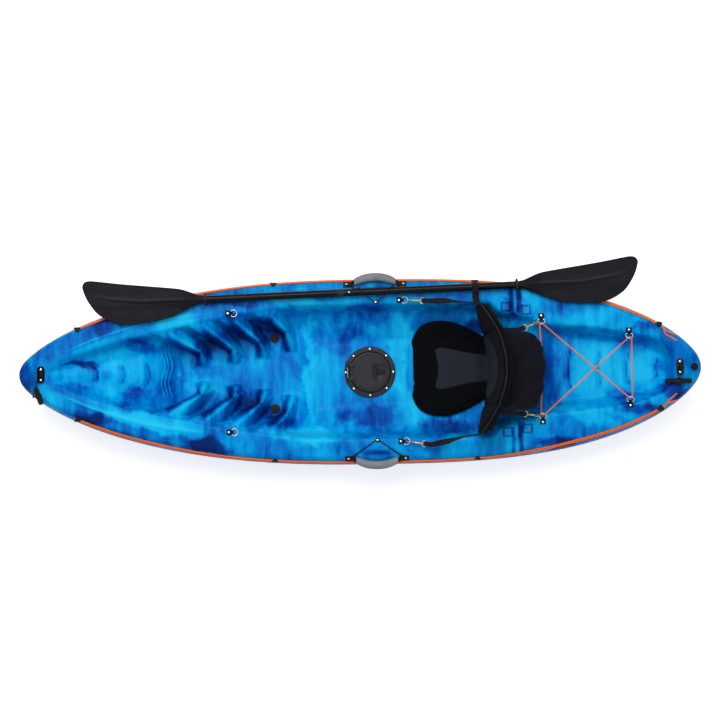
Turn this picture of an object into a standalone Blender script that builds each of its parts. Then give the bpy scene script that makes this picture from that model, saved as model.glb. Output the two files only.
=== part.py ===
"""Sit-on-top fishing kayak with its seat, paddle and deck fittings.

Metres, +Z up. The bow points to -X, starboard is +Y and port is -Y. The origin is on the flat
of the keel at mid length, where the boat rests.
"""
import math

import bmesh
import bpy
from mathutils import Matrix, Vector

# Clearances
GAP = 0.0003                # seated pieces keep this from what carries them
RUNNING = 0.0005            # sliding and turning pieces

# Hull, overall
HULL_LENGTH = 2.66
HULL_BEAM = 0.73
BOW_FULLNESS = 2.3          # exponents of the plan outline
STERN_FULLNESS = 3.0
END_ROUNDING = 0.65
SIDE_DECK_HEIGHT = 0.285
BOW_LIFT = 0.055
STERN_LIFT = 0.040
SHEER_POWER = 2.5
END_DROP = 0.040            # the deck falls away to the very ends
END_DROP_LENGTH = 0.095
BOW_KEEL_RISE = 0.190
STERN_KEEL_RISE = 0.165
KEEL_RISE_START = 0.42      # share of the half length where the keel starts to rise
HULL_WALL = 0.005
NOSE = 0.0015               # the ends are cut this far short, a blunt moulded nose

# Hull, section
GUNWALE_DROP = 0.080        # widest line, under the side deck
SHOULDER_INSET = 0.034
LINE_TRACK_INSET = 0.014    # the rigging line lies on the slope between this and the shoulder
LINE_TRACK_DROP = 0.016
CHANNEL_DEPTH = 0.014       # the two tunnels under the hull
KEEL_FLAT = 0.10            # shares of the half beam
CHANNEL_INNER = 0.24
CHANNEL_OUTER = 0.42
RUNNER_INNER = 0.56
RUNNER_OUTER = 0.70
BILGE = 0.90

# Cockpit, from the foot pad to the cross deck; it keeps its size when the hull gets longer
FOOT_PAD_TOP = -0.788
FOOT_PAD_FOOT = -0.726
FOOTWELL_FLOOR = 0.120
FOOTWELL_END = -0.240
SEAT_FLOOR = 0.140
SEAT_FLOOR_START = -0.188
SEAT_CORNER_START = 0.500   # the seat well's rear corners draw in from here
SEAT_CORNER_END = 0.532
SEAT_WELL_END = 0.545
CROSS_DECK_START = 0.575
CROSS_DECK_END = 0.705
CROSS_DECK_HEIGHT = 0.240


def bow_place(share):
    """A place ahead of the foot pad: 0 is the pad's top and 1 the tip of the bow."""
    return FOOT_PAD_TOP - (HULL_LENGTH / 2 + FOOT_PAD_TOP) * share


def stern_place(share):
    """A place behind the cross deck: 0 is the deck's end and 1 the tip of the stern."""
    return CROSS_DECK_END + (HULL_LENGTH / 2 - CROSS_DECK_END) * share


# Wells at the ends
BOW_WELL_START = bow_place(0.7657)
BOW_WELL_STEPS = (bow_place(0.4705), bow_place(0.2915), bow_place(0.1181))
TANK_FLOOR = 0.185
TANK_WELL_START = stern_place(0.0640)
TANK_STEPS = (stern_place(0.1744), stern_place(0.3632), stern_place(0.5344), stern_place(0.7120))
TANK_WELL_END = stern_place(0.8016)
STEP_RISE = 0.009
STEP_RUN = 0.006
WELL_BULGE = 0.026          # the steps bow towards the stern
GROOVE_START = 0.583
GROOVE_END = 0.617
GROOVE_DEPTH = 0.007
WALL_RUN = 0.020            # the well's steep upper wall leans this far
WALL_FOOT_SHARE = 0.34

# Foot braces on the starboard side: tip, width of its foot, knee, and the two ends on the side wall
BRACES = (
    ((-0.628, 0.026), 0.060, (-0.624, 0.080), (-0.800, 0.150), (-0.722, 0.168)),
    ((-0.505, 0.040), 0.062, (-0.498, 0.093), (-0.659, 0.176), (-0.583, 0.190)),
    ((-0.386, 0.058), 0.070, (-0.392, 0.118), (-0.541, 0.198), (-0.471, 0.207)),
    ((-0.279, 0.081), 0.078, (-0.288, 0.158), (-0.404, 0.217), (-0.330, 0.228)),
)
BRACE_KNEE_HEIGHT = 0.205
BRACE_LEAN = 0.024
BRACE_TOP_DROP = 0.008
BRACE_ROOT = 0.030
BRACE_KNEE_FOOT = 0.015

# Scuppers, hatch, drain and inserts
SCUPPER_PLACE = (-0.339, 0.139)
SCUPPER_BORE = 0.0152
SCUPPER_POST = 0.0205
SCUPPER_SHANK = 0.0134
SCUPPER_CAP = 0.0175
HATCH_PLACE = 0.038
HATCH_RADIUS = 0.101
HATCH_HOLE = 0.0875
HATCH_COLLAR = 0.0868
HATCH_MOUTH = 0.0815
HATCH_COLLAR_DEPTH = 0.026
HATCH_FLANGE = 0.006
HATCH_LEDGE = 0.072
HATCH_LEDGE_DEPTH = 0.010
HATCH_SEAL = 0.0025
LATCH_OFFSET = 0.023
LATCH_SPINDLE = 0.0030
LATCH_BAR = 0.058
LATCH_STEM = 0.034
LID_RADIUS = 0.0805
LID_PLATE = 0.006
HATCH_SCREWS = 8
HATCH_SCREW_CIRCLE = 0.0915
HINGE_PIN = 0.0020
HINGE_OFFSET = 0.0885
HINGE_HEIGHT = 0.0105
HINGE_SPAN = 0.084
DRAIN_PLACE = stern_place(0.9168)
DRAIN_BORE = 0.0100
DRAIN_BOSS = 0.0200
DRAIN_PAD = 0.0030
DRAIN_CAP = 0.0140
DRAIN_SEAL = 0.0015
INSERT_PLACES = ((0.565, 0.242), (0.641, 0.229))
INSERT_PAD = 0.030
INSERT_PAD_DEPTH = 0.004
INSERT_BORE = 0.0032
INSERT_BOSS = 0.013
INSERT_BOSS_DEPTH = 0.024

# Fittings on the deck
SCREW_HEAD = 0.0045
PAD_EYE_LENGTH = 0.064
PAD_EYE_WIDTH = 0.021
PAD_EYE_BASE = 0.0045
PAD_EYE_SCREWS = 0.041
BOW_PAD_EYE = bow_place(0.8007)
STERN_PAD_EYE = stern_place(0.8312)
STERN_TOGGLE_LENGTH = 0.103
BOW_TOGGLE_LENGTH = 0.072
TOGGLE_RADIUS = 0.0125
TOGGLE_CORD = 0.0020
EYE_RADIUS = 0.0115
EYE_BAR = 0.0030
EYE_CORD_HEIGHT = 0.0088
STERN_TOGGLE = (stern_place(0.8160), -0.055)
BOW_TOGGLE_X = BOW_PAD_EYE
BOW_TOGGLE_AXIS = (0.200, -0.830, -0.520)
BOW_TOGGLE_SHIFT = 0.012
RING_RADIUS = 0.0135
RING_WIRE = 0.0015
TAB_SIZE = 0.022
TAB_THICK = 0.004
RING_BAR_OFFSET = 0.0070
SLEEVE_RADIUS = 0.0042
SLEEVE_BORE = 0.0026
SLEEVE_LENGTH = 0.014
FREE_RING_TILT = -6.0
SIDE_RING_HEADING = 0.0
FRONT_RING = (-0.507, 0.229)
SIDE_RING = (0.154, 0.272)
TANK_FRONT_RING = (0.699, 0.203)
TANK_REAR_RING = (stern_place(0.5264), 0.143)
LOADED_RING_TILT = 24.0
HOOK_RADIUS = 0.0062
HOOK_WIRE = 0.0020
HOOK_BODY = 0.0042
HOOK_SEAT = 0.0016
EYE_START = 0.0490
EYE_REACH = 0.0120
EYE_HALF_WIDTH = 0.0115
EYE_WIRE = 0.0018
TRIGGER_RADIUS = 0.0014
TRIGGER_HEIGHT = 0.0062
HANDLE_PLACE = 0.060
HANDLE_SPACING = 0.220
HANDLE_INSET = 0.0325
HANDLE_PAD = 0.018
HANDLE_BAND = 0.0035
HANDLE_BAND_WIDTH = 0.014
HANDLE_SHAPE = (            # share of the half spacing, reach outwards and rise
    (-1.0, 0.0, 0.0), (-0.92, 0.0, 0.0), (-0.83, 0.002, 0.010), (-0.74, 0.009, 0.014), (-0.36, 0.024, 0.015),
    (0.0, 0.028, 0.015), (0.36, 0.024, 0.015), (0.74, 0.009, 0.014), (0.83, 0.002, 0.010), (0.92, 0.0, 0.0),
    (1.0, 0.0, 0.0),
)
GRIP_LENGTH = 0.160
GRIP_WIDTH = 0.032
GRIP_THICK = 0.020
KEEPER_BUTTON = (0.062, 0.266)
KEEPER_RADIUS = 0.0020
KEEPER_REACH = 0.088
KEEPER_END = 0.3240
LINE_RADIUS = 0.0028
LINE_CLEARANCE = 0.0007
LINE_BOW = bow_place(0.5701)
LINE_STERN = stern_place(0.7280)
LINE_CORNERS = (LINE_STERN + 0.011, LINE_STERN + 0.006)
LINE_TAILS = (              # places behind the line's last guide, and their distance from the middle
    (((0.018, 0.136), (0.036, 0.128), (0.056, 0.122)), ((0.012, 0.126), (0.030, 0.114), (0.054, 0.100))),
    (((0.018, 0.130), (0.036, 0.114), (0.050, 0.102)), ((0.012, 0.138), (0.032, 0.134), (0.052, 0.128))),
)
BUNGEE_RADIUS = 0.0025

# Paddle
SHAFT_RADIUS = 0.0140
SHAFT_BORE = 0.0118
SHAFT_SEAM = -0.072
FERRULE_LENGTH = 0.150
PADDLE_FRONT_NECK = (-0.614, 0.282)
PADDLE_REAR_NECK = (0.627, 0.324)
BLADE_LENGTH = 0.454
BLADE_SOCKET = 0.060
BLADE_EDGE = 0.0035
BLADE_SPINE = 0.0110
BLADE_SPOON = 0.022
BLADE_SOCKET_END = 0.060
BLADE_NECK_RADIUS = 0.0165
BLADE_NECK_LENGTH = 0.085
BLADE_RIB_REACH = 0.035
PADDLE_REAR_LIFT = 0.0225
DRIP_RING_RADIUS = 0.0245
DRIP_RING_WIDTH = 0.010
DRIP_RING_OFFSET = 0.022
DRIP_RING_LIFT = 0.0020
BUTTON_PLACE = -0.040
BUTTON_RADIUS = 0.0036

# Seat
CUSHION_FRONT = 0.204
CUSHION_REAR = 0.492
CUSHION_OUTLINE = (
    (0.0, 0.55), (0.03, 0.67), (0.07, 0.79), (0.12, 0.88), (0.20, 0.95), (0.30, 0.99), (0.40, 1.0), (0.52, 0.98),
    (0.64, 0.93), (0.76, 0.86), (0.88, 0.76), (1.0, 0.66),
)
CUSHION_HALF_WIDTH = 0.190
CUSHION_OFFSET = 0.010      # it lies a little to starboard
CUSHION_THICK = 0.040
CUSHION_DISH = 0.010        # the middle is this much thinner, and the rolled rim this much higher
CUSHION_FRONT_ROLL = 0.008
CUSHION_DRAW_IN = 0.008
BACKREST_PLACE = 0.515
BACKREST_HALF_WIDTH = 0.245
BACKREST_BOTTOM = 0.150
BACKREST_TOP = 0.570
BACKREST_THICK = 0.034
BACKREST_WRAP = 0.080
BACKREST_LEAN = 0.030
BACKREST_WING_RISE = 0.175
BACKREST_WING_DROP = 0.110
BAG_LENGTH = 0.152
BAG_WIDTH = 0.296
BAG_HEIGHT = 0.200
BAG_OFFSET = -0.010
BAG_BOTTOM = 0.252
STRAP_WIDTH = 0.022
STRAP_THICK = 0.005
WEBBING = 0.0022
STRAP_WING_HEIGHT = 0.400
STRAP_LIFT = 0.050          # the straps leave their hooks this far over the side deck's level
FRONT_STRAP_START = ((0.300, 0.262), (0.300, -0.290))
REAR_STRAP_START = ((0.600, 0.146), (0.600, -0.170))
REAR_STRAP_LIFT = 0.040
PADDLE_STRAP_X = 0.446


# Shared helpers

def clear_scene():
    for item in list(bpy.data.objects):
        bpy.data.objects.remove(item, do_unlink=True)


def material(name, colour, roughness, metallic=0.0):
    """A Principled material, made once for each name."""
    found = bpy.data.materials.get(name)
    if found:
        return found
    made = bpy.data.materials.new(name)
    made.use_nodes = True
    made.diffuse_color = (*colour, 1.0)
    shader = made.node_tree.nodes["Principled BSDF"]
    shader.inputs["Base Color"].default_value = (*colour, 1.0)
    shader.inputs["Roughness"].default_value = roughness
    shader.inputs["Metallic"].default_value = metallic
    return made


def hull_plastic():
    return material("hull_plastic", (0.010, 0.300, 0.700), 0.38)


def black_plastic():
    return material("black_plastic", (0.018, 0.018, 0.022), 0.45)


def deck_plastic():
    return material("hatch_plastic", (0.035, 0.035, 0.045), 0.50)


def grey_grip():
    return material("grey_grip", (0.190, 0.200, 0.230), 0.60)


def webbing():
    return material("black_webbing", (0.010, 0.010, 0.012), 0.85)


def seat_fabric():
    return material("seat_fabric", (0.012, 0.012, 0.015), 0.80)


def orange_cord():
    return material("orange_cord", (0.800, 0.110, 0.020), 0.70)


def steel():
    return material("stainless_steel", (0.620, 0.620, 0.640), 0.25, 1.0)


def brass():
    return material("brass", (0.700, 0.500, 0.200), 0.30, 1.0)


def rubber():
    return material("black_rubber", (0.012, 0.012, 0.012), 0.75)


def new_object(name, mesh, surface):
    """Puts a mesh in the scene as a named piece."""
    mesh.materials.clear()
    mesh.materials.append(surface)
    piece = bpy.data.objects.new(name, mesh)
    bpy.context.scene.collection.objects.link(piece)
    return piece


def as_cutter(piece):
    """Marks a guide shape that is used by a Boolean and is no piece itself."""
    piece.hide_render = True
    piece.display_type = "WIRE"
    return piece


def boolean(target, tool, operation):
    step = target.modifiers.new(operation.lower(), "BOOLEAN")
    step.operation = operation
    step.solver = "EXACT"
    step.object = as_cutter(tool)
    return target


def mesh_of(name, points, faces, smooth_angle=35.0):
    """A closed mesh with its faces turned outwards and soft shading below the given angle."""
    mesh = bpy.data.meshes.new(name)
    mesh.from_pydata([tuple(p) for p in points], [], faces)
    work = bmesh.new()
    work.from_mesh(mesh)
    bmesh.ops.recalc_face_normals(work, faces=work.faces)
    work.to_mesh(mesh)
    work.free()
    mesh.shade_smooth()
    mesh.set_sharp_from_angle(angle=math.radians(smooth_angle))
    return mesh


def loft(name, rings, smooth_angle=35.0, closed=False):
    """Skins a row of rings with the same number of points; the ends are capped unless closed."""
    count = len(rings[0])
    points = [p for ring in rings for p in ring]
    faces = []
    spans = len(rings) if closed else len(rings) - 1
    for i in range(spans):
        here = i * count
        there = (i + 1) % len(rings) * count
        for j in range(count):
            k = (j + 1) % count
            faces.append((here + j, here + k, there + k, there + j))
    if not closed:
        faces.append(tuple(range(count))[::-1])
        last = (len(rings) - 1) * count
        faces.append(tuple(range(last, last + count)))
    return mesh_of(name, points, faces, smooth_angle)


def circle(radius, count, height=0.0, start=0.0):
    return [
        Vector(
            (
                radius * math.cos(start + math.tau * i / count),
                radius * math.sin(start + math.tau * i / count), height,
            ),
        )
        for i in range(count)
    ]


def turned(name, profile, count, smooth_angle=35.0, ring=False):
    """Turns (radius, height) points round Z. A ring profile closes on itself round a hole."""
    rings = [circle(radius, count, height) for radius, height in profile]
    return loft(name, rings, smooth_angle, closed=ring)


def plate(name, outline, low, high, smooth_angle=35.0):
    """A flat plate from a list of (x, y) points."""
    return loft(name, [[Vector((x, y, z)) for x, y in outline] for z in (low, high)], smooth_angle)


def arc_points(centre, radius, start, end, count):
    return [
        (
            centre[0] + radius * math.cos(math.radians(start + (end - start) * i / count)),
            centre[1] + radius * math.sin(math.radians(start + (end - start) * i / count)),
        )
        for i in range(count + 1)
    ]


def rounded_outline(length, width, radius, steps=3):
    """A rectangle with round corners, centred, as (x, y) points."""
    x, y = length / 2 - radius, width / 2 - radius
    outline = []
    for corner, start in (((x, y), 0), ((-x, y), 90), ((-x, -y), 180), ((x, -y), 270)):
        outline += arc_points(corner, radius, start, start + 90, steps)
    return outline


def move_mesh(mesh, matrix):
    mesh.transform(matrix)
    return mesh


def place(piece, matrix):
    piece.matrix_world = matrix
    return piece


def frame_at(origin, along, up):
    """A placement whose X runs along the given direction and whose Z is as near up as it can be."""
    x_axis = Vector(along).normalized()
    y_axis = Vector(up).cross(x_axis).normalized()
    z_axis = x_axis.cross(y_axis)
    turn = Matrix((x_axis, y_axis, z_axis)).transposed().to_4x4()
    return Matrix.Translation(Vector(origin)) @ turn


def tube(name, points, radius, surface, sides=2, closed=False):
    """A round cord through its points. sides is the bevel resolution."""
    curve = bpy.data.curves.new(name, "CURVE")
    curve.dimensions = "3D"
    curve.bevel_depth = radius
    curve.bevel_resolution = sides
    curve.render_resolution_u = 0
    curve.use_fill_caps = not closed
    spline = curve.splines.new("POLY")
    spline.points.add(len(points) - 1)
    for node, point in zip(spline.points, points):
        node.co = (*point, 1.0)
    spline.use_cyclic_u = closed
    curve.materials.append(surface)
    piece = bpy.data.objects.new(name, curve)
    bpy.context.scene.collection.objects.link(piece)
    return piece


def smooth_path(points, per_span):
    """Points along one smooth curve through the given ones."""
    stops = [Vector(p) for p in points]
    ends = [stops[0] * 2 - stops[1], *stops, stops[-1] * 2 - stops[-2]]
    path = []
    for i in range(1, len(ends) - 2):
        a, b, c, d = ends[i - 1:i + 3]
        for step in range(per_span):
            t = step / per_span
            curve = 2 * b + (c - a) * t + (2 * a - 5 * b + 4 * c - d) * t ** 2
            path.append(0.5 * (curve + (3 * b - a - 3 * c + d) * t ** 3))
    path.append(stops[-1])
    return path


def blend_through(stops, x):
    """Reads the line through (x, value) stops."""
    if x <= stops[0][0]:
        return stops[0][1]
    for (x0, y0), (x1, y1) in zip(stops, stops[1:]):
        if x <= x1:
            t = (x - x0) / (x1 - x0)
            return y0 + (y1 - y0) * t
    return stops[-1][1]


# Hull shape

def share_of_half(x):
    return min(abs(x) / (HULL_LENGTH / 2), 1.0)


def half_breadth(x):
    """Half the beam at a place along the hull."""
    fullness = BOW_FULLNESS if x < 0 else STERN_FULLNESS
    return HULL_BEAM / 2 * (1 - share_of_half(x) ** fullness) ** END_ROUNDING


def sheer(x):
    """Height of the side deck."""
    lift = BOW_LIFT if x < 0 else STERN_LIFT
    height = SIDE_DECK_HEIGHT + lift * share_of_half(x) ** SHEER_POWER
    past = abs(x) - (HULL_LENGTH / 2 - END_DROP_LENGTH)
    if past > 0:
        height -= END_DROP * (past / END_DROP_LENGTH) ** 2
    return height


def keel(x):
    rise = BOW_KEEL_RISE if x < 0 else STERN_KEEL_RISE
    past = max(share_of_half(x) - KEEL_RISE_START, 0.0) / (1 - KEEL_RISE_START)
    return rise * past ** 3


def stepped(steps, start_height, end_height, plain):
    """A floor that climbs in small steps, as (x, height) stops. The plain one is the line under its steps."""
    stops = []
    levels = len(steps) + 1
    for i, x in enumerate(steps):
        before = start_height + (end_height - start_height) * (i + 0.6) / levels
        after = before + math.copysign(STEP_RISE, end_height - start_height)
        if not plain:
            stops += [(x, before), (x + STEP_RUN, after)]
        elif after < before:
            stops.append((x, after))
        else:
            stops.append((x + STEP_RUN, before))
    return stops


def floor_stops(plain=False):
    """Height of the deck's centreline from bow to stern."""
    bow_edge = sheer(BOW_WELL_START)
    return [
        (BOW_WELL_START, bow_edge),
        (BOW_WELL_START + 0.050, bow_edge - 0.040),
        *stepped(BOW_WELL_STEPS, bow_edge - 0.055, 0.185, plain),
        (FOOT_PAD_TOP, 0.184),
        (FOOT_PAD_FOOT, 0.130),
        (FOOT_PAD_FOOT + 0.030, FOOTWELL_FLOOR),
        (FOOTWELL_END, FOOTWELL_FLOOR),
        (SEAT_FLOOR_START, SEAT_FLOOR),
        (SEAT_WELL_END, SEAT_FLOOR),
        (CROSS_DECK_START, CROSS_DECK_HEIGHT),
        (CROSS_DECK_END, CROSS_DECK_HEIGHT),
        (TANK_WELL_START, TANK_FLOOR),
        *stepped(TANK_STEPS, TANK_FLOOR - 0.004, 0.235, plain),
        (TANK_WELL_END - 0.022, 0.246),
        (TANK_WELL_END, sheer(TANK_WELL_END)),
    ]


FLOOR_STOPS = floor_stops()
CAVITY_ROOF_STOPS = floor_stops(plain=True)

RIM_STOPS = (
    (BOW_WELL_START, 0.004), (bow_place(0.7417), 0.026), (bow_place(0.6679), 0.050), (
        bow_place(0.5277), 0.082,
    ),
    (bow_place(0.3376), 0.114), (bow_place(0.1494), 0.138), (FOOT_PAD_TOP + 0.011, 0.157), (-0.571, 0.200),
    (-0.455, 0.220), (-0.332, 0.238), (-0.233, 0.256), (SEAT_CORNER_START, 0.256), (SEAT_CORNER_END, 0.222),
    (0.640, 0.205), (stern_place(0.0208), 0.170), (stern_place(0.3120), 0.156), (stern_place(0.6320), 0.122),
    (stern_place(0.7280), 0.098), (stern_place(0.7792), 0.062), (TANK_WELL_END, 0.004),
)

FLOOR_EDGE_STOPS = (
    (BOW_WELL_START, 0.002), (bow_place(0.6679), 0.018), (bow_place(0.3911), 0.046), (
        bow_place(0.0221), 0.080,
    ),
    (FOOT_PAD_FOOT, 0.110), (-0.650, 0.140), (FOOTWELL_END, 0.184), (SEAT_FLOOR_START, 0.150), (0.000, 0.127),
    (SEAT_WELL_END, 0.127), (0.640, 0.150), (TANK_WELL_START, 0.136), (stern_place(0.6320), 0.094),
    (stern_place(0.7440), 0.058), (TANK_WELL_END, 0.002),
)


def has_well(x):
    return BOW_WELL_START < x < TANK_WELL_END


def nearby(reader, x, reach, pick):
    """The lowest or highest value of a curve within reach of x, so that a wall keeps its thickness."""
    return pick(reader(x + reach * share) for share in (-1.6, -0.8, 0.0, 0.8, 1.6))


def floor_height(x, skin=0.0):
    if not has_well(x) and not (skin and (has_well(x - skin) or has_well(x + skin))):
        return sheer(x) - skin

    stops = CAVITY_ROOF_STOPS if skin else FLOOR_STOPS

    def read(at):
        return blend_through(stops, at) if has_well(at) else sheer(at)

    return nearby(read, x, skin, min) - skin


def rim_half_width(x, skin=0.0):
    return nearby(lambda at: blend_through(RIM_STOPS, at), x, skin, max) + skin


def floor_half_width(x, skin=0.0):
    return nearby(lambda at: blend_through(FLOOR_EDGE_STOPS, at), x, skin, max) + skin


def side_deck_height(x):
    in_groove = GROOVE_START < x < GROOVE_END
    return sheer(x) - (GROOVE_DEPTH if in_groove else 0.0)


def half_section(x, skin=0.0):
    """(y, z) points from the keel round the side to the deck's centreline."""
    breadth = half_breadth(x) - skin
    low = keel(x) + skin
    deck = side_deck_height(x) - skin
    widest = sheer(x) - GUNWALE_DROP
    widest = max(widest, low + 0.3 * (deck - low))
    shoulder = max(breadth - SHOULDER_INSET, breadth * 0.55)
    track = max(breadth - LINE_TRACK_INSET, breadth * 0.85)
    rim = min(rim_half_width(x, skin), shoulder * 0.94)
    foot = max(rim - WALL_RUN, rim * 0.55)
    edge = min(floor_half_width(x, skin), foot * 0.92)
    floor = min(floor_height(x, skin), deck)
    foot_height = floor + (deck - floor) * WALL_FOOT_SHARE
    channel = min(CHANNEL_DEPTH, (widest - low) * 0.15)
    return [
        (0.0, low),
        (breadth * KEEL_FLAT, low),
        (breadth * CHANNEL_INNER, low + channel),
        (breadth * CHANNEL_OUTER, low + channel),
        (breadth * RUNNER_INNER, low),
        (breadth * RUNNER_OUTER, low + 0.001),
        (breadth * BILGE, low + (widest - low) * 0.20),
        (breadth * 0.975, low + (widest - low) * 0.56),
        (breadth, widest),
        (track, sheer(x) - skin - LINE_TRACK_DROP),
        (shoulder, deck),
        (rim, deck),
        (foot, foot_height),
        (edge, floor),
        (edge * 0.5, floor),
        (0.0, floor),
    ]


CAVITY_LEAVES_OUT = (1, 7, 9)


def hull_ring(x, skin=0.0):
    """The whole section at x. The well's floor bows towards the stern, and the cavity is plainer."""
    half = half_section(x, skin)
    if skin:
        half = [point for i, point in enumerate(half) if i not in CAVITY_LEAVES_OUT]
    inside = len(half) - 4
    bulge = WELL_BULGE if has_well(x - skin) and has_well(x + skin) else 0.0
    curved = x < FOOT_PAD_TOP or x > TANK_WELL_START
    ring = []
    for side, steps in ((1, range(len(half))), (-1, range(len(half) - 2, 0, -1))):
        for i in steps:
            y, z = half[i]
            shift = bulge * (1 - (y / half[inside][0]) ** 2) if curved and i > inside else 0.0
            fade = min(1.0, (TANK_WELL_END - x) / 0.12, abs(x - BOW_WELL_START) / 0.12)
            if FOOT_PAD_TOP - 0.10 < x < 0:
                fade = min(fade, (FOOT_PAD_TOP - x) / 0.10)
            if 0 < x < TANK_WELL_START + 0.10:
                fade = min(fade, (x - TANK_WELL_START) / 0.10)
            ring.append(Vector((x + shift * max(fade, 0.0), side * y, z)))
    return ring


def hull_stations():
    """Places along the hull where a section is drawn."""
    half = HULL_LENGTH / 2 - NOSE
    ends = [half, half - 0.007, half - 0.020, half - 0.042, half - 0.070, half - 0.100]
    stations = {round(-e, 5) for e in ends} | {round(e, 5) for e in ends}
    stations |= {round(x, 5) for x, _ in FLOOR_STOPS}
    stations |= {GROOVE_START - 0.002, GROOVE_START + 0.002, GROOVE_END - 0.002, GROOVE_END + 0.002}
    stations |= {round(bow_place(share), 5) for share in (0.7417, 0.5757, 0.3819, 0.2066)}
    stations |= {round(stern_place(share), 5) for share in (0.2640, 0.4480, 0.6320)}
    stations |= {SEAT_CORNER_START, SEAT_CORNER_END, 0.640}
    spacing = 0.095
    count = round((SEAT_WELL_END - FOOT_PAD_FOOT) / spacing)
    for i in range(1, count):
        x = FOOT_PAD_FOOT + (SEAT_WELL_END - FOOT_PAD_FOOT) * i / count
        if all(abs(x - other) > 0.020 for other in stations):
            stations.add(round(x, 5))
    return sorted(stations)


def cavity_stations():
    """Fewer sections than outside: both sides of each bend in the roof, and few on the plain stretches."""
    inner = HULL_LENGTH / 2 - NOSE - 0.030
    stations = {-inner, inner, bow_place(0.8708), stern_place(0.8880)}
    for x, _ in CAVITY_ROOF_STOPS:
        stations |= {x - HULL_WALL, x + HULL_WALL}
    stations |= {x for x in hull_stations() if abs(x) < inner}
    bends = [x for x, _ in CAVITY_ROOF_STOPS] + [SEAT_CORNER_START, SEAT_CORNER_END]
    kept = []
    for x in sorted(stations):
        by_a_bend = any(abs(x - bend) < HULL_WALL * 1.2 for bend in bends)
        if not kept or x - kept[-1] > (0.0085 if by_a_bend else 0.060):
            kept.append(round(x, 5))
    return kept


def deck_point(x, y, lift=0.0):
    """A point on the flat of the side deck, or on the bow or stern deck."""
    return Vector((x, y, side_deck_height(x) + lift))


def deck_slope(x):
    step = 0.004
    return math.atan2(sheer(x + step) - sheer(x - step), 2 * step)


def deck_frame(x, y, heading=0.0, lift=GAP):
    """Placement on the side deck: Z square to the deck, X turned by heading degrees."""
    tilt = Matrix.Rotation(-deck_slope(x), 4, "Y")
    turn = Matrix.Rotation(math.radians(heading), 4, "Z")
    return Matrix.Translation(deck_point(x, y)) @ tilt @ Matrix.Translation((0, 0, lift)) @ turn


def floor_point(x, lift=0.0):
    return Vector((x, 0, floor_height(x) + lift))


def cylinder_cutter(name, radius, low, high, matrix, count=20, top_radius=None):
    """A plain or tapered guide cylinder."""
    mesh = turned(name, [(radius, low), (top_radius or radius, high)], count)
    piece = new_object(name, mesh, hull_plastic())
    return place(as_cutter(piece), matrix)


def hull_of_points(name, points):
    """The convex solid round a few points."""
    work = bmesh.new()
    for point in points:
        work.verts.new(point)
    bmesh.ops.convex_hull(work, input=work.verts)
    for loose in [v for v in work.verts if not v.link_faces]:
        work.verts.remove(loose)
    bmesh.ops.recalc_face_normals(work, faces=work.faces)
    mesh = bpy.data.meshes.new(name)
    work.to_mesh(mesh)
    work.free()
    return mesh


def brace_meshes(brace, side):
    """A foot brace in two solids: the ridge from the side wall, and its three-cornered nose."""
    (tip_x, tip_y), foot, (knee_x, knee_y), front, rear = brace
    low = FOOTWELL_FLOOR - HULL_WALL / 2
    knee = (knee_x, side * knee_y, BRACE_KNEE_HEIGHT)
    knee_front = (knee_x - BRACE_KNEE_FOOT, side * knee_y, low)
    knee_rear = (knee_x + BRACE_KNEE_FOOT * 2, side * (knee_y + BRACE_KNEE_FOOT), low)
    ridge = [knee, knee_front, knee_rear]
    for (x, y), lean in ((front, -BRACE_LEAN), (rear, BRACE_LEAN)):
        top = sheer(x) - BRACE_TOP_DROP
        for out in (0, BRACE_ROOT):
            ridge += [(x, side * (y + out), top), (x + lean, side * (y + out), low)]
    nose = [
        knee, knee_front, knee_rear, (tip_x - foot / 2, side * tip_y, low),
        (tip_x + foot / 2, side * tip_y, low),
    ]
    return hull_of_points("brace_ridge", ridge), hull_of_points("brace_nose", nose)


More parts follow.
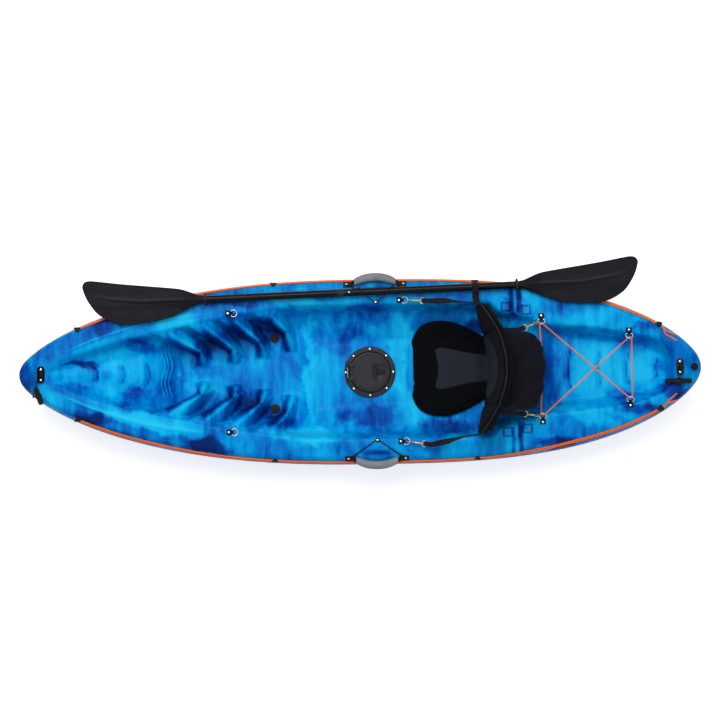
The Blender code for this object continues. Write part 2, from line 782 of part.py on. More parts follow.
def build_hull():
    hull = new_object("hull", loft("hull", [hull_ring(x) for x in hull_stations()], 30), hull_plastic())
    for side in (1, -1):
        for number, brace in enumerate(BRACES):
            for part, mesh in zip(("ridge", "nose"), brace_meshes(brace, side)):
                guide = new_object(f"brace_{part}_guide_{number}_{side}", mesh, hull_plastic())
                boolean(hull, guide, "UNION")
    cavity_mesh = loft("cavity", [hull_ring(x, HULL_WALL) for x in cavity_stations()])
    cavity = new_object("cavity_guide", cavity_mesh, hull_plastic())
    x, y = SCUPPER_PLACE
    for side in (1, -1):
        post = cylinder_cutter(
            f"post_guide_{side}", SCUPPER_POST, -0.02, 0.30, Matrix.Translation((x, side * y, 0)),
        )
        boolean(cavity, post, "DIFFERENCE")
        for number, (ix, iy) in enumerate(INSERT_PLACES):
            seat = deck_frame(ix, side * iy, lift=0)
            boss = cylinder_cutter(
                f"boss_guide_{number}_{side}", INSERT_BOSS, -INSERT_BOSS_DEPTH, 0.02, seat, 12,
            )
            boolean(cavity, boss, "DIFFERENCE")
    drain_seat = deck_frame(DRAIN_PLACE, 0, lift=0)
    pad = cylinder_cutter("drain_pad_guide", DRAIN_BOSS, -0.007, DRAIN_PAD, drain_seat, 20)
    boolean(hull, pad, "UNION")
    drain_boss = cylinder_cutter("drain_boss_guide", DRAIN_BOSS, -0.018, 0.03, drain_seat, 20)
    boolean(cavity, drain_boss, "DIFFERENCE")
    boolean(hull, cavity, "DIFFERENCE")
    for side in (1, -1):
        matrix = Matrix.Translation((x, side * y, 0))
        bore = cylinder_cutter(
            f"scupper_guide_{side}", SCUPPER_BORE * 0.85, -0.02, 0.20, matrix, 16, SCUPPER_BORE,
        )
        boolean(hull, bore, "DIFFERENCE")
        for number, (ix, iy) in enumerate(INSERT_PLACES):
            seat = deck_frame(ix, side * iy, lift=0)
            outline = rounded_outline(INSERT_PAD, INSERT_PAD, 0.005, 2)
            pocket_mesh = plate("pocket", outline, -INSERT_PAD_DEPTH, 0.01)
            pocket = place(new_object(f"pocket_guide_{number}_{side}", pocket_mesh, hull_plastic()), seat)
            boolean(hull, pocket, "DIFFERENCE")
            hole = cylinder_cutter(f"insert_guide_{number}_{side}", INSERT_BORE, -0.018, 0.01, seat, 12)
            boolean(hull, hole, "DIFFERENCE")
    hatch_at = Matrix.Translation(floor_point(HATCH_PLACE))
    boolean(hull, cylinder_cutter("hatch_guide", HATCH_HOLE, -0.02, 0.02, hatch_at, 40), "DIFFERENCE")
    boolean(hull, cylinder_cutter("drain_guide", DRAIN_BORE, -0.04, 0.02, drain_seat, 20), "DIFFERENCE")
    return hull


# Shapes shared by the fittings

def section_frames(path, closed=False):
    """Directions along a path, one for each of its points."""
    count = len(path)
    directions = []
    for i in range(count):
        before = path[i - 1] if closed or i > 0 else path[i]
        after = path[(i + 1) % count] if closed or i < count - 1 else path[i]
        directions.append((after - before).normalized())
    return directions


def swept(name, path, radii, sides=8, closed=False, smooth_angle=50.0):
    """A round bar along a path, with a radius at each point or one for all."""
    path = [Vector(p) for p in path]
    sizes = radii if isinstance(radii, (list, tuple)) else [radii] * len(path)
    directions = section_frames(path, closed)
    normal = directions[0].orthogonal().normalized()
    rings = []
    for point, size, along in zip(path, sizes, directions):
        normal = (normal - along * normal.dot(along)).normalized()
        across = along.cross(normal)
        rings.append([
            point + (normal * math.cos(math.tau * i / sides) + across * math.sin(math.tau * i / sides)) * size
            for i in range(sides)
        ])
    return loft(name, rings, smooth_angle, closed)


def ribbon(name, path, width, thick, ups, smooth_angle=40.0):
    """A flat band along a path. ups gives the way its face looks, one for each point or one for all."""
    path = [Vector(p) for p in path]
    faces_up = ups if isinstance(ups, list) else [ups] * len(path)
    widths = width if isinstance(width, list) else [width] * len(path)
    depths = thick if isinstance(thick, list) else [thick] * len(path)
    rings = []
    for point, along, up, wide, deep in zip(path, section_frames(path), faces_up, widths, depths):
        across = Vector(up).cross(along).normalized()
        normal = along.cross(across)
        corners = (
            (-0.5, -0.3), (-0.44, -0.5), (0.44, -0.5), (0.5, -0.3), (0.5, 0.3), (0.44, 0.5), (-0.44, 0.5),
            (-0.5, 0.3),
        )
        rings.append([point + across * wide * a + normal * deep * b for a, b in corners])
    return loft(name, rings, smooth_angle)


def united(name, meshes, surface, matrix=None):
    """One piece from several overlapping closed meshes."""
    piece = new_object(name, meshes[0], surface)
    for number, mesh in enumerate(meshes[1:]):
        guide = new_object(f"{name}_guide_{number}", mesh, surface)
        boolean(piece, guide, "UNION")
        if matrix is not None:
            place(guide, matrix)
    if matrix is not None:
        place(piece, matrix)
    return piece


def screw_head(x, y, base, radius=SCREW_HEAD, height=0.0022, count=7):
    """A low domed screw head that starts a little inside what it holds."""
    profile = [(radius, base - 0.0006), (radius, base + height * 0.5), (radius * 0.6, base + height)]
    return move_mesh(turned("screw", profile, count), Matrix.Translation((x, y, 0)))


def lying_on_x(mesh):
    """Turns a mesh made round Z so that it lies round X, its Z end towards +X."""
    return move_mesh(mesh, Matrix.Rotation(math.radians(90), 4, "Y"))


def deck_surface(x, y):
    """Height of the deck or of a well's floor at a point, read off the section."""
    stops = [(py, pz) for py, pz in half_section(x)[8:]][::-1]
    return blend_through(stops, abs(y))


# Hatch

def build_hatch():
    seat = Matrix.Translation(floor_point(HATCH_PLACE, GAP))
    count = 28
    edge = HATCH_FLANGE
    depth = -HATCH_COLLAR_DEPTH
    ledge = -HATCH_LEDGE_DEPTH
    wall = 0.003
    rim_profile = [
        (HATCH_RADIUS, 0), (HATCH_RADIUS, edge * 0.6), (HATCH_RADIUS - 0.003, edge), (HATCH_MOUTH, edge),
        (HATCH_MOUTH, ledge), (HATCH_LEDGE, ledge), (HATCH_LEDGE, ledge - wall), (
            HATCH_COLLAR - wall, ledge - wall,
        ),
        (HATCH_COLLAR - wall, depth), (HATCH_COLLAR, depth), (HATCH_COLLAR, 0),
    ]
    meshes = [turned("hatch_rim", rim_profile, count, ring=True)]
    for i in range(HATCH_SCREWS):
        angle = math.tau * i / HATCH_SCREWS
        x, y = HATCH_SCREW_CIRCLE * math.cos(angle), HATCH_SCREW_CIRCLE * math.sin(angle)
        if x > -HATCH_SCREW_CIRCLE * 0.99:
            meshes.append(screw_head(x, y, edge, 0.0042, 0.0018, 6))
    for side in (1, -1):
        low, high = edge - 0.002, HINGE_HEIGHT + HINGE_PIN + 0.002
        outline = [(-0.0035, -0.003), (0.0035, -0.003), (0.0035, 0.003), (-0.0035, 0.003)]
        ear = plate(
            "ear", [(x - HINGE_OFFSET, y + side * (HINGE_SPAN / 2 - 0.004)) for x, y in outline], low, high
        )
        meshes.append(ear)
    rim = united("hatch_rim", meshes, deck_plastic(), seat)
    pin_bore = turned("pin_bore", [(HINGE_PIN + RUNNING, -HINGE_SPAN), (HINGE_PIN + RUNNING, HINGE_SPAN)], 12)
    along_y = Matrix.Translation((-HINGE_OFFSET, 0, HINGE_HEIGHT)) @ Matrix.Rotation(math.radians(90), 4, "X")
    bore = place(new_object("hinge_bore_guide", pin_bore, deck_plastic()), seat @ along_y)
    boolean(rim, bore, "DIFFERENCE")

    seal_radius = (LID_RADIUS + HATCH_MOUTH) / 2 - HATCH_SEAL
    skirt = -HATCH_LEDGE_DEPTH + 2 * GAP + 0.0034
    seal_wire = 0.0017
    seal_path = circle(seal_radius, count, (ledge + skirt) / 2)
    seal = swept("hatch_seal", seal_path, seal_wire, 5, closed=True)
    place(new_object("hatch_seal", seal, rubber()), seat)

    top = HATCH_FLANGE + 0.0025
    lid_profile = [
        (0.0, top - LID_PLATE), (LID_RADIUS - 0.005, top - LID_PLATE), (LID_RADIUS - 0.005, skirt),
        (LID_RADIUS, skirt),
        (LID_RADIUS, edge * 0.8), (LID_RADIUS - 0.006, top - 0.0008), (0.0, top),
    ]
    lid_meshes = [solid_of_revolution("hatch_lid", lid_profile, count)]
    for side in (1, -1):
        arm = [
            (-HINGE_OFFSET, -0.007), (-LID_RADIUS + 0.020, -0.010), (-LID_RADIUS + 0.020, 0.010),
            (-HINGE_OFFSET, 0.007),
        ]
        offset = side * 0.027
        lid_meshes.append(plate("lid_arm", [(x, y + offset) for x, y in arm], edge + 0.0009, top + 0.003))
        knuckle = turned("knuckle", [(0.0042, -0.007), (0.0042, 0.007)], 12)
        turn = Matrix.Translation((-HINGE_OFFSET, offset, HINGE_HEIGHT)) @ Matrix.Rotation(
            math.radians(90), 4, "X",
        )
        lid_meshes.append(move_mesh(knuckle, turn))
    lid = united("hatch_lid", lid_meshes, deck_plastic(), seat)
    boolean(lid, bore, "DIFFERENCE")
    latch_place = Matrix.Translation((LATCH_OFFSET, 0, 0))
    spindle_hole = turned(
        "spindle_hole", [(LATCH_SPINDLE + RUNNING, top - 0.0045), (LATCH_SPINDLE + RUNNING, top + 0.01)], 12,
    )
    boolean(
        lid, place(new_object("spindle_guide", spindle_hole, deck_plastic()), seat @ latch_place),
        "DIFFERENCE",
    )

    pin = turned("hatch_hinge_pin", [(HINGE_PIN, -HINGE_SPAN / 2), (HINGE_PIN, HINGE_SPAN / 2)], 10)
    place(new_object("hatch_hinge_pin", pin, steel()), seat @ along_y)

    half_bar, half_width, stem, half_stem = LATCH_BAR / 2, 0.0075, LATCH_STEM, 0.011
    latch_outline = [
        (-half_width, -half_bar + 0.004), (-half_width + 0.003, -half_bar), (half_width - 0.003, -half_bar),
        (half_width, -half_bar + 0.004), (half_width, -half_stem), (stem - 0.004, -half_stem * 0.75),
        (stem, -half_stem * 0.4),
        (stem, half_stem * 0.4), (stem - 0.004, half_stem * 0.75), (half_width, half_stem), (
            half_width, half_bar - 0.004,
        ),
        (half_width - 0.003, half_bar), (-half_width + 0.003, half_bar), (-half_width, half_bar - 0.004),
    ]
    latch_plate = plate("hatch_latch", latch_outline, top + GAP, top + 0.0065)
    spindle = turned("spindle", [(LATCH_SPINDLE, top - 0.0040), (LATCH_SPINDLE, top + 0.003)], 12)
    united("hatch_latch", [latch_plate, spindle], black_plastic(), seat @ latch_place)


def solid_of_revolution(name, profile, count, smooth_angle=35.0):
    """Turns a profile that starts and ends on the axis into one solid with single poles."""
    points = [Vector((0, 0, profile[0][1]))]
    inner = profile[1:-1]
    for radius, height in inner:
        points += circle(radius, count, height)
    points.append(Vector((0, 0, profile[-1][1])))
    faces = [(0, 1 + (j + 1) % count, 1 + j) for j in range(count)]
    for i in range(len(inner) - 1):
        here, there = 1 + i * count, 1 + (i + 1) * count
        faces += [
            (here + j, here + (j + 1) % count, there + (j + 1) % count, there + j) for j in range(count)
        ]
    last = 1 + (len(inner) - 1) * count
    faces += [(len(points) - 1, last + j, last + (j + 1) % count) for j in range(count)]
    return mesh_of(name, points, faces, smooth_angle)


# Plugs

def build_scupper_plugs():
    x, y = SCUPPER_PLACE
    for side, word in ((1, "starboard"), (-1, "port")):
        low = -0.022
        profile = [
            (0.0, low), (SCUPPER_SHANK * 0.84, low), (SCUPPER_SHANK, -0.001), (SCUPPER_SHANK, 0.0), (SCUPPER_CAP, 0.0),
            (SCUPPER_CAP, 0.003), (SCUPPER_CAP - 0.003, 0.005), (0.007, 0.005), (0.006, 0.009), (0.0, 0.009),
        ]
        plug = new_object(f"scupper_plug_{word}", solid_of_revolution("scupper_plug", profile, 16), rubber())
        place(plug, Matrix.Translation((x, side * y, FOOTWELL_FLOOR + GAP)))


def build_drain_plug():
    seat = deck_frame(DRAIN_PLACE, 0, lift=DRAIN_PAD + GAP)
    shank = DRAIN_BORE - 0.0006
    seal_high = DRAIN_SEAL
    seal_profile = [
        (DRAIN_CAP - 0.0008, 0), (DRAIN_CAP - 0.0008, seal_high), (shank + RUNNING, seal_high),
        (shank + RUNNING, 0),
    ]
    place(
        new_object("drain_plug_seal", turned("drain_plug_seal", seal_profile, 16, ring=True), rubber()), seat,
    )
    base = seal_high + GAP
    profile = [
        (0.0, -0.018), (shank * 0.85, -0.018), (shank, -0.016), (shank, base), (DRAIN_CAP, base), (
            DRAIN_CAP, base + 0.004,
        ),
        (DRAIN_CAP - 0.002, base + 0.006), (0.0, base + 0.006),
    ]
    plug = new_object("drain_plug", solid_of_revolution("drain_plug", profile, 16), black_plastic())
    slot_mesh = plate(
        "coin_slot", [(-0.008, -0.0012), (0.008, -0.0012), (0.008, 0.0012), (-0.008, 0.0012)], base + 0.003,
        base + 0.01,
    )
    slot = place(new_object("coin_slot_guide", slot_mesh, black_plastic()), seat)
    boolean(place(plug, seat), slot, "DIFFERENCE")


# Eyes and toggles at the ends

def build_pad_eye(name, x):
    seat = deck_frame(x, 0, heading=90)
    base = plate(
        "pad_eye", rounded_outline(PAD_EYE_LENGTH, PAD_EYE_WIDTH, PAD_EYE_WIDTH / 2 - 0.0005, 4), 0,
        PAD_EYE_BASE,
    )
    arch_path = [
        (
            EYE_RADIUS * math.cos(math.pi * i / 8), 0,
            PAD_EYE_BASE - 0.0015 + EYE_RADIUS * math.sin(math.pi * i / 8),
        )
        for i in range(9)
    ]
    meshes = [base, swept("arch", arch_path, EYE_BAR, 8)]
    meshes += [screw_head(side * PAD_EYE_SCREWS / 2, 0, PAD_EYE_BASE) for side in (1, -1)]
    united(name, meshes, black_plastic(), seat)


def toggle_mesh(length):
    """A carrying toggle turned about its own X axis, thicker at the middle where the cord enters."""
    half = length / 2
    profile = [
        (0.0, -half), (0.0075, -half + 0.0005), (0.0098, -half + 0.004), (0.0102, -half * 0.62), (
            TOGGLE_RADIUS, -half * 0.30,
        ),
        (TOGGLE_RADIUS, half * 0.30), (0.0102, half * 0.62), (0.0098, half - 0.004), (0.0075, half - 0.0005),
        (0.0, half),
    ]
    return lying_on_x(solid_of_revolution("toggle", profile, 12))


def build_toggle(end, eye_x, length, toggle_at, axis, enter):
    """A toggle on its cord. The cord is knotted behind the eye, and enter is the way it goes into the toggle."""
    toggle = new_object(f"{end}_toggle", toggle_mesh(length), black_plastic())
    placement = frame_at(toggle_at, axis, -Vector(enter))
    place(toggle, placement)
    hole = turned("cord_hole", [(TOGGLE_CORD + RUNNING, -0.006), (TOGGLE_CORD + RUNNING, 0.03)], 8)
    boolean(
        toggle, place(new_object(f"{end}_cord_hole_guide", hole, black_plastic()), placement), "DIFFERENCE",
    )
    eye = deck_frame(eye_x, 0)
    high = EYE_CORD_HEIGHT
    near = [
        (0.0130, 0, high), (0.0118, 0, high), (0.0090, 0, high), (0, 0, high), (-0.008, -0.001, high),
        (-0.012, -0.010, high),
    ]
    stops = [eye @ Vector(p) for p in near]
    enter = Vector(enter)
    entry = Vector(toggle_at) - enter * (TOGGLE_RADIUS + 0.004)
    stops += [
        (stops[-1] + entry) / 2 + Vector((0, 0, 0.002)), entry - enter * 0.005, entry,
        Vector(toggle_at) + enter * 0.003,
    ]
    knot = TOGGLE_CORD * 2.0
    sizes = [knot * 0.6, knot, TOGGLE_CORD * 1.2] + [TOGGLE_CORD] * 7
    new_object(f"{end}_toggle_cord", swept("toggle_cord", stops, sizes, 8), webbing())


def bow_toggle_place():
    """The bow toggle tips over the edge of the deck, touching its corner."""
    here, there = (half_section(BOW_TOGGLE_X + step)[10] for step in (-0.004, 0.004))
    edge = Vector((0.008, here[0] - there[0], there[1] - here[1])).normalized()
    corner = Vector((BOW_TOGGLE_X, -(here[0] + there[0]) / 2, (here[1] + there[1]) / 2))
    axis = Vector(BOW_TOGGLE_AXIS).normalized()
    normal = edge.cross(axis).normalized()
    if normal.z < 0:
        normal = -normal
    return corner + normal * (TOGGLE_RADIUS + 2 * GAP) - axis * BOW_TOGGLE_SHIFT, axis


def build_end_fittings():
    build_pad_eye("bow_pad_eye", BOW_PAD_EYE)
    build_pad_eye("stern_pad_eye", STERN_PAD_EYE)
    stern_at = deck_point(STERN_TOGGLE[0], STERN_TOGGLE[1], TOGGLE_RADIUS + GAP)
    slope = deck_slope(STERN_TOGGLE[0])
    stern_axis = Vector((math.cos(slope), 0, math.sin(slope)))
    build_toggle("stern", STERN_PAD_EYE, STERN_TOGGLE_LENGTH, stern_at, stern_axis, (0, -1, 0))
    bow_at, bow_axis = bow_toggle_place()
    enter = Vector((1, 0, 0)) - bow_axis * bow_axis.x
    build_toggle("bow", BOW_PAD_EYE, BOW_TOGGLE_LENGTH, bow_at, bow_axis, enter.normalized())


# Tabs and rings

def ring_path():
    """A D-shaped ring: its bar lies on the local Y axis and its bow reaches along +X."""
    centre = RING_RADIUS - RING_BAR_OFFSET
    angle = math.acos(-centre / RING_RADIUS) if centre < RING_RADIUS else math.pi
    count = 10
    return [
        Vector(
            (
                centre + RING_RADIUS * math.cos(-angle + 2 * angle * i / count),
                RING_RADIUS * math.sin(-angle + 2 * angle * i / count), 0,
            ),
        )
        for i in range(count + 1)
    ]


def tab_meshes(with_bore):
    """A square tab with its screw and the sleeve that holds the ring's bar."""
    outline = [(x - TAB_SIZE / 2 - 0.002, y) for x, y in rounded_outline(TAB_SIZE, TAB_SIZE, 0.003, 1)]
    meshes = [plate("tab", outline, 0, TAB_THICK)]
    if with_bore:
        sleeve = [
            (SLEEVE_RADIUS, -SLEEVE_LENGTH / 2), (SLEEVE_RADIUS, SLEEVE_LENGTH / 2),
            (SLEEVE_BORE, SLEEVE_LENGTH / 2), (SLEEVE_BORE, -SLEEVE_LENGTH / 2),
        ]
        mesh = turned("sleeve", sleeve, 8, ring=True)
    else:
        mesh = turned("sleeve", [(SLEEVE_RADIUS, -SLEEVE_LENGTH / 2), (SLEEVE_RADIUS, SLEEVE_LENGTH / 2)], 8)
    turn = Matrix.Translation((0, 0, SLEEVE_RADIUS)) @ Matrix.Rotation(math.radians(90), 4, "X")
    meshes.append(move_mesh(mesh, turn))
    meshes.append(screw_head(-TAB_SIZE / 2 - 0.004, 0, TAB_THICK))
    return meshes


def ring_frame(seat, tilt):
    return seat @ Matrix.Translation((0, 0, SLEEVE_RADIUS)) @ Matrix.Rotation(math.radians(-tilt), 4, "Y")


def build_free_ring(word, side):
    x, y = FRONT_RING
    seat = deck_frame(x + TAB_SIZE / 2 + 0.002, side * y)
    tab = united(f"front_ring_tab_{word}", tab_meshes(True), webbing(), seat)
    ring = new_object(f"front_ring_{word}", swept("ring", ring_path(), RING_WIRE, 5, closed=True), steel())
    place(ring, ring_frame(seat, FREE_RING_TILT))
    return tab, ring


def loaded_ring_seat(place_xy, side, heading):
    x, y = place_xy
    outward = Matrix.Rotation(math.radians(heading), 4, "Z") @ Vector((TAB_SIZE / 2 + 0.002, 0, 0))
    return deck_frame(x + outward.x, side * y + outward.y, heading)


def loaded_rings():
    """Name, seat and tilt of the six rings that hold straps or the bungee."""
    rings = []
    for side, word in ((1, "starboard"), (-1, "port")):
        rings.append((f"side_ring_{word}", loaded_ring_seat(SIDE_RING, side, side * SIDE_RING_HEADING)))
        rings.append((f"tank_front_ring_{word}", loaded_ring_seat(TANK_FRONT_RING, side, -side * 90)))
        rings.append((f"tank_rear_ring_{word}", loaded_ring_seat(TANK_REAR_RING, side, -side * 90)))
    return rings


def build_rings():
    for side, word in ((1, "starboard"), (-1, "port")):
        build_free_ring(word, side)
    for name, seat in loaded_rings():
        ring = swept("ring", ring_path(), RING_WIRE, 5, closed=True)
        tilt = Matrix.Translation((0, 0, SLEEVE_RADIUS)) @ Matrix.Rotation(
            math.radians(-LOADED_RING_TILT), 4, "Y",
        )
        united(name, tab_meshes(False) + [move_mesh(ring, tilt)], webbing(), seat)


def ring_apex(name):
    """The middle of the wire at the far side of a loaded ring, and the ring's own directions there."""
    seat = dict(loaded_rings())[name]
    frame = ring_frame(seat, LOADED_RING_TILT)
    reach = 2 * RING_RADIUS - RING_BAR_OFFSET
    return frame @ Vector((reach, 0, 0)), frame.to_3x3()


# Snap hooks

def hook_frame(ring_name, target):
    """A hook holds the ring's wire just ahead of its origin and points along +X to its strap."""
    frame = ring_frame(dict(loaded_rings())[ring_name], LOADED_RING_TILT)
    centre = Vector((RING_RADIUS - RING_BAR_OFFSET, 0, 0))
    toward = frame.inverted() @ Vector(target) - centre
    angle = math.atan2(toward.y, toward.x)
    contact = frame @ (centre + Vector((math.cos(angle), math.sin(angle), 0)) * RING_RADIUS)
    tangent = frame.to_3x3() @ Vector((-math.sin(angle), math.cos(angle), 0))
    along = (Vector(target) - contact).normalized()
    up = along.cross(tangent)
    if up.z < 0:
        up = -up
    return frame_at(contact + along * HOOK_SEAT, along, up)


def build_snap_hook(word, matrix):
    r = HOOK_RADIUS
    path = [
        (0.0030, 0, r), (0.0, 0, r), (-r * 0.71, 0, r * 0.71), (-r, 0, 0), (-r * 0.71, 0, -r * 0.71), (0.001, 0, -r),
        (0.010, 0, -r * 0.72), (0.017, 0, 0), (0.020, 0, 0), (0.042, 0, 0), (0.043, 0, 0), (
            EYE_START + 0.001, 0, 0,
        ),
    ]
    wire = HOOK_WIRE
    sizes = [wire] * 6 + [wire * 1.1, wire * 1.2, HOOK_BODY, HOOK_BODY, wire, wire]
    eye_path = [(EYE_START + x, y, 0) for x, y in (
        (0.0, -0.003), (0.0, 0.003), (0.004, EYE_HALF_WIDTH), (EYE_REACH - 0.001, EYE_HALF_WIDTH), (
            EYE_REACH, EYE_HALF_WIDTH - 0.001,
        ),
        (EYE_REACH, 1 / 1000 - EYE_HALF_WIDTH), (EYE_REACH - 0.001, -EYE_HALF_WIDTH), (
            0.004, -EYE_HALF_WIDTH,
        ),
    )]
    eye = swept("swivel_eye", eye_path, EYE_WIRE, 6, closed=True)
    united(f"snap_hook_{word}", [swept("hook", path, sizes, 6), eye], brass(), matrix)
    bolt = [(0.0, 0.0036), (TRIGGER_RADIUS, 0.0036), (TRIGGER_RADIUS, 0.0205), (0.0, 0.0205)]
    bolt_mesh = move_mesh(
        lying_on_x(solid_of_revolution("trigger", bolt, 8)), Matrix.Translation((0, 0, TRIGGER_HEIGHT)),
    )
    nub = move_mesh(
        turned("nub", [(0.0013, 0.0), (0.0020, 0.0050)], 6), Matrix.Translation((0.0165, 0, TRIGGER_HEIGHT)),
    )
    united(f"snap_trigger_{word}", [bolt_mesh, nub], brass(), matrix)


def hook_targets():
    """Where each strap takes over from its hook."""
    front, rear = SIDE_DECK_HEIGHT + STRAP_LIFT, SIDE_DECK_HEIGHT + REAR_STRAP_LIFT
    return {
        "front_starboard": ("side_ring_starboard", (*FRONT_STRAP_START[0], front)),
        "front_port": ("side_ring_port", (*FRONT_STRAP_START[1], front)),
        "rear_starboard": ("tank_front_ring_starboard", (*REAR_STRAP_START[0], rear)),
        "rear_port": ("tank_front_ring_port", (*REAR_STRAP_START[1], rear)),
    }


def build_hooks():
    for word, (ring, target) in hook_targets().items():
        build_snap_hook(word, hook_frame(ring, target))


# Carrying handles and paddle keepers

def shoulder_frame(x, side, inset):
    """Placement on the sloping shoulder, Z square to the slope and X along the hull."""
    half = half_section(x)
    track, shoulder = half[9], half[10]
    share = (half_breadth(x) - inset - shoulder[0]) / (track[0] - shoulder[0])
    y = shoulder[0] + (track[0] - shoulder[0]) * share
    z = shoulder[1] + (track[1] - shoulder[1]) * share
    slope = Vector((0, shoulder[1] - track[1], track[0] - shoulder[0])).normalized()
    normal = Vector((0, side * slope.y, slope.z))
    return frame_at((x, side * y, z), (1, 0, 0), normal), normal


def handle_path(side):
    """Middle line of the handle's band between its two pads."""
    seat, normal = shoulder_frame(HANDLE_PLACE, side, HANDLE_INSET)
    base = seat.to_translation() + normal * (HANDLE_BAND / 2 + GAP)
    half = HANDLE_SPACING / 2
    path = [base + Vector((u * half, side * out, up)) for u, out, up in HANDLE_SHAPE]
    blend = [1.0, 1.0, 0.5, 0.0, 0.0, 0.0, 0.0, 0.0, 0.5, 1.0, 1.0]
    ups = [(normal * b + Vector((0, 0, 1)) * (1 - b)).normalized() for b in blend]
    return path, ups


def build_handles():
    for side, word in ((1, "starboard"), (-1, "port")):
        path, ups = handle_path(side)
        ends = HANDLE_PAD / 2
        band_path = [path[0] - Vector((ends, 0, 0)), *path, path[-1] + Vector((ends, 0, 0))]
        band_ups = [ups[0], *ups, ups[-1]]
        widths = [HANDLE_PAD] * 3 + [HANDLE_BAND_WIDTH] * 7 + [HANDLE_PAD] * 3
        meshes = [ribbon("handle_strap", band_path, widths, HANDLE_BAND, band_ups)]
        seat = shoulder_frame(HANDLE_PLACE, side, HANDLE_INSET)[0]
        for end in (-1, 1):
            head = screw_head(0, 0, HANDLE_BAND + GAP)
            meshes.append(move_mesh(head, seat @ Matrix.Translation((end * HANDLE_SPACING / 2, 0, 0))))
        united(f"handle_strap_{word}", meshes, webbing())
        rings = []
        grip_count = 8
        centre = path[5]
        for i in range(grip_count):
            u = -1 + 2 * i / (grip_count - 1)
            x = centre.x + u * GRIP_LENGTH / 2
            y = blend_through([(p.x, p.y) for p in path], x)
            z = blend_through([(p.x, p.z) for p in path], x)
            swell = 0.68 + 0.32 * math.sqrt(max(0.0, 1 - u ** 4))
            ring = [
                Vector(
                    (x, y + GRIP_WIDTH / 2 * swell * math.cos(a), z + GRIP_THICK / 2 * swell * math.sin(a))
                )
                for a in [math.tau * k / 10 for k in range(10)]
            ]
            rings.append(ring)
        grip = new_object(f"handle_grip_{word}", loft("handle_grip", rings), grey_grip())
        slot = ribbon(
            "slot", path[1:-1], HANDLE_BAND_WIDTH + 3 * RUNNING, HANDLE_BAND + 3 * RUNNING, ups[1:-1],
        )
        boolean(grip, new_object(f"grip_slot_guide_{word}", slot, grey_grip()), "DIFFERENCE")


def build_paddle_keepers():
    for side, word in ((1, "starboard"), (-1, "port")):
        bx, by = KEEPER_BUTTON
        deck = sheer(bx)
        low = deck + KEEPER_RADIUS + GAP
        end_height = deck + 0.0045
        knot = KEEPER_RADIUS * 1.7
        halves = []
        for way in (-1, 1):
            half = [
                (KEEPER_REACH + 0.002, KEEPER_END + 0.0015, end_height + 0.001),
                (KEEPER_REACH, KEEPER_END, end_height),
            ]
            if side > 0:
                reach = SHAFT_RADIUS + KEEPER_RADIUS + 0.0008
                for step in range(7):
                    along = 0.064 - 0.005 * step
                    shaft = paddle_axis_at(bx + way * along)
                    angle = math.radians(6 + 28 * step)
                    half.append((along, shaft.y + reach * math.cos(angle), shaft.z + reach * math.sin(angle)))
            else:
                half.append((0.045, by + 0.028, low + 0.001))
            half += [(0.0065, by + 0.001, low + 0.0005), (0.0045, by - 0.0055, low + 0.0005)]
            halves.append([Vector((bx + way * dx, side * y, z)) for dx, y, z in half])
        path = halves[0] + [Vector((bx, side * (by - 0.0072), low + 0.0005))] + halves[1][::-1]
        sizes = [knot, knot * 0.8] + [KEEPER_RADIUS] * (len(path) - 4) + [knot * 0.8, knot]
        cord = swept("paddle_bungee", path, sizes, 5)
        button = turned(
            "keeper_button",
            [(0.0048, 0.0), (0.0048, 0.0045), (0.0085, 0.0050), (0.0085, 0.0065), (0.004, 0.0080)], 10,
        )
        button = move_mesh(button, Matrix.Translation((bx, side * by, deck + GAP)))
        united(f"paddle_bungee_{word}", [button, cord], rubber())


# Cords along the hull

def line_point(x, side, across):
    """A point for the rigging line on the shoulder's slope; across runs down the slope."""
    half = half_section(x)
    track, shoulder = half[9], half[10]
    slope = Vector((0, track[0] - shoulder[0], track[1] - shoulder[1])).normalized()
    normal = Vector((0, -slope.z, slope.y))
    base = Vector((x, track[0], track[1])) - slope * across + normal * (LINE_RADIUS + LINE_CLEARANCE)
    return Vector((base.x, side * base.y, base.z))


def build_perimeter_lines():
    """Each line runs aft along the shoulder and back beside itself, tied at the stern."""
    stations = [x for x in hull_stations() if LINE_BOW + 0.02 < x < LINE_STERN - 0.02]
    kept = []
    for x in [LINE_BOW + 0.01, *stations, LINE_STERN]:
        if not kept or x - kept[-1] > (0.030 if abs(x) > 0.9 else 0.085):
            kept.append(x)
    for side, word in ((1, "starboard"), (-1, "port")):
        outer = [line_point(x, side, LINE_RADIUS) for x in kept]
        inner = [line_point(x, side, LINE_RADIUS * 3.4) for x in kept]
        turn = line_point(LINE_BOW, side, LINE_RADIUS * 2.2)
        tails = LINE_TAILS[0 if side > 0 else 1]
        lift = LINE_RADIUS + 3 * LINE_CLEARANCE
        ends = [[deck_point(LINE_STERN + x, side * y, lift) for x, y in tail] for tail in tails]
        corners = []
        for x in LINE_CORNERS:
            shoulder = half_section(x)[10]
            corners.append(
                Vector((x, side * (shoulder[0] + 0.002), shoulder[1] + LINE_RADIUS + 4 * LINE_CLEARANCE))
            )
        path = ends[0][::-1] + [corners[0]] + outer[::-1] + [turn] + inner + [corners[1]] + ends[1]
        tube(f"perimeter_line_{word}", path, LINE_RADIUS, orange_cord(), 1)


def bungee_corner(ring):
    """Points round the wire of a ring, from above its outer side through the ring to below it."""
    apex, turn = ring_apex(ring)
    reach = RING_WIRE + BUNGEE_RADIUS + 2 * GAP
    outward, up = turn @ Vector((1, 0, 0)), turn @ Vector((0, 0, 1))
    points = []
    for step in range(7):
        angle = math.radians(45 + 45 * step)
        points.append(apex + (outward * math.cos(angle) + up * math.sin(angle)) * reach)
    return points


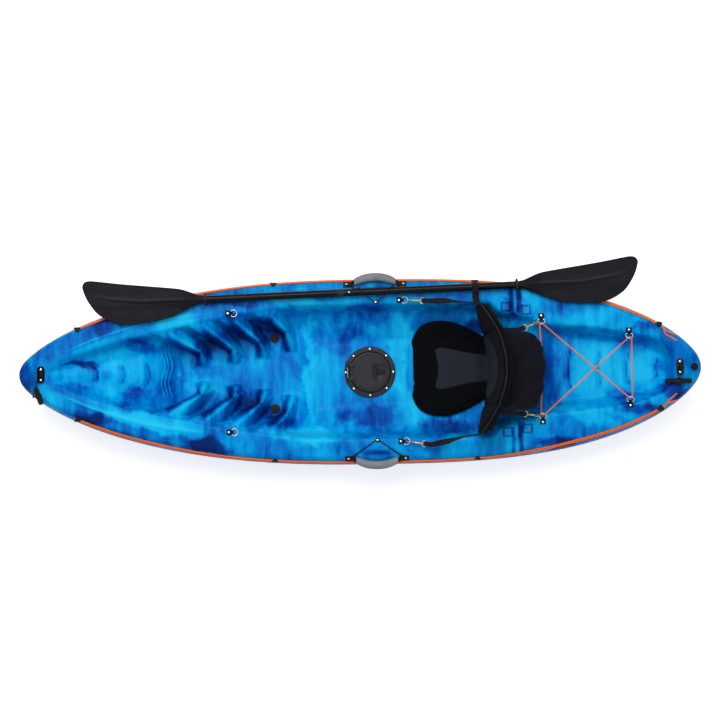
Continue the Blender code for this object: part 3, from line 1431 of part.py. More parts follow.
def build_tank_bungee():
    """One endless shock cord through the four tank rings: two runs across and a cross between them."""
    front_s = bungee_corner("tank_front_ring_starboard")
    rear_p = bungee_corner("tank_rear_ring_port")
    rear_s = bungee_corner("tank_rear_ring_starboard")
    front_p = bungee_corner("tank_front_ring_port")
    middle = (front_s[0] + rear_p[0] + rear_s[0] + front_p[0]) / 4
    rise = Vector((0, 0, BUNGEE_RADIUS * 1.5))
    path = front_s[::-1] + [middle + rise] + rear_p + rear_s[::-1] + [middle - rise] + front_p
    tube("tank_bungee", path, BUNGEE_RADIUS, orange_cord(), 1, closed=True)


# Paddle

def paddle_frame():
    """The shaft's own frame: origin at the front neck, X along the shaft towards the stern."""
    fx, fy = PADDLE_FRONT_NECK
    rx, ry = PADDLE_REAR_NECK
    front = Vector((fx, fy, sheer(fx + DRIP_RING_OFFSET) + DRIP_RING_RADIUS + DRIP_RING_LIFT))
    rear = Vector((rx, ry, sheer(rx) + PADDLE_REAR_LIFT))
    return frame_at(front, rear - front, (0, 0, 1)), (rear - front).length


def paddle_axis_at(x):
    """A point on the shaft's axis."""
    frame, length = paddle_frame()
    start, end = frame.to_translation(), frame @ Vector((length, 0, 0))
    return start + (end - start) * (x - start.x) / (end.x - start.x)


BLADE_UPPER = ((-0.03, 0.0160), (0.0, 0.0165), (0.030, 0.028), (0.072, 0.043), (0.200, 0.060), (0.400, 0.086),
               (0.428, 0.088), (0.443, 0.084), (0.451, 0.076), (0.454, 0.068))
BLADE_LOWER = ((-0.03, -0.0160), (0.0, -0.0165), (0.037, -0.030), (0.072, -0.046), (0.109, -0.061), (0.180, -0.078),
               (0.266, -0.085), (0.315, -0.080), (0.348, -0.069), (0.380, -0.052), (0.405, -0.031), (0.430, 0.004),
               (0.443, 0.028), (0.451, 0.050), (0.454, 0.062))
BLADE_STATIONS = (
    -0.012, 0.0, 0.022, 0.048, 0.080, 0.125, 0.180, 0.240, 0.300, 0.348, 0.384, 0.410, 0.430, 0.443, 0.451,
    0.454,
)


def blade_mesh(name, outward):
    """A blade lofted along its length; outward is -1 for the front blade and +1 for the rear one."""
    rings = []
    shares = [-1.0, -0.86, -0.55, -0.2, 0.1, 0.45, 0.8]
    for a in BLADE_STATIONS:
        high, low = blend_through(BLADE_UPPER, a), blend_through(BLADE_LOWER, a)
        centre, half = (high + low) / 2, (high - low) / 2
        neck = min(1.0, max(0.0, 1 - a / BLADE_NECK_LENGTH))
        crown = BLADE_SPINE * max(0.25, 1 - a / (BLADE_LENGTH * 0.9)) / 2
        spoon = BLADE_SPOON * (max(a, 0) / BLADE_LENGTH) ** 2
        top, bottom = [], []
        for v in shares:
            y = centre + half * v
            tube_half = BLADE_NECK_RADIUS * math.sqrt(max(0.0, 1 - v * v))
            rib = crown * max(0.0, 1 - abs(y) / BLADE_RIB_REACH) ** 2
            flat_half = BLADE_EDGE / 2 * math.sqrt(max(0.0, 1 - v ** 6)) + rib
            thick = neck * tube_half + (1 - neck) * flat_half
            if v == -1.0:
                top.append((y, 0.0))
            else:
                top.append((y, thick))
                bottom.append((y, -thick))
        loop = top + [(high, 0.0)] + bottom[::-1]
        rings.append([Vector((outward * a, y, z + spoon)) for y, z in loop])
    return loft(name, rings, 40)


def build_paddle():
    frame, length = paddle_frame()
    start_x = frame.to_translation().x
    scale = length / (PADDLE_REAR_NECK[0] - PADDLE_FRONT_NECK[0])
    seam = (SHAFT_SEAM - start_x) * scale
    ferrule = SHAFT_BORE - RUNNING
    inner = ferrule - 0.002
    socket = BLADE_SOCKET - 0.012
    front_profile = [
        (SHAFT_RADIUS, -socket), (SHAFT_RADIUS, seam), (ferrule, seam), (ferrule, seam + FERRULE_LENGTH),
        (inner, seam + FERRULE_LENGTH), (inner, -socket),
    ]
    front = new_object(
        "paddle_shaft_front", lying_on_x(turned("shaft", front_profile, 16, ring=True)), black_plastic(),
    )
    rear_profile = [
        (SHAFT_RADIUS, seam + GAP), (SHAFT_RADIUS, length + socket), (SHAFT_BORE, length + socket),
        (SHAFT_BORE, seam + GAP),
    ]
    rear = new_object(
        "paddle_shaft_rear", lying_on_x(turned("shaft", rear_profile, 16, ring=True)), black_plastic(),
    )
    place(front, frame)
    place(rear, frame)
    button_at = frame @ Matrix.Translation(((BUTTON_PLACE - start_x) * scale, 0, 0))
    hole = turned("button_hole", [(BUTTON_RADIUS + GAP, 0.004), (BUTTON_RADIUS + GAP, 0.02)], 10)
    guide = place(new_object("button_hole_guide", hole, black_plastic()), button_at)
    boolean(front, guide, "DIFFERENCE")
    boolean(rear, guide, "DIFFERENCE")
    button_profile = [
        (0.0, 0.0075), (BUTTON_RADIUS, 0.0075), (BUTTON_RADIUS, 0.0160), (BUTTON_RADIUS * 0.6, 0.0172),
        (0.0, 0.0174),
    ]
    place(
        new_object("paddle_snap_button", solid_of_revolution("button", button_profile, 10), steel()),
        button_at,
    )
    for word, at, outward in (("front", 0.0, -1), ("rear", length, 1)):
        blade = new_object(f"paddle_blade_{word}", blade_mesh("blade", outward), black_plastic())
        spot = frame @ Matrix.Translation((at, 0, 0))
        place(blade, spot)
        low, high = sorted((-outward * 0.05, outward * BLADE_SOCKET_END))
        bore = lying_on_x(turned("socket", [(SHAFT_RADIUS + GAP, low), (SHAFT_RADIUS + GAP, high)], 16))
        boolean(blade, place(new_object(f"socket_guide_{word}", bore, black_plastic()), spot), "DIFFERENCE")
        centre = at - outward * DRIP_RING_OFFSET
        half = DRIP_RING_WIDTH / 2
        r = DRIP_RING_RADIUS
        bore_radius = SHAFT_RADIUS + GAP
        lip = 0.0035
        drip_profile = [
            (bore_radius, -half), (bore_radius + lip, -half), (bore_radius + lip, -half + 0.003), (
                r, -0.0005,
            ),
            (r, 0.0015), (bore_radius + lip, half - 0.001), (bore_radius, half),
        ]
        drip = lying_on_x(turned("drip_ring", [(a, z * outward) for a, z in drip_profile], 16, ring=True))
        place(new_object(f"drip_ring_{word}", drip, rubber()), frame @ Matrix.Translation((centre, 0, 0)))


# Seat

def backrest_face(v, height):
    """Middle line of the backrest in plan and its lean."""
    lean = BACKREST_LEAN * (height - BACKREST_BOTTOM) / (BACKREST_TOP - BACKREST_BOTTOM)
    return BACKREST_PLACE - BACKREST_WRAP * v * v + lean


def backrest_limits(v):
    low = BACKREST_BOTTOM + BACKREST_WING_RISE * abs(v) ** 2.4
    high = BACKREST_TOP - BACKREST_WING_DROP * abs(v) ** 2.2
    return low, high


def build_cushion():
    """A moulded foam cushion with a rolled rim, dished in the middle, its front edge drawn in."""
    rings = []
    shares = [-1.0, -0.93, -0.80, -0.55, -0.25, 0.0, 0.25, 0.55, 0.80, 0.93, 1.0]
    for u, outline_share in CUSHION_OUTLINE:
        half = outline_share * CUSHION_HALF_WIDTH
        end_round = min(1.0, 0.42 + 3.2 * min(u, 1 - u))
        top, bottom = [], []
        for v in shares:
            x = CUSHION_FRONT + (CUSHION_REAR - CUSHION_FRONT) * u + CUSHION_DRAW_IN * (1 - v * v) * (1 - u)
            y = CUSHION_OFFSET + half * v
            base = deck_surface(x, y) + GAP * 2
            roll = CUSHION_DISH * math.exp(-((abs(v) - 0.80) / 0.16) ** 2)
            roll += CUSHION_FRONT_ROLL * math.exp(-((u - 0.10) / 0.10) ** 2)
            edge = math.sqrt(max(0.0, 1 - abs(v) ** 5))
            thick = (CUSHION_THICK - CUSHION_DISH + roll) * end_round * (0.36 + 0.64 * edge)
            top.append(Vector((x, y, base + thick)))
            bottom.append(Vector((x, y, base)))
        rings.append(top + bottom[::-1])
    cushion = loft("seat_cushion", rings, 50)
    new_object("seat_cushion", cushion, seat_fabric())


def build_backrest():
    rings = []
    count = 14
    heights = [0.0, 0.03, 0.30, 0.60, 0.88, 1.0]
    for i in range(count + 1):
        v = -1 + 2 * i / count
        low, high = backrest_limits(v)
        edge = 0.35 + 0.65 * math.sqrt(max(0.0, 1 - abs(v) ** 6))
        front, back = [], []
        for share in heights:
            z = low + (high - low) * share
            thick = BACKREST_THICK * edge * (0.45 if share in (0.0, 1.0) else 1.0)
            x = backrest_face(v, z)
            y = BACKREST_HALF_WIDTH * v
            front.append(Vector((x - thick / 2, y, z)))
            back.append(Vector((x + thick / 2, y, z)))
        rings.append(front + back[::-1])
    new_object("seat_backrest", loft("seat_backrest", rings, 50), seat_fabric())


def build_bag():
    """A soft box bag against the back of the backrest, sagging over the cross deck."""
    rings = []
    count = 8
    for i in range(count + 1):
        v = -1 + 2 * i / count
        y = BAG_OFFSET + BAG_WIDTH / 2 * v
        round_end = 0.84 + 0.16 * math.sqrt(max(0.0, 1 - v ** 4))
        low = BAG_BOTTOM + (1 - round_end) * 0.05
        high = BAG_BOTTOM + BAG_HEIGHT * round_end
        share = y / BACKREST_HALF_WIDTH
        ring = []
        for h, reach in ((0.0, 0.10), (0.05, 0.72), (0.35, 0.91), (0.62, 1.0), (0.90, 0.92), (1.0, 0.30)):
            z = low + (high - low) * h
            front = backrest_face(share, z) + BACKREST_THICK / 2 + 2 * GAP
            ring.append((front, z, front + BAG_LENGTH * reach * round_end))
        loop = [Vector((front, y, z)) for front, z, _ in ring] + [
            Vector((back, y, z)) for _, z, back in ring[::-1]
        ]
        rings.append(loop)
    new_object("seat_bag", loft("seat_bag", rings, 50), seat_fabric())


def strap_start(matrix):
    """The strap's end folded round the bar of a hook's eye, as points, faces and how far each is along."""
    bar = EYE_START + EYE_REACH
    reach = EYE_WIRE + 3 * GAP + WEBBING / 2
    local = [
        (bar + 0.022, reach - WEBBING - 0.0006), (bar + 0.012, -0.0008), (bar + 0.003, -reach * 0.96),
        (bar - reach * 0.62, -reach * 0.80), (bar - reach * 1.02, 0), (bar - reach * 0.62, reach * 0.80),
        (bar + 0.003, reach * 1.0),
        (bar + 0.014, reach), (bar + 0.026, reach),
    ]
    looks = [(0.1, -1), (0.15, -1), (-0.1, -1), (-0.7, -0.7), (-1, 0), (-0.7, 0.7), (-0.1, 1), (0, 1), (0, 1)]
    turn = matrix.to_3x3()
    return [matrix @ Vector((x, 0, z)) for x, z in local], [
        turn @ Vector((x, 0, z)).normalized() for x, z in looks
    ]


def build_straps():
    for side, word in ((1, "starboard"), (-1, "port")):
        ring, target = hook_targets()[f"front_{word}"]
        path, ups = strap_start(hook_frame(ring, target))
        folded = len(path)
        edge_x = backrest_face(1.0, STRAP_WING_HEIGHT)
        out = BACKREST_HALF_WIDTH + STRAP_THICK / 2 + 6 * GAP
        wing = Vector((edge_x + 0.006, side * out, STRAP_WING_HEIGHT))
        lead = wing + Vector((-0.070, side * 0.010, -0.034))
        start = path.pop()
        ups.pop()
        middle = start.lerp(lead, 0.5) + Vector((0, side * 0.006, 0.004))
        arrival = wing - Vector((0.020, -side * GAP, 0.010))
        rest = smooth_path([start, middle, lead, arrival], 2) + [wing]
        path += rest
        share = [min(1.0, i / 4) for i in range(len(rest))]
        flat = Vector((-0.35, 0, 0.94))
        ups += [(flat * (1 - s) + Vector((0, side, 0.1)) * s).normalized() for s in share]
        thick = [WEBBING] * (folded - 1) + [WEBBING] + [STRAP_THICK] * (len(rest) - 1)
        widths = [0.018] * (folded + 1) + [STRAP_WIDTH] * (len(rest) - 2)
        new_object(f"seat_strap_front_{word}", ribbon("strap", path, widths, thick, ups), webbing())

        ring, target = hook_targets()[f"rear_{word}"]
        path, ups = strap_start(hook_frame(ring, target))
        edge_y = side * BAG_WIDTH / 2 + BAG_OFFSET + side * 0.010
        back = backrest_face(edge_y / BACKREST_HALF_WIDTH, 0.400) + BACKREST_THICK / 2
        anchor = Vector((back + WEBBING / 2 + GAP, edge_y, 0.400))
        path += [Vector((back + 0.022, edge_y, 0.365)), anchor, anchor + Vector((0.0035, 0, 0.030))]
        turned_out = 2 * BACKREST_WRAP * edge_y / BACKREST_HALF_WIDTH ** 2
        square = Vector((1, turned_out, -0.107)).normalized()
        ups += [Vector((0.9, turned_out * 0.8, 0.3)).normalized(), square, square]
        new_object(f"seat_strap_rear_{word}", ribbon("strap", path, 0.014, WEBBING, ups), webbing())


def build_paddle_strap():
    """A webbing loop from the backrest's corner round the shaft."""
    shaft = paddle_axis_at(PADDLE_STRAP_X)
    reach = SHAFT_RADIUS + 0.0016 + GAP * 2
    tail = [
        Vector((PADDLE_STRAP_X + 0.004, BACKREST_HALF_WIDTH + 0.006, shaft.z + 0.0345)),
        Vector((PADDLE_STRAP_X + 0.002, 0.268, shaft.z + 0.0015)),
        Vector((PADDLE_STRAP_X, shaft.y - 0.030, shaft.z + 0.001)),
    ]
    path = tail + [shaft + Vector((0, -0.0185, 0.010))] + [
        shaft + Vector((0, math.cos(math.radians(a)), math.sin(math.radians(a)))) * reach for a in range(120, -121, -30)
    ]
    ups = []
    for point in path:
        radial = Vector((0, point.y - shaft.y, point.z - shaft.z))
        ups.append(radial.normalized() if radial.length < 0.024 else Vector((0, 0.4, 1)).normalized())
    new_object("paddle_strap", ribbon("paddle_strap", path, 0.025, 0.0022, ups), webbing())


def main():
    clear_scene()
    build_hull()
    build_hatch()
    build_scupper_plugs()
    build_drain_plug()
    build_end_fittings()
    build_rings()
    build_hooks()
    build_handles()
    build_paddle_keepers()
    build_perimeter_lines()
    build_tank_bungee()
    build_paddle()
    build_cushion()
    build_backrest()
    build_bag()
    build_straps()
    build_paddle_strap()


main()
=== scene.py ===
"""Sit-on-top fishing kayak: its looks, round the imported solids.

Metres, +Z up. The bow points to -X and starboard is +Y.
"""
import math
from functools import cache

import bmesh
import bpy
import numpy as np
from mathutils import Matrix, Vector, noise


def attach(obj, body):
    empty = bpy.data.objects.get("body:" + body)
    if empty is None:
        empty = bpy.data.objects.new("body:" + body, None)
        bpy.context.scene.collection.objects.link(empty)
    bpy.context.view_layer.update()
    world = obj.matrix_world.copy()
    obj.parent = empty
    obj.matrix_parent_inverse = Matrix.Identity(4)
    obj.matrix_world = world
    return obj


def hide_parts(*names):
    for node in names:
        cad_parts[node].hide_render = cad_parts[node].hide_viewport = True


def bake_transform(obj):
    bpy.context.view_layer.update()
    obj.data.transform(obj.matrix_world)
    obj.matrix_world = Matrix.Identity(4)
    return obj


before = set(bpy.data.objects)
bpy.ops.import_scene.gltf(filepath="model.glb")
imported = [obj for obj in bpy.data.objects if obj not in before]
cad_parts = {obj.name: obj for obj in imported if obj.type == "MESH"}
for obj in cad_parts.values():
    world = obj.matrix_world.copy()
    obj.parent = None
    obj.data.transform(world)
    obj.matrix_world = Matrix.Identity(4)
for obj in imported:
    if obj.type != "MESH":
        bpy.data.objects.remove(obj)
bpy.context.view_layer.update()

SIDES = ((1, "starboard"), (-1, "port"))
GAP = 0.0003

# Hull, the same values as in the part's source
HALF_LENGTH = 1.33
HALF_BEAM = 0.365
BOW_FULLNESS, STERN_FULLNESS, END_ROUNDING = 2.3, 3.0, 0.65
SIDE_DECK_HEIGHT, BOW_LIFT, STERN_LIFT, SHEER_POWER = 0.285, 0.055, 0.040, 2.5
END_DROP, END_DROP_LENGTH = 0.040, 0.095
BOW_KEEL_RISE, STERN_KEEL_RISE, KEEL_RISE_START = 0.190, 0.165, 0.42
GUNWALE_DROP, SHOULDER_INSET = 0.080, 0.034
LINE_TRACK_INSET, LINE_TRACK_DROP, CHANNEL_DEPTH = 0.014, 0.016, 0.014
BOW_WELL_START, TANK_WELL_START, TANK_WELL_END = -1.203, 0.745, 1.206
FOOT_PAD_TOP, FOOT_PAD_FOOT = -0.788, -0.726
FOOTWELL_FLOOR, SEAT_FLOOR, CROSS_DECK_HEIGHT = 0.120, 0.140, 0.240
FOOTWELL_END, SEAT_FLOOR_START, SEAT_WELL_END = -0.240, -0.188, 0.545
CROSS_DECK_START, CROSS_DECK_END, TANK_FLOOR = 0.575, 0.705, 0.185
WALL_RUN, WALL_FOOT_SHARE, WELL_BULGE = 0.020, 0.34, 0.026
STEP_RISE, STEP_RUN = 0.009, 0.006
BOW_WELL_STEPS = (-1.043, -0.946, -0.852)
TANK_STEPS = (0.814, 0.932, 1.039, 1.150)
BRACES = (
    ((-0.628, 0.026), 0.060, (-0.624, 0.080), (-0.800, 0.150), (-0.722, 0.168)),
    ((-0.505, 0.040), 0.062, (-0.498, 0.093), (-0.659, 0.176), (-0.583, 0.190)),
    ((-0.386, 0.058), 0.070, (-0.392, 0.118), (-0.541, 0.198), (-0.471, 0.207)),
    ((-0.279, 0.081), 0.078, (-0.288, 0.158), (-0.404, 0.217), (-0.330, 0.228)),
)
BRACE_KNEE_HEIGHT, BRACE_LEAN, BRACE_ROOT = 0.205, 0.024, 0.030
BRACE_KNEE_FOOT, BRACE_TOP_DROP = 0.015, 0.008
RIM_LINE = (
    (BOW_WELL_START, 0.004), (-1.190, 0.026), (-1.150, 0.050), (-1.074, 0.082), (-0.971, 0.114),
    (-0.869, 0.138), (-0.777, 0.157), (-0.571, 0.200), (-0.455, 0.220), (-0.332, 0.238), (-0.233, 0.256),
    (0.500, 0.256), (0.532, 0.222), (0.640, 0.205), (0.718, 0.170), (0.900, 0.156), (1.100, 0.122),
    (1.160, 0.098), (1.192, 0.062), (TANK_WELL_END, 0.004),
)
FLOOR_EDGE_LINE = (
    (BOW_WELL_START, 0.002), (-1.150, 0.018), (-1.000, 0.046), (-0.800, 0.080), (-0.726, 0.110),
    (-0.650, 0.140), (-0.240, 0.184), (-0.188, 0.150), (0.000, 0.127), (0.545, 0.127), (0.640, 0.150),
    (0.745, 0.136), (1.100, 0.094), (1.170, 0.058), (TANK_WELL_END, 0.002),
)
SCUPPER_PLACE = (-0.339, 0.139)
HATCH_PLACE = 0.038
INSERT_PLACES = ((0.565, 0.242), (0.641, 0.229))
DRAIN_PLACE = 1.278
SCUPPER_BORE, DRAIN_BORE, HATCH_TUB, INSERT_BORE = 0.0140, 0.0100, 0.0872, 0.0050

# Moulded lines of the deck, in the height map and again as painted shade and highlights in the marbling
CREASE_INSET = 0.052
CROSS_GROOVES, CROSS_RIDGE = (0.5850, 0.6165), 0.5990
PAD_LINES = (-0.776, -0.764, -0.750)
WALL_ROUNDING, BRACE_ROUNDING = 0.0050, 0.0024
TIP_START, TIP_RUN, STERN_TIP_TRIM, BOW_TIP_TRIM = 1.27, 0.06, 0.017, 0.018


# Working with shapes

def deselect():
    bpy.ops.object.select_all(action="DESELECT")


def pick(piece):
    deselect()
    piece.select_set(True)
    bpy.context.view_layer.objects.active = piece


def added(name):
    """Names the shape that was just added."""
    piece = bpy.context.active_object
    piece.name = name
    piece.data.name = name
    return piece


def new_piece(name, points, faces, edges=()):
    mesh = bpy.data.meshes.new(name)
    mesh.from_pydata([tuple(p) for p in points], list(edges), faces)
    piece = bpy.data.objects.new(name, mesh)
    bpy.context.scene.collection.objects.link(piece)
    pick(piece)
    return piece


def outward(piece):
    """Merges doubled points and turns every face outwards."""
    pick(piece)
    bpy.ops.object.mode_set(mode="EDIT")
    bpy.ops.mesh.select_all(action="SELECT")
    bpy.ops.mesh.remove_doubles(threshold=1e-6)
    bpy.ops.mesh.normals_make_consistent(inside=False)
    bpy.ops.object.mode_set(mode="OBJECT")
    return piece


def settle(piece, place=None):
    """Puts a shape at its place and keeps the place in its mesh."""
    if place is not None:
        piece.matrix_world = place @ piece.matrix_world
    pick(piece)
    bpy.ops.object.transform_apply(location=True, rotation=True, scale=True)
    return piece


def soft_shade(piece, angle=35.0):
    pick(piece)
    bpy.ops.object.shade_smooth_by_angle(angle=math.radians(angle))
    return piece


def bake_modifiers(piece):
    pick(piece)
    for step in list(piece.modifiers):
        bpy.ops.object.modifier_apply(modifier=step.name)
    return piece


def bevelled(piece, width, segments=2, angle=30.0):
    step = piece.modifiers.new("edges", "BEVEL")
    step.width = width
    step.segments = segments
    step.limit_method = "ANGLE"
    step.angle_limit = math.radians(angle)
    return bake_modifiers(piece)


def subdivided(piece, levels=1):
    step = piece.modifiers.new("rounded", "SUBSURF")
    step.levels = levels
    step.render_levels = levels
    return bake_modifiers(piece)


def combined(piece, tool, operation):
    step = piece.modifiers.new("combined", "BOOLEAN")
    step.operation = operation
    step.solver = "EXACT"
    step.object = tool
    bake_modifiers(piece)
    bpy.data.objects.remove(tool)
    return piece


def cut_away(piece, cutter):
    return combined(piece, cutter, "DIFFERENCE")


def joined(name, pieces):
    pick(pieces[0])
    for piece in pieces[1:]:
        piece.select_set(True)
    bpy.ops.object.join()
    pieces[0].name = name
    pieces[0].data.name = name
    return pieces[0]


def copied(piece, name, place):
    """A copy with its own mesh, moved by a placement."""
    twin = piece.copy()
    twin.data = piece.data.copy()
    twin.name = name
    twin.data.name = name
    bpy.context.scene.collection.objects.link(twin)
    return settle(twin, place)


def coloured(piece, *surfaces):
    piece.data.materials.clear()
    for surface in surfaces:
        piece.data.materials.append(surface)
    return piece


def spun(name, profile, steps, ring=False, angle=30.0):
    """Spins (radius, height) points round Z. A ring profile closes on itself round a hole."""
    edges = [(i, i + 1) for i in range(len(profile) - 1)]
    if ring:
        edges.append((len(profile) - 1, 0))
    piece = new_piece(name, [(radius, 0, height) for radius, height in profile], [], edges)
    bpy.ops.object.mode_set(mode="EDIT")
    bpy.ops.mesh.select_all(action="SELECT")
    bpy.ops.mesh.spin(steps=steps, angle=math.tau, center=(0, 0, 0), axis=(0, 0, 1))
    bpy.ops.object.mode_set(mode="OBJECT")
    return soft_shade(outward(piece), angle)


def block(name, size, centre, bevel=0.0, segments=2):
    """A box of a given size with its edges broken."""
    bpy.ops.mesh.primitive_cube_add(size=1.0, location=centre)
    piece = added(name)
    piece.scale = size
    settle(piece)
    if bevel:
        bevelled(piece, bevel, segments)
    return piece


def rod(name, radius, length, centre, sides=32, bevel=0.0, turn=(0, 0, 0)):
    bpy.ops.mesh.primitive_cylinder_add(
        radius=radius, depth=length, vertices=sides, location=centre, rotation=turn,
    )
    piece = settle(added(name))
    if bevel:
        bevelled(piece, bevel)
    return soft_shade(piece)


def frame_at(origin, along, up):
    """A placement whose X runs along one direction and whose Z is as near up as it can be."""
    x_axis = Vector(along).normalized()
    y_axis = Vector(up).cross(x_axis).normalized()
    turn = Matrix((x_axis, y_axis, x_axis.cross(y_axis))).transposed().to_4x4()
    return Matrix.Translation(Vector(origin)) @ turn


def directions(path, closed=False):
    count = len(path)
    found = []
    for i in range(count):
        before = path[i - 1] if closed or i > 0 else path[i]
        after = path[(i + 1) % count] if closed or i < count - 1 else path[i]
        found.append((after - before).normalized())
    return found


def skinned(name, rings, closed=False, angle=40.0):
    """Skins a row of rings. Its UV map runs round each ring and along the row, in metres."""
    count, rows = len(rings[0]), len(rings)
    points = [p for ring in rings for p in ring]
    faces = []
    for i in range(rows if closed else rows - 1):
        here, there = i * count, (i + 1) % rows * count
        for j in range(count):
            k = (j + 1) % count
            faces.append((here + j, here + k, there + k, there + j))
    if not closed:
        faces.append(tuple(range(count))[::-1])
        faces.append(tuple(range((rows - 1) * count, rows * count)))
    piece = new_piece(name, points, faces)
    centres = [sum((Vector(p) for p in ring), Vector()) / count for ring in rings]
    along = [0.0]
    for a, b in zip(centres, centres[1:] + centres[:1]):
        along.append(along[-1] + (b - a).length)
    loop = [Vector(p) for p in rings[rows // 2]]
    around = [0.0]
    for a, b in zip(loop, loop[1:] + loop[:1]):
        around.append(around[-1] + (b - a).length)
    layer = piece.data.uv_layers.new(name="UVMap")
    for face in piece.data.polygons:
        if len(face.vertices) != 4 or count == 4 and face.index >= len(faces) - 2:
            continue
        row, column = divmod(face.index, count)
        for corner, (i, j) in zip(face.loop_indices, ((0, 0), (0, 1), (1, 1), (1, 0))):
            layer.data[corner].uv = (around[column + j], along[row + i])
    check = bmesh.new()
    check.from_mesh(piece.data)
    if check.calc_volume(signed=True) < 0:
        bmesh.ops.reverse_faces(check, faces=check.faces)
        check.to_mesh(piece.data)
    check.free()
    return soft_shade(piece, angle)


def swept(name, path, radius, sides=10, closed=False, angle=60.0):
    """A round bar along a path, with one radius or one for each point."""
    path = [Vector(p) for p in path]
    sizes = radius if isinstance(radius, (list, tuple)) else [radius] * len(path)
    ways = directions(path, closed)
    normal = ways[0].orthogonal().normalized()
    rings = []
    for point, size, way in zip(path, sizes, ways):
        normal = (normal - way * normal.dot(way)).normalized()
        across = way.cross(normal)
        turns = [math.tau * i / sides for i in range(sides)]
        rings.append([point + (normal * math.cos(a) + across * math.sin(a)) * size for a in turns])
    return skinned(name, rings, closed, angle)


BAND_SECTION = (
    (-0.5, 0.0), (-0.492, 0.30), (-0.47, 0.5), (-0.25, 0.5), (0.0, 0.5), (0.25, 0.5), (0.47, 0.5),
    (0.492, 0.30), (0.5, 0.0), (0.492, -0.30), (0.47, -0.5), (0.25, -0.5), (0.0, -0.5), (-0.25, -0.5),
    (-0.47, -0.5), (-0.492, -0.30),
)


def band(name, path, width, thick, ups, angle=50.0):
    """A flat webbing band. ups says which way its face looks at each point."""
    path = [Vector(p) for p in path]
    looks = ups if isinstance(ups, list) else [ups] * len(path)
    widths = width if isinstance(width, list) else [width] * len(path)
    depths = thick if isinstance(thick, list) else [thick] * len(path)
    rings = []
    for point, way, up, wide, deep in zip(path, directions(path), looks, widths, depths):
        across = Vector(up).cross(way).normalized()
        normal = way.cross(across)
        rings.append([point + across * wide * a + normal * deep * b for a, b in BAND_SECTION])
    return skinned(name, rings, angle=angle)


def smooth_path(points, per_span):
    """Points along one smooth curve through the given ones."""
    stops = [Vector(p) for p in points]
    ends = [stops[0] * 2 - stops[1], *stops, stops[-1] * 2 - stops[-2]]
    path = []
    for i in range(1, len(ends) - 2):
        a, b, c, d = ends[i - 1:i + 3]
        for step in range(per_span):
            t = step / per_span
            curve = 2 * b + (c - a) * t + (2 * a - 5 * b + 4 * c - d) * t ** 2
            path.append(0.5 * (curve + (3 * b - a - 3 * c + d) * t ** 3))
    path.append(stops[-1])
    return path


def smooth_values(values, per_span):
    """Numbers spread over the points that smooth_path makes."""
    steps = [i / per_span for i in range((len(values) - 1) * per_span + 1)]
    return [float(np.interp(s, range(len(values)), values)) for s in steps]


def smooth_looks(looks, per_span):
    """Unit directions spread over the points that smooth_path makes."""
    parts = [smooth_values([look[k] for look in looks], per_span) for k in range(3)]
    return [Vector(v).normalized() for v in zip(*parts)]


def eased(share):
    """A share from 0 to 1 that starts and ends gently."""
    return share * share * (3 - 2 * share)


# Hull form

def read_line(line, x):
    return np.interp(x, [p[0] for p in line], [p[1] for p in line])


def share_of_half(x):
    return np.minimum(np.abs(x) / HALF_LENGTH, 1.0)


def half_breadth(x):
    fullness = np.where(np.asarray(x) < 0, BOW_FULLNESS, STERN_FULLNESS)
    return HALF_BEAM * (1 - share_of_half(x) ** fullness) ** END_ROUNDING


def sheer(x):
    lift = np.where(np.asarray(x) < 0, BOW_LIFT, STERN_LIFT)
    past = np.maximum(np.abs(x) - (HALF_LENGTH - END_DROP_LENGTH), 0.0)
    rise = SIDE_DECK_HEIGHT + lift * share_of_half(x) ** SHEER_POWER
    return rise - END_DROP * (past / END_DROP_LENGTH) ** 2


def keel(x):
    rise = np.where(np.asarray(x) < 0, BOW_KEEL_RISE, STERN_KEEL_RISE)
    return rise * (np.maximum(share_of_half(x) - KEEL_RISE_START, 0.0) / (1 - KEEL_RISE_START)) ** 3


def stepped(steps, start, end, plain):
    stops = []
    for i, x in enumerate(steps):
        before = start + (end - start) * (i + 0.6) / (len(steps) + 1)
        after = before + math.copysign(STEP_RISE, end - start)
        if plain:
            stops.append((x + STEP_RUN / 2, (before + after) / 2))
        else:
            stops += [(x, before), (x + STEP_RUN, after)]
    return stops


def floor_line(plain):
    """(x, height) of the floor along the middle, with its steps or with plain slopes in their place."""
    bow_edge = float(sheer(BOW_WELL_START))
    return [
        (BOW_WELL_START, bow_edge), (BOW_WELL_START + 0.050, bow_edge - 0.040),
        *stepped(BOW_WELL_STEPS, bow_edge - 0.055, 0.185, plain),
        (FOOT_PAD_TOP, 0.184), (FOOT_PAD_FOOT, 0.130), (FOOT_PAD_FOOT + 0.030, FOOTWELL_FLOOR),
        (FOOTWELL_END, FOOTWELL_FLOOR), (SEAT_FLOOR_START, SEAT_FLOOR), (SEAT_WELL_END, SEAT_FLOOR),
        (CROSS_DECK_START, CROSS_DECK_HEIGHT), (CROSS_DECK_END, CROSS_DECK_HEIGHT),
        (TANK_WELL_START, TANK_FLOOR),
        *stepped(TANK_STEPS, 0.181, 0.235, plain),
        (TANK_WELL_END - 0.022, 0.246), (TANK_WELL_END, float(sheer(TANK_WELL_END))),
    ]


STEPPED_FLOOR = floor_line(False)
PLAIN_FLOOR = floor_line(True)


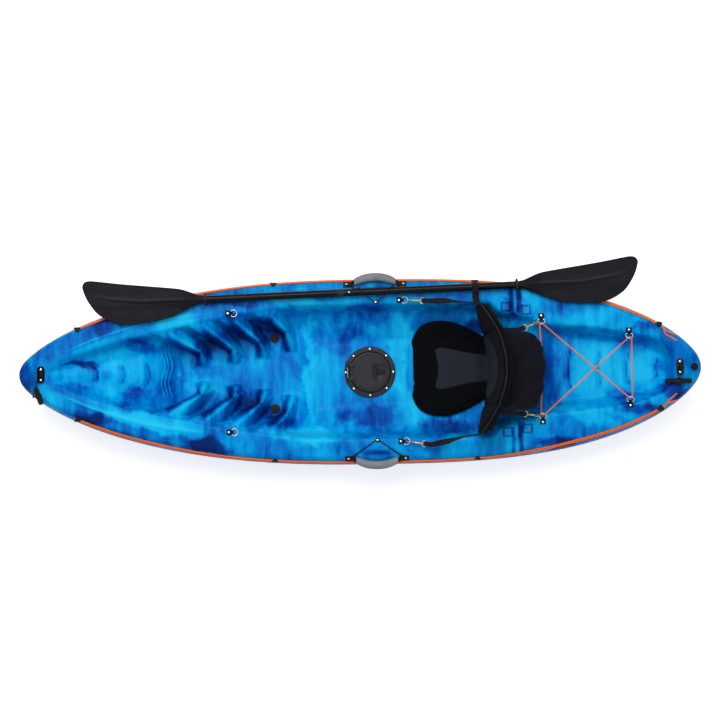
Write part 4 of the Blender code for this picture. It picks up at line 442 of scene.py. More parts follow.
def section(x):
    """Breadth, low, deck, widest, shoulder, track, rim, foot and floor edge at places along the hull."""
    breadth, low, deck = half_breadth(x), keel(x), sheer(x)
    widest = np.maximum(deck - GUNWALE_DROP, low + 0.3 * (deck - low))
    shoulder = np.maximum(breadth - SHOULDER_INSET, breadth * 0.55)
    track = np.maximum(breadth - LINE_TRACK_INSET, breadth * 0.85)
    rim = np.minimum(read_line(RIM_LINE, x), shoulder * 0.94)
    foot = np.maximum(rim - WALL_RUN, rim * 0.55)
    edge = np.minimum(read_line(FLOOR_EDGE_LINE, x), foot * 0.92)
    return breadth, low, deck, widest, shoulder, track, rim, foot, edge


def raw_deck(x, y):
    """Height of the deck and its wells before the mould's rounding."""
    _, _, deck, _, _, _, rim, foot, edge = section(x)
    across = np.clip(1 - (y / edge) ** 2, 0, 1)
    fade = np.minimum(1.0, np.minimum((TANK_WELL_END - x) / 0.12, np.abs(x - BOW_WELL_START) / 0.12))
    fade = np.where((x > FOOT_PAD_TOP - 0.10) & (x < 0), np.minimum(fade, (FOOT_PAD_TOP - x) / 0.10), fade)
    near_tank = (x > 0) & (x < TANK_WELL_START + 0.10)
    fade = np.maximum(np.where(near_tank, np.minimum(fade, (x - TANK_WELL_START) / 0.10), fade), 0.0)
    at = x - WELL_BULGE * np.where(x > 0, 1 - across, across) * fade
    plain = read_line(PLAIN_FLOOR, at)
    steps = (read_line(STEPPED_FLOOR, at) - plain) * np.clip(across * 2.2, 0, 1)
    floor = np.minimum(np.where((x > BOW_WELL_START) & (x < TANK_WELL_END), plain + steps, deck), deck)
    foot_height = floor + (deck - floor) * WALL_FOOT_SHARE
    lower = floor + (foot_height - floor) * np.clip((y - edge) / (foot - edge), 0, 1)
    upper = foot_height + (deck - foot_height) * np.clip((y - foot) / (rim - foot), 0, 1)
    return np.where(y < foot, lower, upper)


def brace_planes(brace, side):
    """Upward faces of the two solids of a foot brace, as (slope x, slope y, height)."""
    (tip_x, tip_y), foot, (knee_x, knee_y), front, rear = brace
    low = FOOTWELL_FLOOR - 0.0025
    knee = (knee_x, side * knee_y, BRACE_KNEE_HEIGHT)
    knee_front = (knee_x - BRACE_KNEE_FOOT, side * knee_y, low)
    knee_rear = (knee_x + 2 * BRACE_KNEE_FOOT, side * (knee_y + BRACE_KNEE_FOOT), low)
    ridge = [knee, knee_front, knee_rear]
    for (x, y), lean in ((front, -BRACE_LEAN), (rear, BRACE_LEAN)):
        for out in (0, BRACE_ROOT):
            top = float(sheer(x)) - BRACE_TOP_DROP
            ridge += [(x, side * (y + out), top), (x + lean, side * (y + out), low)]
    nose = [knee, knee_front, knee_rear]
    nose += [(tip_x - foot / 2, side * tip_y, low), (tip_x + foot / 2, side * tip_y, low)]
    found = []
    for corners in (ridge, nose):
        work = bmesh.new()
        for corner in corners:
            work.verts.new(corner)
        bmesh.ops.convex_hull(work, input=work.verts)
        planes = []
        for face in work.faces:
            face.normal_update()
            n = face.normal
            if abs(n.z) > 0.03:
                centre = sum((Vector(c) for c in corners), Vector()) / len(corners)
                if n.dot(face.calc_center_median() - centre) < 0:
                    n = -n
                if n.z > 0.03:
                    planes.append((-n.x / n.z, -n.y / n.z, n.dot(face.calc_center_median()) / n.z))
        work.free()
        found.append(planes)
    return found


GRID_STEP = 0.0025
GRID_START = (-1.360, -0.400)


def moulded_deck():
    """The deck as a height map, its corners rounded as the mould rounds them."""
    along = np.arange(GRID_START[0], 1.3601, GRID_STEP)
    across = np.arange(GRID_START[1], 0.4001, GRID_STEP)
    x, y = np.meshgrid(along, across, indexing="ij")
    height = raw_deck(x, np.abs(y))
    height = rounded_map(height, WALL_ROUNDING)
    for side, _ in SIDES:
        for brace in BRACES:
            for planes in brace_planes(brace, side):
                top = np.min([a * x + b * y + c for a, b, c in planes], axis=0)
                height = np.maximum(height, top)
    return rounded_map(height, BRACE_ROUNDING)


def rounded_map(height, radius):
    reach = np.arange(-6, 7)
    weights = np.exp(-(reach * GRID_STEP / radius) ** 2 / 2)
    weights /= weights.sum()
    for axis in (0, 1):
        height = sum(w * np.roll(height, s, axis) for w, s in zip(weights, reach))
    return height


DECK_MAP = moulded_deck()


def deck_height(x, y):
    """Reads the moulded deck between its grid points."""
    u = np.clip((np.asarray(x, float) - GRID_START[0]) / GRID_STEP, 0, DECK_MAP.shape[0] - 1.001)
    v = np.clip((np.asarray(y, float) - GRID_START[1]) / GRID_STEP, 0, DECK_MAP.shape[1] - 1.001)
    i, j = u.astype(int), v.astype(int)
    s, t = u - i, v - j
    near = DECK_MAP[i, j] * (1 - t) + DECK_MAP[i, j + 1] * t
    far = DECK_MAP[i + 1, j] * (1 - t) + DECK_MAP[i + 1, j + 1] * t
    return near * (1 - s) + far * s


def line_bump(distance, width):
    return np.exp(-(distance / width) ** 2)


def side_deck(x):
    """Where the side deck's rim and its crease lie, and how far the crease shows: only at the bow."""
    breadth = half_breadth(x)
    rim = np.minimum(read_line(RIM_LINE, x), breadth)
    crease = np.maximum(np.minimum(breadth - SHOULDER_INSET - CREASE_INSET, breadth * 0.7), rim + 0.012)
    shown = np.clip((-0.60 - x) / 0.08, 0, 1) * np.clip((x + 1.14) / 0.05, 0, 1)
    return rim, crease, shown


def pad_wave(y):
    """How the foot pad's lines wander from side to side."""
    return 0.006 * np.sin(y * 46.0)


def deck_details(x, y):
    """Fine moulded lines on top of the rounded deck."""
    side = np.abs(y)
    rim, crease, at_bow = side_deck(x)
    on_deck = np.clip((side - rim - 0.002) / 0.012, 0, 1)
    grooves = sum(line_bump(x - at, 0.0055) for at in CROSS_GROOVES)
    result = -0.0045 * grooves * on_deck
    on_pad = np.clip((0.095 - side) / 0.02, 0, 1)
    for at in PAD_LINES:
        result += -0.0022 * line_bump(x - at - pad_wave(y), 0.0032) * on_pad
    result += 0.0022 * line_bump(side - crease, 0.006) * at_bow
    return result


def drawn_flank(x):
    """(y, z) points down the side from the deck's edge to the keel, its corners rounded."""
    breadth, low, deck, widest, shoulder, track, *_ = section(x)
    span = widest - low
    channel = np.minimum(CHANNEL_DEPTH, span * 0.15)
    inner = shoulder - np.minimum(0.010, shoulder * 0.1)
    ys = [inner, shoulder, track, breadth, breadth * 0.975, breadth * 0.90]
    zs = [deck, deck, deck - LINE_TRACK_DROP, widest, low + span * 0.56, low + span * 0.20]
    for share, rise in ((0.70, 0.001), (0.56, 0), (0.42, channel), (0.24, channel), (0.10, 0), (0.0, 0)):
        ys.append(breadth * share)
        zs.append(low + rise)
    line = np.stack([np.stack(ys, -1), np.stack(zs, -1)], -1)
    for _ in range(2):
        a, b = line[:, :-1], line[:, 1:]
        cut = np.stack([a * 0.75 + b * 0.25, a * 0.25 + b * 0.75], 2).reshape(len(line), -1, 2)
        line = np.concatenate([line[:, :1], cut, line[:, -1:]], 1)
    return line


def build_hull():
    """The moulded hull: the deck's height map closed by the rounded flanks and bottom."""
    ends = np.array([1.304, 1.309, 1.314, 1.3185, 1.3225, 1.326, 1.3285])
    middle = [np.linspace(-1.30, -0.83, 66), np.linspace(-0.825, -0.245, 146), np.linspace(-0.240, 1.30, 214)]
    x = np.concatenate([-ends[::-1], *middle, ends])
    flank = drawn_flank(x)
    columns = 119
    s = np.linspace(1, -1, columns)
    deck_y = flank[:, :1, 0] * s
    far_x = np.repeat(x[:, None], columns, 1)
    deck_z = deck_height(far_x, deck_y) + deck_details(far_x, deck_y)
    blend = np.clip((np.abs(s) - 0.94) / 0.06, 0, 1)
    deck_z = deck_z * (1 - blend) + flank[:, :1, 1] * blend
    deck = np.stack([far_x, deck_y, deck_z], -1)
    down = flank[:, 1:]
    port = np.stack([np.repeat(x[:, None], down.shape[1], 1), -down[..., 0], down[..., 1]], -1)
    starboard = (port * (1, -1, 1))[:, ::-1][:, 1:]
    rings = np.concatenate([deck, port, starboard], 1)
    noses = []
    for end in (0, -1):
        ring = rings[end]
        middle = ring.mean(0)
        caps = []
        for out, narrow in ((0.0010, 0.72), (0.0016, 0.40), (0.0018, 0.06)):
            cap = ring.copy()
            cap[:, 0] += math.copysign(out, x[end])
            cap[:, 1] *= narrow
            cap[:, 2] = middle[2] + (cap[:, 2] - middle[2]) * (1 - 0.04 * (1 - narrow))
            caps.append(cap)
        noses.append(np.array(caps))
    rings = np.concatenate([noses[0][::-1], rings, noses[1]], 0)
    rings[..., 0] -= STERN_TIP_TRIM * np.clip((rings[..., 0] - TIP_START) / TIP_RUN, 0, 1.1) ** 3
    rings[..., 0] += BOW_TIP_TRIM * np.clip((-rings[..., 0] - TIP_START) / TIP_RUN, 0, 1.1) ** 3
    rows, count = rings.shape[:2]
    index = np.arange(rows * count).reshape(rows, count)
    after = np.roll(index, -1, 1)
    quads = np.stack([index[:-1], after[:-1], after[1:], index[1:]], -1).reshape(-1, 4).tolist()
    quads += [index[0][::-1].tolist(), index[-1].tolist()]
    hull = outward(new_piece("moulded_hull", rings.reshape(-1, 3), quads))
    cutters = []
    for side, _ in SIDES:
        sx, sy = SCUPPER_PLACE
        cutters.append(rod("scupper_bore", SCUPPER_BORE, 0.34, (sx, side * sy, 0.0), 48))
        for ix, iy in INSERT_PLACES:
            seat = deck_frame(ix, side * iy)
            pocket = block("pocket", (0.030, 0.030, 0.016), (0, 0, 0.004), 0.0035, 3)
            cutters.append(settle(pocket, seat))
            cutters.append(settle(rod("insert_bore", INSERT_BORE, 0.020, (0, 0, -0.010), 24), seat))
    cutters.append(rod("hatch_tub", HATCH_TUB, 0.22, (HATCH_PLACE, 0, 0.145), 96))
    drain = rod("drain_bore", DRAIN_BORE, 0.06, (0, 0, -0.005), 32)
    cutters.append(settle(drain, deck_frame(DRAIN_PLACE, 0)))
    cut_away(hull, joined("hull_cutters", cutters))
    soft_shade(hull, 42)
    paint_marbling_and_shade(hull)
    coloured(hull, marbled_plastic())
    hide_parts("hull")
    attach(hull, "boat")
    return hull


def deck_frame(x, y, heading=0.0, lift=0.0):
    """Placement on the side deck: Z square to the deck, X turned by heading degrees."""
    step = 0.004
    slope = math.atan2(float(sheer(x + step) - sheer(x - step)), 2 * step)
    tilt = Matrix.Rotation(-slope, 4, "Y")
    turn = Matrix.Rotation(math.radians(heading), 4, "Z")
    return Matrix.Translation((x, y, float(sheer(x)))) @ tilt @ Matrix.Translation((0, 0, lift)) @ turn


# Marbling: broad clouds of colour, from 0 navy to 1 pale cyan, as (x, y, half length, half width, turn, tone)
# Some clouds also paint light and shade: the dark ones on the starboard brace walls are partly painted shade,
# and the pale one at x -0.150 on the starboard side deck is painted light that lifts the paddle's shadow.
CLOUDS = (
    (-1.310, 0.000, 0.070, 0.070, 0, 0.17), (-1.080, -0.235, 0.260, 0.045, 22, 0.14),
    (-1.020, -0.165, 0.075, 0.032, 18, 0.03), (-0.830, -0.178, 0.190, 0.040, 17, 0.97),
    (-0.820, -0.240, 0.180, 0.030, 17, 0.56), (-0.590, -0.278, 0.090, 0.034, 8, 0.03),
    (-0.970, 0.182, 0.060, 0.030, -20, 0.14), (-1.120, 0.120, 0.110, 0.040, -35, 0.34),
    (-0.985, 0.000, 0.210, 0.110, 0, 0.66), (-1.070, 0.045, 0.055, 0.012, -5, 0.16),
    (-1.130, -0.050, 0.075, 0.022, 25, 0.34), (-0.995, 0.000, 0.035, 0.020, 0, 0.45),
    (-0.885, -0.095, 0.050, 0.030, 0, 0.36), (-0.860, 0.105, 0.050, 0.035, 0, 0.25),
    (-0.750, 0.000, 0.035, 0.110, 0, 0.44), (-0.690, 0.000, 0.030, 0.090, 0, 0.78),
    (-0.720, 0.190, 0.080, 0.030, -15, 0.78), (-0.490, 0.268, 0.100, 0.016, 0, 0.25),
    (-0.300, 0.275, 0.060, 0.022, 0, 0.88), (-0.580, 0.120, 0.060, 0.050, -35, 0.20),
    (-0.480, 0.165, 0.070, 0.040, -35, 0.18), (-0.370, 0.165, 0.050, 0.045, -35, 0.22),
    (-0.590, -0.130, 0.060, 0.050, 35, 0.36), (-0.440, -0.120, 0.090, 0.040, 35, 0.22),
    (-0.330, -0.170, 0.060, 0.030, 35, 0.20), (-0.545, 0.000, 0.025, 0.050, 0, 0.60),
    (-0.440, 0.000, 0.030, 0.055, 0, 0.58), (-0.205, 0.020, 0.022, 0.190, 0, 0.92),
    (-0.150, -0.010, 0.040, 0.140, 0, 0.66), (-0.030, 0.150, 0.065, 0.030, 0, 0.28),
    (-0.060, 0.225, 0.080, 0.030, 0, 0.40), (-0.040, -0.165, 0.060, 0.022, 0, 0.33),
    (-0.240, -0.240, 0.110, 0.032, 2, 0.96), (-0.080, -0.285, 0.110, 0.024, 0, 0.46),
    (0.160, 0.030, 0.042, 0.230, 0, 0.88), (0.045, 0.215, 0.070, 0.036, 0, 0.28),
    (0.060, -0.180, 0.075, 0.050, 0, 0.28), (0.360, -0.205, 0.090, 0.030, 0, 0.16),
    (0.220, -0.160, 0.060, 0.060, 0, 0.80), (0.330, 0.190, 0.100, 0.030, 0, 0.40),
    (0.450, 0.165, 0.060, 0.035, -30, 0.08), (0.360, 0.275, 0.090, 0.020, 0, 0.36),
    (0.180, 0.265, 0.070, 0.020, 0, 0.72), (0.545, 0.260, 0.050, 0.050, 0, 0.62),
    (0.600, 0.240, 0.016, 0.060, 0, 0.22), (0.660, 0.260, 0.040, 0.045, 0, 0.74),
    (0.580, -0.250, 0.080, 0.060, 0, 0.66), (0.600, -0.240, 0.014, 0.050, 0, 0.30),
    (0.760, 0.000, 0.045, 0.130, 0, 0.34), (0.960, 0.000, 0.140, 0.110, 0, 0.80),
    (0.760, 0.240, 0.030, 0.050, 0, 0.28), (0.900, 0.190, 0.100, 0.030, -12, 0.76),
    (1.090, 0.160, 0.060, 0.022, -25, 0.30), (1.220, 0.040, 0.060, 0.060, 0, 0.40),
    (1.200, -0.085, 0.080, 0.032, 32, 0.10), (0.900, -0.180, 0.140, 0.034, 10, 0.86),
    (1.080, -0.150, 0.120, 0.020, 24, 0.20), (0.760, -0.290, 0.070, 0.030, 0, 0.08),
    (1.050, -0.225, 0.120, 0.024, 22, 0.52), (1.120, 0.215, 0.140, 0.024, -30, 0.62),
    (1.105, 0.000, 0.050, 0.070, 0, 0.94), (-0.150, 0.268, 0.120, 0.022, 0, 0.86),
)
CLOUD_BASE, CLOUD_SEED = 0.52, 5
CLOUD_WARP = ((9.0, 1.0), (27.0, 0.5), (80.0, 0.22))


def painted_shade_and_highlights(x, y, z):
    """Painted shade in walls, grooves, step risers and pocket edges and painted highlights on ridges and
    crests, with the hull's edge painted lighter to starboard and darker to port.
    """
    shade = np.zeros(len(x))
    # painted shade along the edges of the insert pockets
    for cx, cy in INSERT_PLACES:
        far = np.maximum(np.abs(x - cx), np.abs(np.abs(y) - cy))
        shade -= 0.42 * line_bump(far - 0.0160, 0.0026)
    edge = section(x)[8]
    across = np.clip(1 - (y / edge) ** 2, 0, 1)
    # painted shade on the risers of the well steps
    for at in BOW_WELL_STEPS + TANK_STEPS:
        off = x - at - WELL_BULGE * (across if at < 0 else 1 - across)
        inside = np.clip((across - 0.52) / 0.2, 0, 1)
        shade -= (0.42 * line_bump(off - 0.001, 0.0038) + 0.20 * line_bump(off + 0.010, 0.0080)) * inside
    middle = np.clip((0.100 - np.abs(y)) / 0.02, 0, 1)
    # painted highlight and painted shade along the foot pad's lines
    for at in PAD_LINES:
        off = x - at - pad_wave(y)
        shade += (0.30 * line_bump(off, 0.0024) - 0.20 * line_bump(off - 0.0055, 0.0028)) * middle
    rim, crease, bow = side_deck(x)
    on_deck = np.clip((np.abs(y) - rim) / 0.012, 0, 1)
    # painted highlight on the cross-deck ridge, painted shade in its grooves
    for at, width, tone in zip((CROSS_RIDGE, *CROSS_GROOVES), (0.0050, 0.0050, 0.0065), (0.34, -0.42, -0.50)):
        shade += tone * line_bump(x - at, width) * on_deck
    # painted shade where a hand scoop would sit beside each carrying handle; the deck has no scoop
    painted_scoop_shade = np.exp(-((x - 0.062) / 0.052) ** 4) * line_bump(np.abs(y) - 0.3150, 0.0110)
    shade -= 0.42 * painted_scoop_shade
    # painted highlight along the bow's crease, and painted shade on the port side beyond it
    shade += 0.26 * line_bump(np.abs(y) - crease, 0.0030) * bow
    shade -= 0.16 * np.clip((-y - crease - 0.003) / 0.004, 0, 1) * bow
    # painted highlight along each brace's crest and painted shade on the wall beside it
    for side, _ in SIDES:
        for (tip_x, tip_y), foot, knee, front, rear in BRACES:
            root = ((front[0] + rear[0]) / 2 + 0.016, (front[1] + rear[1]) / 2)
            crest = ((tip_x + foot * 0.10, tip_y + 0.006), knee, root)
            for (ax, ay), (bx, by) in zip(crest, crest[1:]):
                run = np.hypot(bx - ax, by - ay)
                along = ((x - ax) * (bx - ax) + (side * y - ay) * (by - ay)) / run ** 2
                off = ((x - ax) * (by - ay) - (side * y - ay) * (bx - ax)) / run
                inside = np.clip(along / 0.08, 0, 1) * np.clip((1 - along) / 0.08, 0, 1)
                shade += 0.26 * line_bump(off - 0.004, 0.0060) * inside
                shade -= 0.34 * line_bump(off + 0.017, 0.0100) * inside
    shade *= np.clip((z - deck_height(x, y) + 0.012) / 0.004, 0, 1)
    # painted light on the starboard edge and painted shade on the port edge, as the lamps fall
    painted_edge_light_and_shade = np.clip((np.abs(y) - half_breadth(x) + LINE_TRACK_INSET) / 0.005, 0, 1)
    painted_edge_light_and_shade *= np.clip((z - sheer(x) + 0.075) / 0.035, 0, 1)
    return shade + np.where(y > 0, 0.18, -0.22) * painted_edge_light_and_shade


def paint_marbling_and_shade(hull):
    """Writes the clouds' tone on the hull's points, their edges torn by noise, with the moulding's painted
    shade and highlights added.
    """
    mesh = hull.data
    count = len(mesh.vertices)
    place = np.zeros(count * 3)
    mesh.vertices.foreach_get("co", place)
    place = place.reshape(-1, 3)
    noise.seed_set(CLOUD_SEED)
    warp = []
    for p in place:
        p = Vector(p)
        warp.append(sum((noise.noise_vector(p * scale) * share for scale, share in CLOUD_WARP), Vector()))
    warp = np.array(warp)
    x = place[:, 0] + warp[:, 0] * 0.045
    y = place[:, 1] + warp[:, 1] * 0.030
    tone = np.full(count, CLOUD_BASE)
    for cx, cy, length, width, turn, value in CLOUDS:
        c, s = math.cos(math.radians(turn)), math.sin(math.radians(turn))
        u = ((x - cx) * c - (y - cy) * s) / length
        v = ((x - cx) * s + (y - cy) * c) / width
        weight = 1 / (1 + (u * u + v * v) ** 3.4)
        tone += (value - tone) * weight
    # painted shade and highlights of the moulding, on top of the clouds
    tone += painted_shade_and_highlights(place[:, 0], place[:, 1], place[:, 2])
    outside = np.abs(place[:, 1]) > half_breadth(place[:, 0]) * 0.86
    under = np.clip((0.19 - place[:, 2]) / 0.05, 0, 1) * outside
    tone += (0.42 - tone) * under * 0.7
    layer = mesh.attributes.new("cloud_tone_and_painted_shade", "FLOAT", "POINT")
    layer.data.foreach_set("value", tone.astype(np.float32))


# Materials

def surface_of(name, colour=(0.5, 0.5, 0.5), roughness=0.5, metallic=0.0, gloss=0.5):
    made = bpy.data.materials.new(name)
    made.use_nodes = True
    made.diffuse_color = (*colour, 1.0)
    shader = made.node_tree.nodes["Principled BSDF"]
    shader.inputs["Base Color"].default_value = (*colour, 1.0)
    shader.inputs["Roughness"].default_value = roughness
    shader.inputs["Metallic"].default_value = metallic
    shader.inputs["Specular IOR Level"].default_value = gloss
    return made, made.node_tree, shader


def node(tree, kind, **values):
    """Adds a node and fills its sockets or settings by name."""
    made = tree.nodes.new(kind)
    for name, value in values.items():
        socket = made.inputs.get(name.replace("_", " ").title()) if name not in dir(made) else None
        if socket is not None:
            if hasattr(value, "is_linked"):
                tree.links.new(value, socket)
            else:
                socket.default_value = value
        else:
            setattr(made, name, value)
    return made


def coordinates(tree, kind="Object"):
    return tree.nodes.new("ShaderNodeTexCoord").outputs[kind]


def noise_of(tree, where, scale, detail=4.0, roughness=0.6, distortion=0.0):
    settings = {"scale": scale, "detail": detail, "roughness": roughness, "distortion": distortion}
    made = node(tree, "ShaderNodeTexNoise", **settings)
    tree.links.new(where, made.inputs["Vector"])
    return made.outputs["Fac"]


def stretched(tree, where, scale=(1, 1, 1), turn=(0, 0, 0), shift=(0, 0, 0)):
    made = tree.nodes.new("ShaderNodeMapping")
    made.inputs["Scale"].default_value = scale
    made.inputs["Rotation"].default_value = [math.radians(a) for a in turn]
    made.inputs["Location"].default_value = shift
    tree.links.new(where, made.inputs["Vector"])
    return made.outputs["Vector"]


def maths(tree, operation, a, b=0.0, c=None):
    made = tree.nodes.new("ShaderNodeMath")
    made.operation = operation
    for socket, value in zip(made.inputs, (a, b, c)):
        if value is None:
            continue
        if hasattr(value, "is_linked"):
            tree.links.new(value, socket)
        else:
            socket.default_value = value
    return made.outputs[0]


def ramp(tree, value, *stops):
    made = tree.nodes.new("ShaderNodeValToRGB")
    tree.links.new(value, made.inputs["Fac"])
    band_of = made.color_ramp
    while len(band_of.elements) < len(stops):
        band_of.elements.new(0.5)
    for element, (place, colour) in zip(band_of.elements, stops):
        element.position = place
        element.color = (*colour, 1.0) if hasattr(colour, "__len__") else (colour, colour, colour, 1.0)
    return made.outputs["Color"]


def bump(tree, shader, height, distance, strength=1.0):
    made = tree.nodes.new("ShaderNodeBump")
    made.inputs["Strength"].default_value = strength
    made.inputs["Distance"].default_value = distance
    tree.links.new(height, made.inputs["Height"])
    tree.links.new(made.outputs["Normal"], shader.inputs["Normal"])


NAVY = (0.0, 0.018, 0.125)
ROYAL = (0.0, 0.066, 0.370)
AZURE = (0.0, 0.190, 0.600)
CYAN = (0.0, 0.370, 0.760)
PALE_CYAN = (0.010, 0.520, 0.850)


def marbled_plastic():
    """Two resins swirled together: torn clouds with a powdery edge, a fine satin grain and light scuffs; the
    clouds' point attribute also carries painted shade and highlights.
    """
    made, tree, shader = surface_of("marbled_hull_plastic", AZURE, 0.45, 0.0, 0.04)
    where = coordinates(tree)
    tone = node(tree, "ShaderNodeAttribute", attribute_name="cloud_tone_and_painted_shade").outputs["Fac"]
    swirl = noise_of(tree, stretched(tree, where, (1.0, 0.50, 1.0)), 9.0, 8.0, 0.60, 0.9)
    streaks = noise_of(tree, stretched(tree, where, (1.0, 0.14, 0.6)), 38.0, 5.0, 0.62)
    powder = noise_of(tree, where, 170.0, 3.0, 0.7)
    value = maths(tree, "MULTIPLY_ADD", maths(tree, "SUBTRACT", swirl, 0.5), 1.00, tone)
    value = maths(tree, "MULTIPLY_ADD", maths(tree, "SUBTRACT", streaks, 0.5), 0.60, value)
    value = maths(tree, "MULTIPLY_ADD", maths(tree, "SUBTRACT", powder, 0.5), 0.24, value)
    colour = ramp(tree, value, (0.06, NAVY), (0.27, ROYAL), (0.47, AZURE), (0.68, CYAN), (0.95, PALE_CYAN))
    tree.links.new(colour, shader.inputs["Base Color"])
    scuffs = noise_of(tree, stretched(tree, where, (1.0, 9.0, 1.0), (0, 0, 24)), 16.0, 5.0)
    tree.links.new(ramp(tree, scuffs, (0.35, 0.31), (0.75, 0.43)), shader.inputs["Roughness"])
    bump(tree, shader, noise_of(tree, where, 900.0, 2.0), 0.00012, 0.5)
    return made


@cache
def moulded_plastic(name, dark, light, roughness=0.45, grain=1200.0, depth=0.00008, gloss=0.22):
    """Black or grey moulded plastic with a fine spark-eroded grain and a roughness that varies in patches."""
    made, tree, shader = surface_of(name, light, roughness, 0.0, gloss)
    where = coordinates(tree)
    clouding = noise_of(tree, where, 28.0, 5.0)
    tree.links.new(ramp(tree, clouding, (0.3, dark), (0.7, light)), shader.inputs["Base Color"])
    worn = noise_of(tree, where, 60.0, 4.0)
    sheen = ramp(tree, worn, (0.3, roughness - 0.06), (0.7, roughness + 0.08))
    tree.links.new(sheen, shader.inputs["Roughness"])
    bump(tree, shader, noise_of(tree, where, grain, 2.0), depth, 0.6)
    return made


@cache
def metal(name, dark, light, roughness):
    """Bright metal with fine brushed scratches."""
    made, tree, shader = surface_of(name, light, roughness, 1.0)
    where = coordinates(tree)
    clouding = noise_of(tree, where, 180.0, 3.0)
    tree.links.new(ramp(tree, clouding, (0.25, dark), (0.65, light)), shader.inputs["Base Color"])
    scratches = noise_of(tree, stretched(tree, where, (1, 14, 1), (0, 0, 35)), 420.0, 3.0)
    sheen = ramp(tree, scratches, (0.3, roughness - 0.05), (0.7, roughness + 0.12))
    tree.links.new(sheen, shader.inputs["Roughness"])
    bump(tree, shader, scratches, 0.00002, 0.4)
    return made


@cache
def braided_cord(name, dark, light, pitch=0.0032):
    """A round braid: two sets of strands that cross on the slant, read from the cord's UV map."""
    made, tree, shader = surface_of(name, light, 0.62, 0.0, 0.15)
    parts = node(tree, "ShaderNodeSeparateXYZ")
    tree.links.new(coordinates(tree, "UV"), parts.inputs[0])
    u = maths(tree, "MULTIPLY", parts.outputs["X"], math.tau / pitch)
    v = maths(tree, "MULTIPLY", parts.outputs["Y"], math.tau / (pitch * 1.6))
    right = maths(tree, "SINE", maths(tree, "ADD", u, v))
    left = maths(tree, "SINE", maths(tree, "SUBTRACT", u, v))
    strands = maths(tree, "MULTIPLY_ADD", maths(tree, "MULTIPLY", right, left), 0.5, 0.5)
    fuzz = noise_of(tree, coordinates(tree), 700.0, 3.0)
    height = maths(tree, "MULTIPLY_ADD", fuzz, 0.35, strands)
    tree.links.new(ramp(tree, height, (0.25, dark), (0.85, light)), shader.inputs["Base Color"])
    bump(tree, shader, height, 0.0005, 0.8)
    return made


@cache
def woven_webbing(name, dark, light, rib=0.0024):
    """Flat webbing: cross ribs and a herringbone down its length, read from the band's UV map."""
    made, tree, shader = surface_of(name, light, 0.72, 0.0, 0.14)
    parts = node(tree, "ShaderNodeSeparateXYZ")
    tree.links.new(coordinates(tree, "UV"), parts.inputs[0])
    ribs = maths(tree, "SINE", maths(tree, "MULTIPLY", parts.outputs["Y"], math.tau / rib))
    zigzag = maths(tree, "PINGPONG", parts.outputs["X"], 0.0035)
    slant = maths(tree, "ADD", zigzag, parts.outputs["Y"])
    twill = maths(tree, "SINE", maths(tree, "MULTIPLY", slant, math.tau / 0.0012))
    height = maths(tree, "MULTIPLY_ADD", twill, 0.25, maths(tree, "MULTIPLY_ADD", ribs, 0.25, 0.5))
    tree.links.new(ramp(tree, height, (0.1, dark), (0.9, light)), shader.inputs["Base Color"])
    shader.inputs["Sheen Weight"].default_value = 0.03
    bump(tree, shader, height, 0.0003, 0.7)
    return made


@cache
def padded_textile(name, dark, light, thread=0.0011, roughness=0.85, sheen=0.01):
    """Woven cover cloth: warp and weft threads over a soft, slightly faded ground."""
    made, tree, shader = surface_of(name, light, roughness, 0.0, 0.05)
    where = coordinates(tree)
    parts = node(tree, "ShaderNodeSeparateXYZ")
    tree.links.new(where, parts.inputs[0])
    across = maths(tree, "ADD", parts.outputs["Y"], maths(tree, "MULTIPLY", parts.outputs["Z"], 0.31))
    down = maths(tree, "ADD", parts.outputs["X"], maths(tree, "MULTIPLY", parts.outputs["Z"], 0.83))
    warp = maths(tree, "SINE", maths(tree, "MULTIPLY", across, math.tau / thread))
    weft = maths(tree, "SINE", maths(tree, "MULTIPLY", down, math.tau / thread))
    weave = maths(tree, "MULTIPLY_ADD", maths(tree, "MULTIPLY", warp, weft), 0.5, 0.5)
    fade = noise_of(tree, where, 14.0, 6.0, 0.65)
    value = maths(tree, "MULTIPLY_ADD", weave, 0.35, maths(tree, "MULTIPLY", fade, 0.75))
    tree.links.new(ramp(tree, value, (0.25, dark), (0.75, light)), shader.inputs["Base Color"])
    shader.inputs["Sheen Weight"].default_value = sheen
    shader.inputs["Sheen Roughness"].default_value = 0.5
    bump(tree, shader, weave, 0.00025, 0.7)
    return made


def black_plastic():
    return moulded_plastic("black_moulding", (0.003, 0.003, 0.004), (0.008, 0.008, 0.010), 0.40, gloss=0.12)


def hatch_plastic():
    dark, light = (0.008, 0.009, 0.013), (0.016, 0.017, 0.024)
    return moulded_plastic("hatch_moulding", dark, light, 0.42, 900.0, gloss=0.16)


def mixed_in(tree, shader, share, colour):
    """Lays a second colour or texture over a shader's own, by a share from 0 to 1."""
    mix = tree.nodes.new("ShaderNodeMix")
    mix.data_type = "RGBA"
    tree.links.new(share, mix.inputs["Factor"])
    tree.links.new(shader.inputs["Base Color"].links[0].from_socket, mix.inputs["A"])
    if hasattr(colour, "is_linked"):
        tree.links.new(colour, mix.inputs["B"])
    else:
        mix.inputs["B"].default_value = (*colour, 1)
    tree.links.new(mix.outputs["Result"], shader.inputs["Base Color"])


